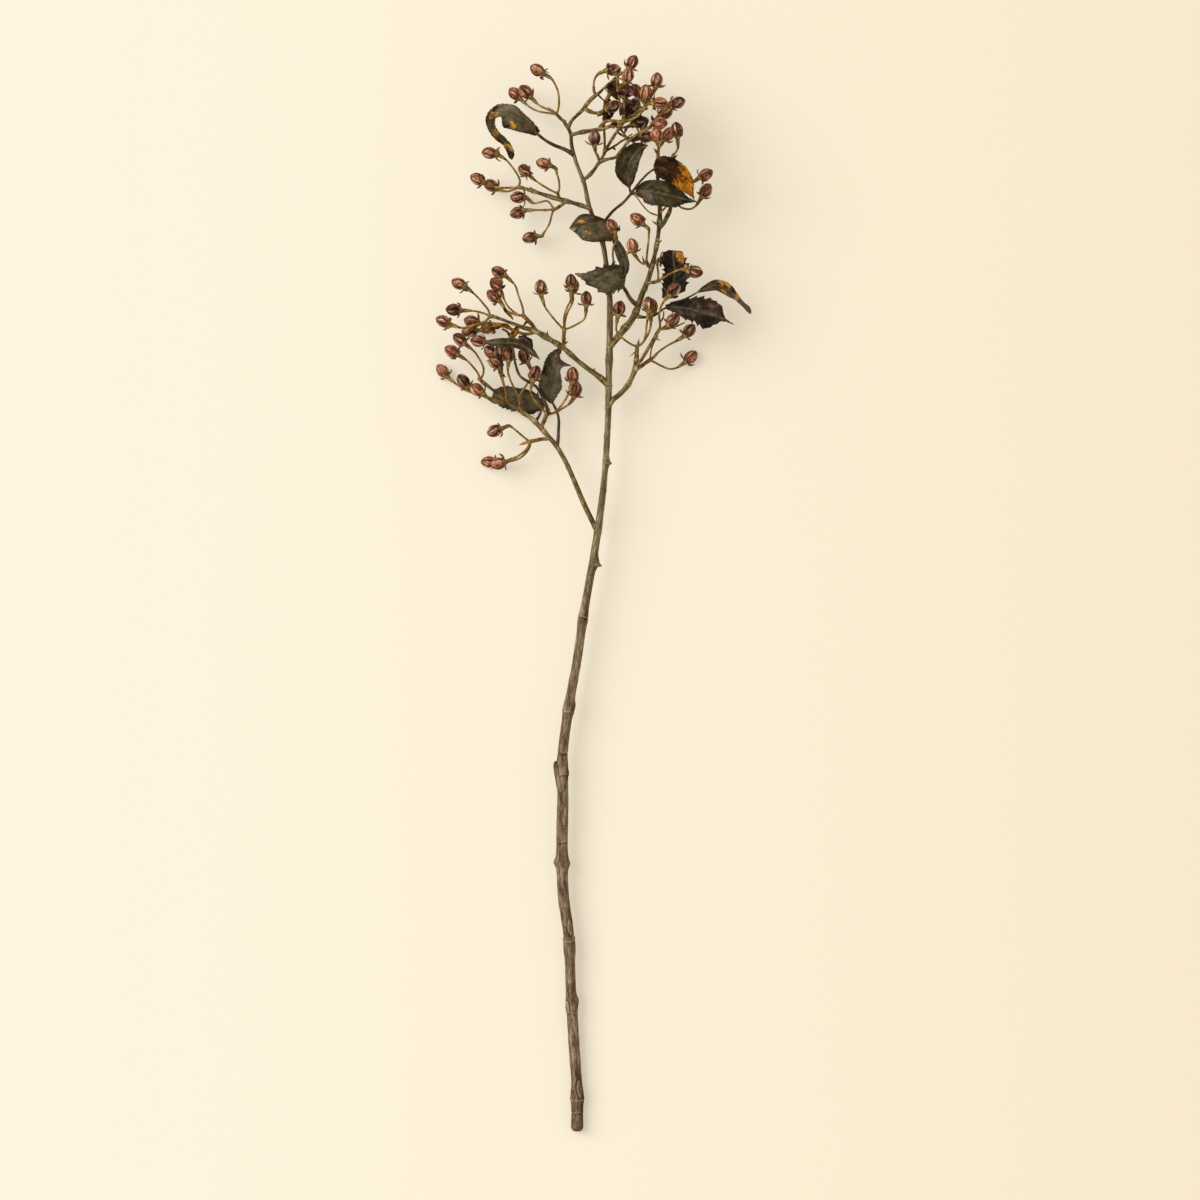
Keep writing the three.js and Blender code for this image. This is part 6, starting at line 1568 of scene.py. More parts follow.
SPRAYS: tuple[Spray, ...] = (
    Spray("spray_top_left", (Twig(((-8, 706.6, 31.4), (-11, 709, 32.6), (-14.6, 712.6, 34)), 1.1),), (
        Berry((-27.5, 743, 40), 149, 10, ((-14, 712, 34), (-12.7, 716), (-12.2, 722), (-13, 728), (-15, 733),
            (-17.4, 736.6)), spread=Spread.BENT_BACK),
        Berry((-43, 727, 12), 135, -10, ((-14, 712, 34), (-20, 713), (-27, 714.5), (-33, 717.6))),
        Berry((-35.6, 728, 26), 133, 5, ((-14, 712, 34), (-20.5, 715.6), (-26, 718.4))),
    )),
    Spray("spray_upper_left_inner", (Twig(((-11.6, 652.8, 28), (-12.6, 655, 30.4), (-13.4, 657.6, 32.4)),
        1.1),), (
        Berry((-23.4, 677.5, 38), 164, 5, ((-13, 656.6, 31.6), (-12, 660), (-12.2, 665), (-13.8, 671),
            (-14.6, 674))),
        Berry((-36.6, 673, 37), 135, 50, ((-13, 656.6, 31.6), (-20, 660), (-27, 664.5), (-31.6, 668)),
            sepals=((-39.5, 675.5), (-33, 676.5), (-30, 670), (-34.5, 665.5), (-39.5, 668.5))),
    )),
    Spray("spray_upper_left_end", (Twig(((-39.4, 661, 23.4), (-41.6, 661.2, 22.8)), 1.25,
        after="branch_upper_left"),), (
        Berry((-61, 685, 30), 171, 5, ((-40.4, 661.2, 23.2), (-39.6, 665.5), (-40.8, 669), (-44, 674),
            (-49, 680)), spread=Spread.BENT_BACK),
        Berry((-69.5, 667, 22), 150, 0, ((-40.2, 661, 23.2), (-48, 660.8), (-54, 661), (-58, 661.6)),
            sepals=((-66.5, 671), (-70, 660.5))),
        Berry((-60, 662.7, 9.6), 152, 0, ((-40.4, 661, 23), (-45, 659.2), (-49, 658.4)),
            sepals=((-60, 656),)),
    )),
    Spray("spray_upper_left_lower", (Twig(((-7.4, 651.4, 28), (-10.4, 648.8, 26.6), (-13, 647, 25.4),
        (-17.4, 645, 24)), 1.2),), (
        Berry((-41.6, 643.3, 18), 198, -5, ((-16, 645.6, 24.4), (-24, 645.3), (-31, 645.3)),
            sepals=((-40.5, 648.5), (-38, 638))),
        Berry((-33, 626, 12), 192, 0, ((-16, 645.6, 24.4), (-17.6, 641), (-18.5, 637), (-20.5, 633),
            (-23, 629.2), (-24, 627.4)), tone=Tone.DARK, sepals=((-30, 631.5), (-29, 620))),
        Berry((-41, 654.4, 12), 178, 0, ((-16, 645.6, 24.4), (-18, 649.4), (-20.6, 651.6), (-25, 651),
            (-30, 650.2))),
    )),
    Spray("spray_top_end", (Twig(((30.4, 740, 45.1), (31.8, 741.2, 45.4)), 1, after="branch_top"),), (
        Berry((39, 748.2, 46), 59, 5, ((30.6, 740, 45.2), (32.4, 740.6), (33.4, 741.4))),
    )),
    Spray("spray_top_middle", (Twig(((13.4, 725.2, 40), (12.2, 728.4, 41), (12, 731, 41.6)), 0.95),), (
        Berry((26, 743, 40), 6, 0, ((12.2, 729, 41.2), (12, 733), (13, 737), (15, 739.8)), tone=Tone.DARK),
    )),
    Spray("spray_top_side", (Twig(((5.4, 716.4, 36.8), (8, 714.8, 36), (10.6, 714, 35)), 1.05),), (
        Berry((25.4, 717.6, 33), 30, 0, ((9.4, 714.4, 35.4), (12.4, 713.4), (15, 713)), tone=Tone.DARK),
    )),
    Spray("spray_crown_left", (Twig(((33.6, 707.8, 41.8), (33.6, 710.4, 44), (33, 713, 46)), 0.95),), (
        Berry((36, 738.6, 55), 68, 5, ((33.2, 712, 45.4), (31, 718), (29.5, 724), (29.2, 729)),
            tone=Tone.PINK),
    )),
    Spray("spray_crown_middle", (Twig(((47.6, 716.9, 44.4), (49.2, 718.2, 45)), 1.05, after="branch_crown"),),
        (
        Berry((56, 735.6, 49), 82, 5, ((48.4, 717.6, 44.8), (50.6, 721), (52.6, 725)), tone=Tone.PINK),
        Berry((48.4, 727, 52), 92, 20, ((48.2, 717.4, 44.6), (48.6, 719)), tone=Tone.PINK),
        Berry((41.6, 728.6, 40), 120, 10, ((48, 717.2, 44.6), (46.4, 720.6))),
        Berry((58.4, 719.2, 60), 0, 10, ((48.4, 717.6, 44.8), (49.6, 718.4)), tone=Tone.PINK, split=True),
    )),
    Spray("spray_crown_inner", (Twig(((17, 679.4, 35), (18.2, 682, 34.4), (20, 685.4, 33.4),
        (23.2, 692, 32.4), (26.4, 697.4, 31.8), (30.6, 702.6, 31.2)), 0.95),), (
        Berry((40.4, 718, 27), 58, 0, ((29.6, 701.6, 31.2), (33, 706), (35, 709)), tone=Tone.DARK),
        Berry((33.4, 728.4, 33), 92, 5, ((29.6, 701.6, 31.2), (31.6, 707), (33, 714)), tone=Tone.DARK),
        Berry((45.6, 706.6, 31), 20, 0, ((29.8, 701.8, 31.2), (33.4, 703)), tone=Tone.BLACK),
        Berry((26, 731, 26), 60, 0, ((19, 684, 34), (19.8, 692), (19.5, 702), (19.2, 712), (19.4, 719)),
            tone=Tone.DARK),
        Berry((49.6, 696.6, 33), 5, 0, ((20.4, 686.2, 33.2), (27, 690), (33, 694)), tone=Tone.DARK),
    )),
    Spray("spray_crown_small", (Twig(((16.4, 678.4, 35), (15.2, 681.6, 37.6), (14.4, 683.6, 39.4)), 0.9),), (
        Berry((12.6, 695.2, 45), 90, 0, ((14.8, 682.8, 38.6), (13.4, 685.4)), tone=Tone.DARK),
    )),
    Spray("spray_crown_right", (Twig(((51.6, 702.8, 45), (53.2, 704.4, 45.4)), 1,
        after="branch_upper_right"),), (
        Berry((71, 720, 50), 14, 5, ((52.4, 703.6, 45.2), (55, 707.4), (57.8, 710.6), (60.4, 713.6)),
            tone=Tone.DARK, sepals=((68, 724.5), (71.5, 713.5), (63.5, 720))),
        Berry((62.4, 713, 37.6), 30, 0, ((52.4, 703.6, 45.2), (54, 706.4))),
        Berry((58.4, 705.2, 55), 2, 20, ((51.8, 703, 45), (52, 703.4)), tone=Tone.PINK),
    )),
    Spray("spray_crown_front", (Twig(((57.2, 686, 49.5), (57.4, 688, 50.4)), 1,
        after="branch_middle_right"),), (
        Berry((56, 697.4, 64), 95, 10, ((57.2, 686.8, 50), (57, 688.6)), tone=Tone.PINK),
        Berry((64.4, 698, 42), 50, 0, ((57.2, 686.8, 50), (58.4, 689)), tone=Tone.PINK),
    )),
    Spray("spray_crown_low_right", (Twig(((67.2, 682, 50), (68, 684, 50.8)), 0.95,
        after="branch_right_fork"),), (
        Berry((70, 700.6, 54), 96, 5, ((67.8, 683, 50.4), (69.6, 685.4), (70.8, 687.8)), tone=Tone.DARK,
            sepals=((74, 696.5),)),
    )),
    Spray("spray_right_edge", (Twig(((66.2, 648.6, 42.8), (68.4, 649.4, 42), (70.6, 649.8, 41)), 0.95),), (
        Berry((90.4, 658.6, 30), 58, 0, ((69.6, 649.6, 41.4), (74, 646.4), (80, 645.8), (83.2, 647.8)),
            sepals=((84, 658), (94, 654))),
        Berry((90.6, 670, 42), 28, 5, ((69.6, 649.6, 41.4), (73.4, 656), (77.6, 661.4)), sepals=((85, 673.5),
            (92.5, 665.5), (87.5, 662.5))),
    )),
    Spray("spray_right_inner", (Twig(((52.8, 604, 36.8), (50.4, 606, 38.4), (48.6, 609.2, 40.2)), 1.25),), (
        Berry((42.4, 638.2, 47), 141, 0, ((48.8, 608.6, 40), (49.4, 615), (50.2, 622), (50.6, 628),
            (50.4, 631.6)), sepals=((45.5, 642), (48.5, 639), (41, 632))),
        Berry((39, 620, 47), 103, 0, ((49.2, 608, 39.6), (46.4, 607.4), (43.6, 609.6)), tone=Tone.SALMON,
            sepals=((45, 618), (35.5, 613.5))),
    )),
    Spray("spray_middle", (Twig(((20.8, 604, 24), (24.6, 606, 27.4), (26.4, 609, 30)), 0.9),), (
        Berry((24.6, 633.6, 46), 114, 0, ((26, 608.2, 29.4), (25.4, 614), (26, 620), (28, 623.6)),
            sepals=((30, 635), (30.5, 632))),
    )),
    Spray("spray_right_middle", (Twig(((49, 594.2, 35), (53.6, 594.4, 37.4), (56, 595, 39.6),
        (58, 595.8, 41.4)), 1.2),), (
        Berry((63.6, 610.4, 26.6), 0, 0, ((57, 595.4, 40.4), (57.2, 600), (56.6, 606), (56.4, 609)),
            tone=Tone.BLACK, sepals=((61, 617),)),
        Berry((83, 601.6, 47), 352, 0, ((57, 595.4, 40.4), (62, 598.2), (66, 600.6), (71, 602.8),
            (74, 603.4)), tone=Tone.DARK, sepals=((81, 607), (79, 597))),
    )),
    Spray("spray_lower_right_inner", (Twig(((42.4, 548.8, 27.4), (42.8, 550.4, 28.6)), 1.25,
        after="branch_lower_right"),), (
        Berry((30, 576, 42), 78, 0, ((42.6, 549.4, 28), (38, 551.4), (33, 554.8), (29, 558.6), (27.8, 561.6)),
            split=True, sepals=((25, 570.5), (35, 570.5))),
        Berry((50.2, 579.2, 44), 93, 0, ((42.6, 549.4, 28), (46.5, 552.4), (48.4, 558), (49, 564)),
            spread=Spread.HUGGING),
        Berry((52.6, 577.4, 32.4), 85, 0, ((42.6, 549.4, 28), (46.6, 552.8), (50, 558), (51.8, 563.6)),
            spread=Spread.HUGGING, sepals=((57, 579), (56, 574))),
    ), buds=(((42.8, 549.4, 28.6), (43.4, 554, 31)),)),
    Spray("spray_lower_right_outer", (Twig(((41.2, 536, 24.2), (44.8, 539.6, 25.4), (48, 544.6, 27),
        (51, 549.6, 28.4), (54, 555, 29.8), (57, 560, 31), (59, 563, 32)), 1.15),), (
        Berry((67.6, 568.2, 37), 45, 0, ((57.6, 561.2, 31.4), (59, 561.6))),
        Berry((68.4, 589, 52), 50, 0, ((58.6, 562.4, 31.8), (58.2, 567), (57.8, 572), (59, 577),
            (61.4, 581.4)), tone=Tone.PINK, split=True, sepals=((71.5, 584.5),)),
    )),
    Spray("spray_lower_right_end", (Twig(((40.6, 533, 23.8), (44.4, 535.4, 23.2), (48, 538, 22.2),
        (52, 540.8, 21)), 1.3),), (
        Berry((79, 561.2, 18), 47, 0, ((51.4, 540.4, 21.2), (57, 545.6), (63, 550), (69, 553.2)),
            sepals=((80, 554.5),)),
        Berry((80, 542.6, 4.8), 43, 0, ((51.4, 540.4, 21.2), (55, 538.6), (60, 536), (65, 534.2),
            (69.6, 534.8))),
    )),
    Spray("spray_middle_left_upright", (Twig(((-9, 548.6, 27), (-9, 552, 30), (-8.8, 557, 32.4),
        (-8.6, 562.4, 34.4)), 1.35),), (
        Berry((-25, 591, 42), 93, 0, ((-8.8, 561.4, 34), (-10.6, 563.2), (-15, 568), (-19, 573),
            (-21.8, 577)), spread=Spread.HUGGING, sepals=((-30.5, 587.5), (-19.5, 588))),
        Berry((-3.8, 595.2, 49), 91, 0, ((-8.8, 561.4, 34), (-8.8, 568), (-8, 573), (-6, 578), (-4.4, 581)),
            split=True, spread=Spread.HUGGING, sepals=((-9, 593), (2, 592))),
        Berry((-2.2, 592, 38), 80, 0, ((-8.6, 561.4, 34), (-7.8, 568), (-6, 574), (-3, 580))),
        Berry((6.8, 583.4, 40), 90, 0, ((-8.6, 561.4, 34), (-4, 563), (0, 565), (4.2, 567.6), (6, 569.8)),
            split=True, spread=Spread.HUGGING, sepals=((0.5, 580), (12.5, 579.5))),
    )),
    Spray("spray_middle_left_high", (Twig(((-27.8, 560, 29.4), (-31, 564.8, 32.4), (-34.4, 568.4, 35),
        (-38, 572, 37)), 1.35),), (
        Berry((-54.6, 601.4, 50), 153, 0, ((-37.2, 571.2, 36.6), (-37.2, 574), (-38, 578), (-40.5, 585),
            (-42.8, 592)), split=True, sepals=((-48, 602.5), (-53, 594.5))),
        Berry((-56.4, 593.4, 41), 130, 35, ((-37.2, 571.2, 36.6), (-41, 571.8), (-45, 574.8),
            (-48.6, 578.6))),
        Berry((-58, 585, 34), 140, 0, ((-37.4, 571.2, 36.4), (-42, 571.6), (-46, 573.2), (-49, 575))),
    )),
    Spray("spray_middle_left_outer", (Twig(((-60, 570.8, 27.3), (-62, 570.4, 27)), 1.3,
        after="branch_middle_left"),), (
        Berry((-82.4, 593.6, 38), 155, 0, ((-60.4, 570.8, 27.3), (-61.6, 575), (-65, 579.4), (-70, 585)),
            spread=Spread.BENT_BACK, sepals=((-82, 587),)),
        Berry((-86, 575.4, 28), 175, 0, ((-60, 570.6, 27.2), (-64, 572.6), (-68, 573.8), (-72, 574.6)),
            tone=Tone.DARK, split=True, sepals=((-84, 580.5), (-83.5, 569.5))),
        Berry((-93.6, 567.6, 24), 155, 0, ((-60.6, 570.6, 27.2), (-64, 567.4), (-72, 564.6), (-80, 562.8))),
    )),
    Spray("spray_middle_left_under", (Twig(((-28.4, 560, 29.2), (-34, 558.4, 26.6), (-41, 559.8, 23.6),
        (-48, 563, 20.6), (-55, 565.6, 18.2)), 1.05),), (
        Berry((-73.4, 567.4, 14), 165, 0, ((-53.6, 565.2, 18.6), (-57, 566), (-61, 566.4))),
        Berry((-75.4, 560.6, 5.6), 185, 0, ((-53.6, 565.2, 18.6), (-60, 564), (-65, 562))),
        Berry((-62.6, 562.6, 7.4), 200, 0, ((-50, 563.8, 20), (-51.4, 564.6))),
        Berry((-69, 553.5, 28), 172, 0, ((-41, 559.8, 23.6), (-45, 555), (-50, 552.6), (-57, 552)),
            sepals=((-67, 547.5), (-63.5, 556.5))),
    )),
    Spray("spray_lower_left_outer", (Twig(((-67, 526.2, 14), (-68.6, 528, 14.8)), 1.2,
        after="branch_lower_left"),), (
        Berry((-82, 555, 25), 140, 0, ((-67.4, 526.8, 14.2), (-65.4, 530.6), (-65.2, 535), (-68, 541),
            (-71.4, 546)), tone=Tone.DARK, sepals=((-74.5, 556), (-76, 549), (-82, 549.5))),
        Berry((-87.4, 546.6, 16), 150, 0, ((-67.4, 526.6, 14.2), (-69, 531), (-72, 535), (-76, 539.4)),
            sepals=((-81.5, 546.5), (-89, 542), (-85, 541))),
    )),
    Spray("spray_lower_left_end", (Twig(((-49.8, 512, 12.8), (-52, 511.2, 14.6), (-54.2, 511, 16)), 0.95),), (
        Berry((-94, 533, 4.9), 130, 0, ((-53, 511.2, 15.2), (-60, 513), (-68, 516), (-77, 519), (-84, 523.4)),
            tone=Tone.SALMON, sepals=((-95.5, 527.5), (-87.5, 534))),
        Berry((-79.2, 525.6, 16.6), 125, 0, ((-53, 511.2, 15.2), (-60, 513.8), (-66, 515.4), (-72, 517)),
            tone=Tone.DARK, split=True, sepals=((-80, 519), (-72.5, 527))),
        Berry((-69.4, 519.4, 28), 146, 0, ((-53.2, 511, 15.4), (-56, 510.2), (-59.4, 511.4)),
            tone=Tone.SALMON, sepals=((-68.5, 513.5),)),
    )),
    Spray("spray_lower_left_fork", (Twig(((-47, 510.2, 12.6), (-48.4, 512.4, 15.4), (-49, 515, 17.4)), 1),), (
        Berry((-60, 545.8, 19), 130, 0, ((-48.8, 514, 16.8), (-50, 520), (-52.4, 527), (-54.6, 534))),
        Berry((-57.4, 538.8, 34), 130, 20, ((-48.8, 514, 16.8), (-50, 520), (-51.6, 526), (-53.4, 531))),
        Berry((-53.4, 545.6, 27), 95, 0, ((-48.8, 514, 16.8), (-50, 520), (-51.4, 526), (-52, 532))),
    )),
    Spray("spray_lower_left_upright", (Twig(((-38.4, 504, 13.4), (-38.8, 507.6, 16.4), (-39.4, 511.4, 18.4),
        (-40.2, 516, 20.4)), 1.3),), (
        Berry((-47.6, 544.6, 34), 92, 0, ((-40, 515, 20), (-42, 518), (-44.8, 523), (-47, 528.4),
            (-48, 532.6))),
        Berry((-37, 543, 24), 122, 0, ((-40, 515, 20), (-37.6, 519), (-34.6, 523.4), (-32, 528),
            (-31.2, 531.4)), tone=Tone.DARK),
    )),
    Spray("spray_lower_left_inner", (Twig(((-24.8, 492.6, 15.4), (-23.4, 496, 17.4), (-22, 499.4, 19),
        (-20.2, 503, 20.4)), 1.4),), (
        Berry((-28.8, 530.8, 38), 72, 0, ((-20.6, 502, 20), (-23.6, 505.6), (-27.2, 509.6), (-30.6, 514),
            (-32, 518)), tone=Tone.DARK, split=True, sepals=((-33.5, 528.5), (-24.5, 525.5))),
        Berry((-2.8, 529.8, 28), 85, 0, ((-20.8, 502, 20), (-15, 504), (-11, 508), (-7.8, 512.4),
            (-5.6, 517)), sepals=((-8.5, 529), (1.5, 526))),
        Berry((-0.4, 519.6, 16), 75, 0, ((-20.8, 502, 20), (-15, 503.4), (-10, 506.4), (-5.4, 509.4))),
    )),
    Spray("spray_lower_left_bottom", (Twig(((-18.4, 485.6, 16), (-24, 485, 15), (-28.4, 484.2, 14.2),
        (-33.6, 483, 13.4)), 1.3),), (
        Berry((-57.4, 490.6, 19), 200, 0, ((-32.6, 483.2, 13.6), (-36.4, 486), (-40, 489), (-44, 492.4),
            (-47, 494.2)), sepals=((-55.5, 496), (-54, 485.5))),
        Berry((-55, 468, 14), 190, 0, ((-32.8, 483, 13.6), (-34, 479.6), (-37, 476), (-41.6, 472.8)),
            sepals=((-49.5, 463),)),
        Berry((-61.6, 469, 4.8), 180, 0, ((-32.4, 483, 13.6), (-32.6, 480), (-35.4, 475.4), (-40, 471.6),
            (-47, 469.4)), sepals=((-57, 474),)),
    ), buds=(((-33, 483, 13.6), (-38.8, 481.6, 14)),)),
)

SCRAPS: tuple[Scrap, ...] = (
    Scrap(((42.6, 548), (43.8, 555)), 1.2, Tint.PINK, 2.5),
    Scrap(((42, 547), (37, 542.4)), 0.5, Tint.STRAW, 1),
    Scrap(((53.6, 541), (57.4, 545)), 1.1, Tint.ORANGE, 3),
    Scrap(((55.6, 554.6), (59, 554.2)), 0.8, Tint.PINK),
    Scrap(((53.6, 557.4), (55.8, 560.4)), 0.9, Tint.BLACK),
    Scrap(((47.4, 608.4), (46, 613)), 0.8, Tint.PINK, 2),
    Scrap(((-71, 529), (-66.6, 525.6)), 1.2, Tint.ORANGE),
    Scrap(((-18.6, 506.6), (-20.6, 503.4)), 1.2, Tint.ORANGE, 3),
    Scrap(((-20, 506), (-17.4, 503.6)), 0.8, Tint.BLACK, 4),
    Scrap(((-33.6, 483), (-40.4, 480.8)), 1.2, Tint.ORANGE, 2),
    Scrap(((-89, 558.4), (-93.6, 561)), 1.1, Tint.ORANGE, 2),
    Scrap(((-88.6, 559), (-91.4, 564)), 0.9, Tint.BLACK, 1),
    Scrap(((-47, 664), (-42, 660.8)), 1.0, Tint.ORANGE, 1),
    Scrap(((-22.8, 643), (-19, 645)), 1.0, Tint.BROWN, 3),
    Scrap(((-41.8, 575.4), (-39.8, 570.4)), 1.1, Tint.ORANGE, 2),
    Scrap(((-15, 713), (-20.4, 717)), 1.0, Tint.BROWN, 2),
    Scrap(((59.4, 560), (66, 562.6), (71, 564.4), (75.6, 566.6)), 0.7, Tint.STRAW, 1),
    Scrap(((-7.6, 551), (-5.6, 553.4)), 0.7, Tint.BLACK),
    Scrap(((-54, 574.6), (-48.6, 573)), 0.8, Tint.BLACK, 3),
    Scrap(((-36, 566), (-38, 563.4)), 1.0, Tint.BLACK, 3),
    Scrap(((-50.4, 530.6), (-49.4, 528)), 0.8, Tint.BLACK, 1),
    Scrap(((-20, 556), (-20.4, 561)), 0.7, Tint.BROWN, 2),
    Scrap(((-30.4, 657), (-32.6, 661.6)), 0.8, Tint.BROWN, 2),
    Scrap(((41, 570), (47, 571)), 1.5, Tint.PINK, 2),
    Scrap(((31, 559.6), (33, 563.4)), 0.9),
    Scrap(((11, 531.6), (13, 534.6))),
    Scrap(((-7.6, 464), (-5, 467)), 0.8, Tint.BROWN, 1),
    Scrap(((56, 621), (60, 624)), 0.9),
    Scrap(((57, 634), (52.6, 637.4)), 0.8, Tint.STRAW, 2),
    Scrap(((46, 716), (42, 718.6)), 0.9, Tint.BROWN, 2),
    Scrap(((34, 709), (36.6, 712.4)), 0.8, Tint.BLACK, 3),
    Scrap(((30, 702), (26, 704.6)), 0.9, Tint.ORANGE, 2),
    Scrap(((57, 684), (54, 688)), 1.0, Tint.BROWN, 3),
    Scrap(((67, 680), (70.6, 683.4)), 0.9, Tint.BLACK, 2),
    Scrap(((50, 702), (53.6, 705)), 0.9, Tint.BROWN, 3),
    Scrap(((51, 542), (52.5, 548), (54.5, 553), (57, 557)), 0.55, Tint.STRAW),
    Scrap(((59.5, 643), (61.2, 645.6), (63, 647.5)), 0.8, Tint.ORANGE, 3),
    Scrap(((56, 640.6), (51, 643.4), (46.4, 648), (43, 652.6), (40, 656)), 0.55, Tint.STRAW, 1),
    Scrap(((59.5, 566), (60.6, 570), (61, 574)), 0.6, Tint.BROWN, 2),
    Scrap(((-46, 555.5), (-47, 558), (-49, 560.5), (-52, 562)), 1.1, Tint.BROWN, 2),
    Scrap(((28.6, 736.4), (29, 726), (30.8, 718), (33.6, 710)), 0.9, Tint.STRAW, 2),
    Scrap(((29, 684.6), (34, 690), (40, 696), (46, 699.6), (52, 702)), 1.0, Tint.STRAW, 5),
    Scrap(((20, 703), (28, 705), (35, 707), (41, 709.4), (47, 715), (52, 723), (54, 730)), 1.15, Tint.STRAW,
        6),
    Scrap(((20, 686), (26, 696), (32, 706), (34.4, 708)), 1.1, Tint.STRAW, 5),
    Scrap(((22, 686), (30, 692), (39, 698)), 0.7, Tint.BROWN, 4),
    Scrap(((22, 731), (29, 728)), 2.2, Tint.BLACK, 0),
    Scrap(((30, 731), (36, 727)), 2.4, Tint.WINE, 1),
    Scrap(((27, 725), (33, 729)), 2.2, Tint.BLACK, 2),
    Scrap(((20, 712), (26, 718)), 2.6, Tint.WINE, 0),
    Scrap(((22, 708), (27, 714)), 2.2, Tint.BLACK, 1),
    Scrap(((20, 719), (27, 715)), 1.8, Tint.WINE, 3),
    Scrap(((24, 704), (31, 708)), 1.8, Tint.BLACK, 0),
    Scrap(((36, 716), (43, 712)), 2.4, Tint.BLACK, 0),
    Scrap(((38, 704), (45, 708)), 2.4, Tint.BLACK, 0),
    Scrap(((44, 703), (50, 708)), 2.0, Tint.WINE, 0),
    Scrap(((34, 718), (40, 722)), 2.2, Tint.WINE, 1),
    Scrap(((41, 691), (47, 695)), 2.0, Tint.WINE, 1),
    Scrap(((27.6, 700), (34, 696), (41, 692)), 0.8, Tint.STRAW, 0),
    Scrap(((30, 703), (35, 696), (41, 691)), 0.7, Tint.BROWN, 3),
    Scrap(((21, 724.6), (19.4, 716), (18.8, 707), (19.4, 690)), 0.6, Tint.STRAW, 1),
    Scrap(((15, 725), (20, 721), (24, 719)), 0.6, Tint.BROWN, 1),
    Scrap(((24, 733), (21.4, 729)), 1.2, Tint.BLACK, 3),
    Scrap(((26, 727), (30, 724.6)), 1.3, Tint.BLACK, 3),
    Scrap(((32, 726), (35.4, 722.4)), 1.3, Tint.BROWN, 2),
    Scrap(((38, 731), (41, 728)), 1.0, Tint.BLACK, 3),
    Scrap(((22, 710), (19, 706)), 1.3, Tint.BROWN, 3),
    Scrap(((24, 706), (27, 702)), 1.4, Tint.BROWN, 4),
    Scrap(((41, 700), (44, 697)), 1.2, Tint.BLACK, 4),
    Scrap(((36, 700), (33, 697.6)), 1.1, Tint.BROWN, 4),
    Scrap(((46, 694), (49, 691)), 1.3, Tint.BROWN, 4),
    Scrap(((24.6, 690), (27.6, 686.6)), 0.9, Tint.BLACK, 2),
    Scrap(((24, 718), (19.5, 713.5)), 1.7, Tint.WINE, 2),
    Scrap(((26, 714), (30.5, 710)), 1.7, Tint.BLACK, 2),
    Scrap(((25, 711), (21.5, 706.5)), 1.5, Tint.BLACK),
    Scrap(((29, 719), (32.5, 715)), 1.5, Tint.WINE, 2),
    Scrap(((38, 718), (42.6, 721.6)), 1.6, Tint.BLACK, 2),
    Scrap(((36, 714), (31.5, 711.4)), 1.4, Tint.WINE, 2),
    Scrap(((44, 710), (48.6, 706.4)), 1.7, Tint.BLACK),
    Scrap(((46.5, 713), (50.4, 715.6)), 1.4, Tint.WINE, 2),
    Scrap(((33, 728), (37.4, 725)), 1.5, Tint.WINE, 2),
    Scrap(((31, 725), (27, 728)), 1.3, Tint.BLACK, 2),
    Scrap(((41, 730), (36.8, 727.9)), 1.2, Tint.BLACK, 2),
    Scrap(((22, 731), (26, 734)), 1.2, Tint.BLACK, 2),
    Scrap(((5.6, 716), (9, 713.8), (13, 712.8), (18, 712.4)), 1.35, Tint.STRAW, 2),
    Scrap(((15, 704.4), (20, 706.6), (26, 707.4), (32, 706)), 1.3, Tint.STRAW, 2),
    Scrap(((22, 722), (28, 716)), 2.1, Tint.BLACK, 0.5),
    Scrap(((21, 716), (14.4, 710.2)), 2.1, Tint.WINE, 2),
    Scrap(((30, 708.6), (24, 704.8)), 1.9, Tint.BLACK),
    Scrap(((27, 722), (23, 727)), 1.8, Tint.BLACK, 2),
    Scrap(((40, 712), (46.6, 706.6)), 2.1, Tint.BLACK, 2),
    Scrap(((38, 709), (44, 703.6)), 1.9, Tint.BLACK, 2),
    Scrap(((35, 722), (41, 719)), 1.8, Tint.WINE, 2),
    Scrap(((33, 732), (28.6, 729)), 1.8, Tint.WINE, 2),
)

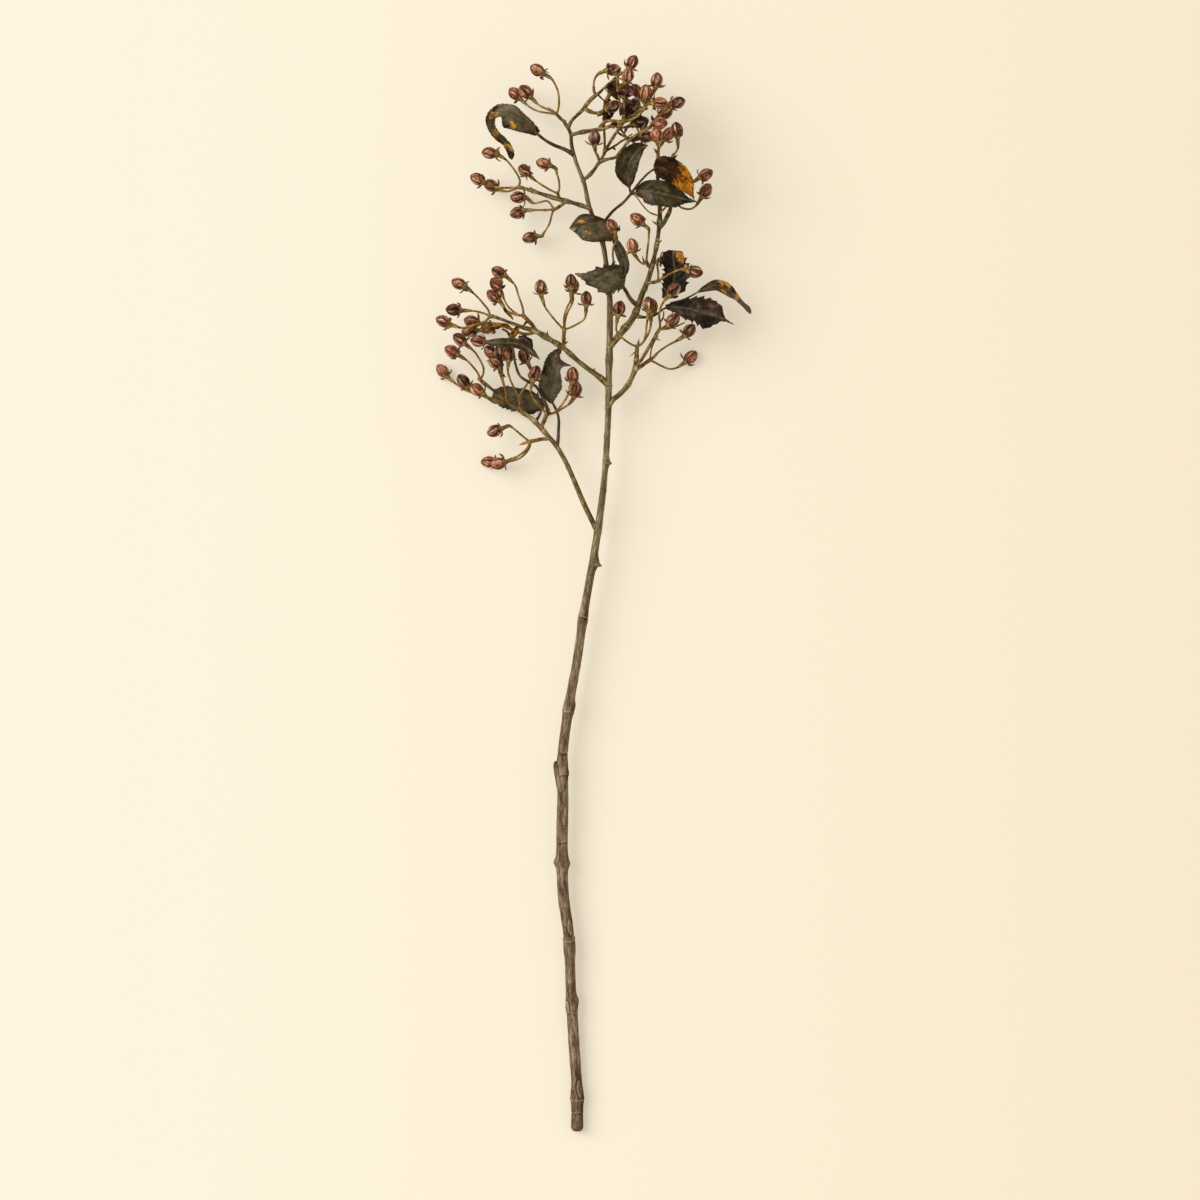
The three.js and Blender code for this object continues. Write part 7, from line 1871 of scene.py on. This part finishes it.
# Marks on the stem's bark. The first number is the height up the stem.
STEM_MARKS: tuple[BarkMark, ...] = (
    BarkMark(Mark.SCALE, 10.6, 140, 2.6, 1.9, 0.35, 0.0, 0.8, 0.5),
    BarkMark(Mark.GROOVE, 12.6, 90, 0.45, 1.5, 0.3, -0.6, 0.7, 0.2),
    BarkMark(Mark.RING, 23, 90, 0.7, 1.5, 0.4, -1.8, 0.9, 0.35),
    BarkMark(Mark.SCALE, 30, 62, 7, 2.2, 0.7, 0.0, 0.8, 0.45),
    BarkMark(Mark.SLIT, 39.8, 88, 2, 0.55, 0.5, 0.0, 1.0),
    BarkMark(Mark.GROOVE, 56, 80, 0.3, 1.5, 0.12, 0.3, 0.45, 0.15),
    BarkMark(Mark.SCALE, 87, 140, 5.4, 2, 0.7, 0.0, 0.9, 0.55),
    BarkMark(Mark.KNOB, 91.5, 8, 3.2, 2.2, 1.1, 0.0, 0.5),
    BarkMark(Mark.GROOVE, 80.6, 120, 0.5, 1.5, 0.25, 1.8, 0.6, 0.2),
    BarkMark(Mark.KNOB, 105, 95, 0.8, 0.6, 0.1, 0.0, 0.0, 0.9),
    BarkMark(Mark.RING, 135, 90, 0.8, 1.5, 0.5, -2.2, 1.0, 0.35),
    BarkMark(Mark.SCALE, 143, 62, 6.5, 2.2, 0.9, 0.0, 0.9, 0.5),
    BarkMark(Mark.SCALE, 141, 130, 4, 1.4, 0.5, 0.0, 0.8, 0.3),
    BarkMark(Mark.KNOB, 188.6, 172, 2.4, 2, 1.3, 0.0, 0.7, 0.2),
    BarkMark(Mark.KNOB, 187.6, 12, 2.2, 1.8, 1.2, 0.0, 0.7, 0.2),
    BarkMark(Mark.SCALE, 184, 140, 3.5, 1.5, 0.4, 0.0, 0.7, 0.4),
    BarkMark(Mark.GROOVE, 201.8, 90, 0.5, 1.5, 0.3, 0.3, 0.9, 0.3),
    BarkMark(Mark.GROOVE, 214.4, 120, 0.35, 1.5, 0.15, 0.3, 0.55, 0.2),
    BarkMark(Mark.SLIT, 239.5, 120, 3, 0.8, 0.4, 1.5, 0.85),
    BarkMark(Mark.SCALE, 234, 70, 5, 1.6, 0.4, 0.0, 0.8, 0.4),
    BarkMark(Mark.GROOVE, 247, 60, 0.6, 1.5, 0.3, 2.4, 0.7, 0.3),
    BarkMark(Mark.KNOB, 251, 5, 3.2, 2.2, 0.8, 0.0, 0.5),
    BarkMark(Mark.GROOVE, 265.4, 90, 0.6, 1.5, 0.35, -1.0, 0.9, 0.35),
    BarkMark(Mark.RING, 293.6, 90, 0.8, 1.5, 0.5, 0.5, 0.95, 0.4),
    BarkMark(Mark.KNOB, 299, 20, 3.4, 2.4, 0.8, 0.0, 0.3),
    BarkMark(Mark.SCALE, 300, 110, 4.5, 1.5, 0.45, 0.0, 0.8, 0.4),
    BarkMark(Mark.SLIT, 326, 120, 3, 0.6, 0.2, 0.0, 0.5),
    BarkMark(Mark.GROOVE, 360, 90, 0.55, 1.5, 0.35, -0.4, 0.9, 0.4),
    BarkMark(Mark.KNOB, 398.6, 8, 4.4, 2.8, 2.2, 0.0, 0.2),
    BarkMark(Mark.GROOVE, 389, 45, 0.4, 1.5, 0.2, 1.0, 0.6, 0.2),
    BarkMark(Mark.RING, 420, 150, 0.6, 1.5, 0.3, 0.8, 0.8, 0.4),
    BarkMark(Mark.KNOB, 449, 10, 1.2, 1, 0.4, 0.0, 0.4, 0.3),
    BarkMark(Mark.KNOB, 468.6, 12, 2.8, 2, 1.3, 0.0, 0.3, 0.2),
    BarkMark(Mark.RING, 471, 45, 0.5, 1.5, 0.25, 0.8, 0.6, 0.4),
    BarkMark(Mark.KNOB, 487, 175, 1.2, 1, 0.4, 0.0, 0.3, 0.3),
    BarkMark(Mark.RING, 507, 20, 0.6, 1.5, 0.3, 0.8, 0.7, 0.45),
    BarkMark(Mark.RING, 523, 160, 0.5, 1.5, 0.3, 0.8, 0.7, 0.45),
    BarkMark(Mark.RING, 549, 20, 0.5, 1.5, 0.3, 0.8, 0.7, 0.6),
    BarkMark(Mark.SLIT, 572, 80, 3, 0.5, 0.15, 0.0, 0.5),
    BarkMark(Mark.RING, 604, 60, 0.5, 1.5, 0.3, 0.6, 0.7, 0.5),
    BarkMark(Mark.RING, 646, 150, 0.5, 1.5, 0.3, 0.6, 0.7, 0.6),
    BarkMark(Mark.RING, 666, 40, 0.5, 1.5, 0.3, 0.6, 0.7, 0.4),
    BarkMark(Mark.RING, 684, 150, 0.5, 1.5, 0.3, 0.6, 0.7, 0.6),
)

STEM_SPIKES: tuple[tuple[Point, Point, float, float], ...] = (
    ((-10.8, 238, 12.4), (-14.8, 259.6, 14), 3.0, 1.9),
    ((11.4, 398.4, 17.4), (17.9, 396, 18.6), 4.4, 0.3),
    ((21, 468.8, 20), (24.9, 467.6, 21), 3.2, 0.3),
)

MAIN_STEM = Branch(
    "main_stem",
    Route(STEM_POINTS, STEM_RADII, STEM_SWELLINGS, STEM_MARKS, 0.7),
    STEM_BARK,
    "bark",
    spikes=STEM_SPIKES,
    ringed=False,
    joint_length=2.6,
    ridge=0.08,
    flare=0.0,
    rounded=3.2,
    step=0.5,
    sides=56,
    seed=400,
)


# ---------------------------------------------------------------- the studio
@dataclass(frozen=True)
class Studio:
    """A pale floor under the sprig, soft light from the left, and a camera straight above.

    The field is the width that the camera sees at the field's level, a little above the floor.
    """

    middle: tuple[float, float] = (0.0044, -0.0042)
    height: float = 14.0
    field: float = 0.84
    sensor: float = 36.0
    # the cream is paler on the left and deeper on the right, a painted fall-off of the lamp's light
    floor_left: str = "#fff8e6"
    floor_right: str = "#f7ebd2"
    shadow_lift: float = 0.4
    lamp_strength: float = 2.2
    lamp_angle: float = 50.0
    world_strength: float = 0.56
    surround: str = "#fff6e6"
    lamp_place: Point = (-1.2, 0.5, 1.15)
    floor_half: float = 30.0
    field_level: float = 0.02

    def build(self) -> None:
        """Sets up the floor, the light and the camera."""
        self._floor()
        self._light()
        self._camera()
        bpy.context.scene.view_settings.view_transform = "Standard"

    def _floor(self) -> None:
        """Lays smooth painted board under the sprig."""
        mesh = bpy.data.meshes.new("floor")
        half = self.floor_half
        corners = [(-half, -half, 0), (half, -half, 0), (half, half, 0), (-half, half, 0)]
        mesh.from_pydata(corners, [], [(0, 1, 2, 3)])
        floor = bpy.data.objects.new("floor", mesh)
        bpy.context.scene.collection.objects.link(floor)
        # Painted board: matt, a warm cream, with a painted fall-off of the lamp's light: a little deeper away
        # from the lamp.
        board = bpy.data.materials.new("matt cream board")
        board.use_nodes = True
        tree = board.node_tree
        tree.nodes.clear()
        place = add_node(tree, "ShaderNodeTexCoord")
        parts = add_node(tree, "ShaderNodeSeparateXYZ", {0: place.outputs["Object"]})
        width = {"Value": parts.outputs[0], "From Min": -self.field / 2, "From Max": self.field / 2}
        share = add_node(tree, "ShaderNodeMapRange", width)
        stops = ((0.0, self.floor_left), (1.0, self.floor_right))
        base = add_node(tree, "ShaderNodeValToRGB", {0: share.outputs[0]}, stops=stops)
        look = {"Base Color": base.outputs[0], "Roughness": 0.9}
        shader = add_node(tree, "ShaderNodeBsdfPrincipled", look)
        # Part of the board's colour comes from itself, so its shadow stays but is a little paler.
        glow = add_node(tree, "ShaderNodeEmission", {"Color": base.outputs[0], "Strength": 1.0})
        path = add_node(tree, "ShaderNodeLightPath")
        seen = path.outputs["Is Camera Ray"]
        for kind in ("Is Glossy Ray", "Is Transmission Ray"):
            pair = {0: seen, 1: path.outputs[kind]}
            seen = add_node(tree, "ShaderNodeMath", pair, operation="MAXIMUM").outputs[0]
        pair = {0: seen, 1: self.shadow_lift}
        lift = add_node(tree, "ShaderNodeMath", pair, operation="MULTIPLY").outputs[0]
        mixed = add_node(tree, "ShaderNodeMixShader", {0: lift, 1: shader.outputs[0], 2: glow.outputs[0]})
        add_node(tree, "ShaderNodeOutputMaterial", {"Surface": mixed.outputs[0]})
        mesh.materials.append(board)

    def _light(self) -> None:
        """Hangs one large soft lamp up on the left over an even pale surround."""
        world = bpy.data.worlds.new("soft surround")
        world.use_nodes = True
        background = world.node_tree.nodes["Background"]
        background.inputs["Color"].default_value = colour(self.surround)
        background.inputs["Strength"].default_value = self.world_strength
        bpy.context.scene.world = world
        data = bpy.data.lights.new("soft lamp", "SUN")
        data.energy = self.lamp_strength
        data.angle = math.radians(self.lamp_angle)
        lamp = bpy.data.objects.new("soft lamp", data)
        lamp.location = self.lamp_place
        lamp.rotation_euler = (-lamp.location).to_track_quat("-Z", "Y").to_euler()
        bpy.context.scene.collection.objects.link(lamp)

    def _camera(self) -> None:
        """Puts the camera straight above, far enough off that high and low pieces keep their places."""
        data = bpy.data.cameras.new("camera")
        data.sensor_width = self.sensor
        data.lens = self.sensor * (self.height - self.field_level) / self.field
        data.clip_end = 100
        camera = bpy.data.objects.new("camera", data)
        camera.location = (*self.middle, self.height)
        bpy.context.scene.collection.objects.link(camera)
        bpy.context.scene.camera = camera


def build_scraps() -> bpy.types.Object:
    """Makes the bracts, buds and loose stalks as one piece.

    Returns:
        The finished piece.
    """
    lines = [MAIN_STEM.route.line(), *(route.line() for route in ROUTES.values())]
    lines.extend(twig.line() for spray in SPRAYS for twig in spray.twigs)
    lines.extend(berry.stalk_line() for spray in SPRAYS for berry in spray.berries)
    draft = Draft()
    for number, scrap in enumerate(SCRAPS):
        scrap.add(draft, lines, SCRAP_SEED + number)
    return draft.piece("dried_bracts", CALYX, "twig", [])


def main() -> None:
    """Loads the frame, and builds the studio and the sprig."""
    logging.basicConfig(level=logging.INFO, format="%(name)s: %(message)s")
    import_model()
    Studio().build()
    made = [MAIN_STEM.build()]
    for number, (name, route) in enumerate(ROUTES.items()):
        made.append(Branch(name, route, TWIG_BARK, "twig", seed=30 * number).build())
    made.extend(leaf.build() for leaf in LEAVES)
    for spray in SPRAYS:
        made.extend(spray.build())
    made.append(build_scraps())
    faces = sum(len(piece.data.polygons) for piece in made)
    log.info("%d pieces, %d faces", len(made), faces)


if __name__ == "__main__":
    main()
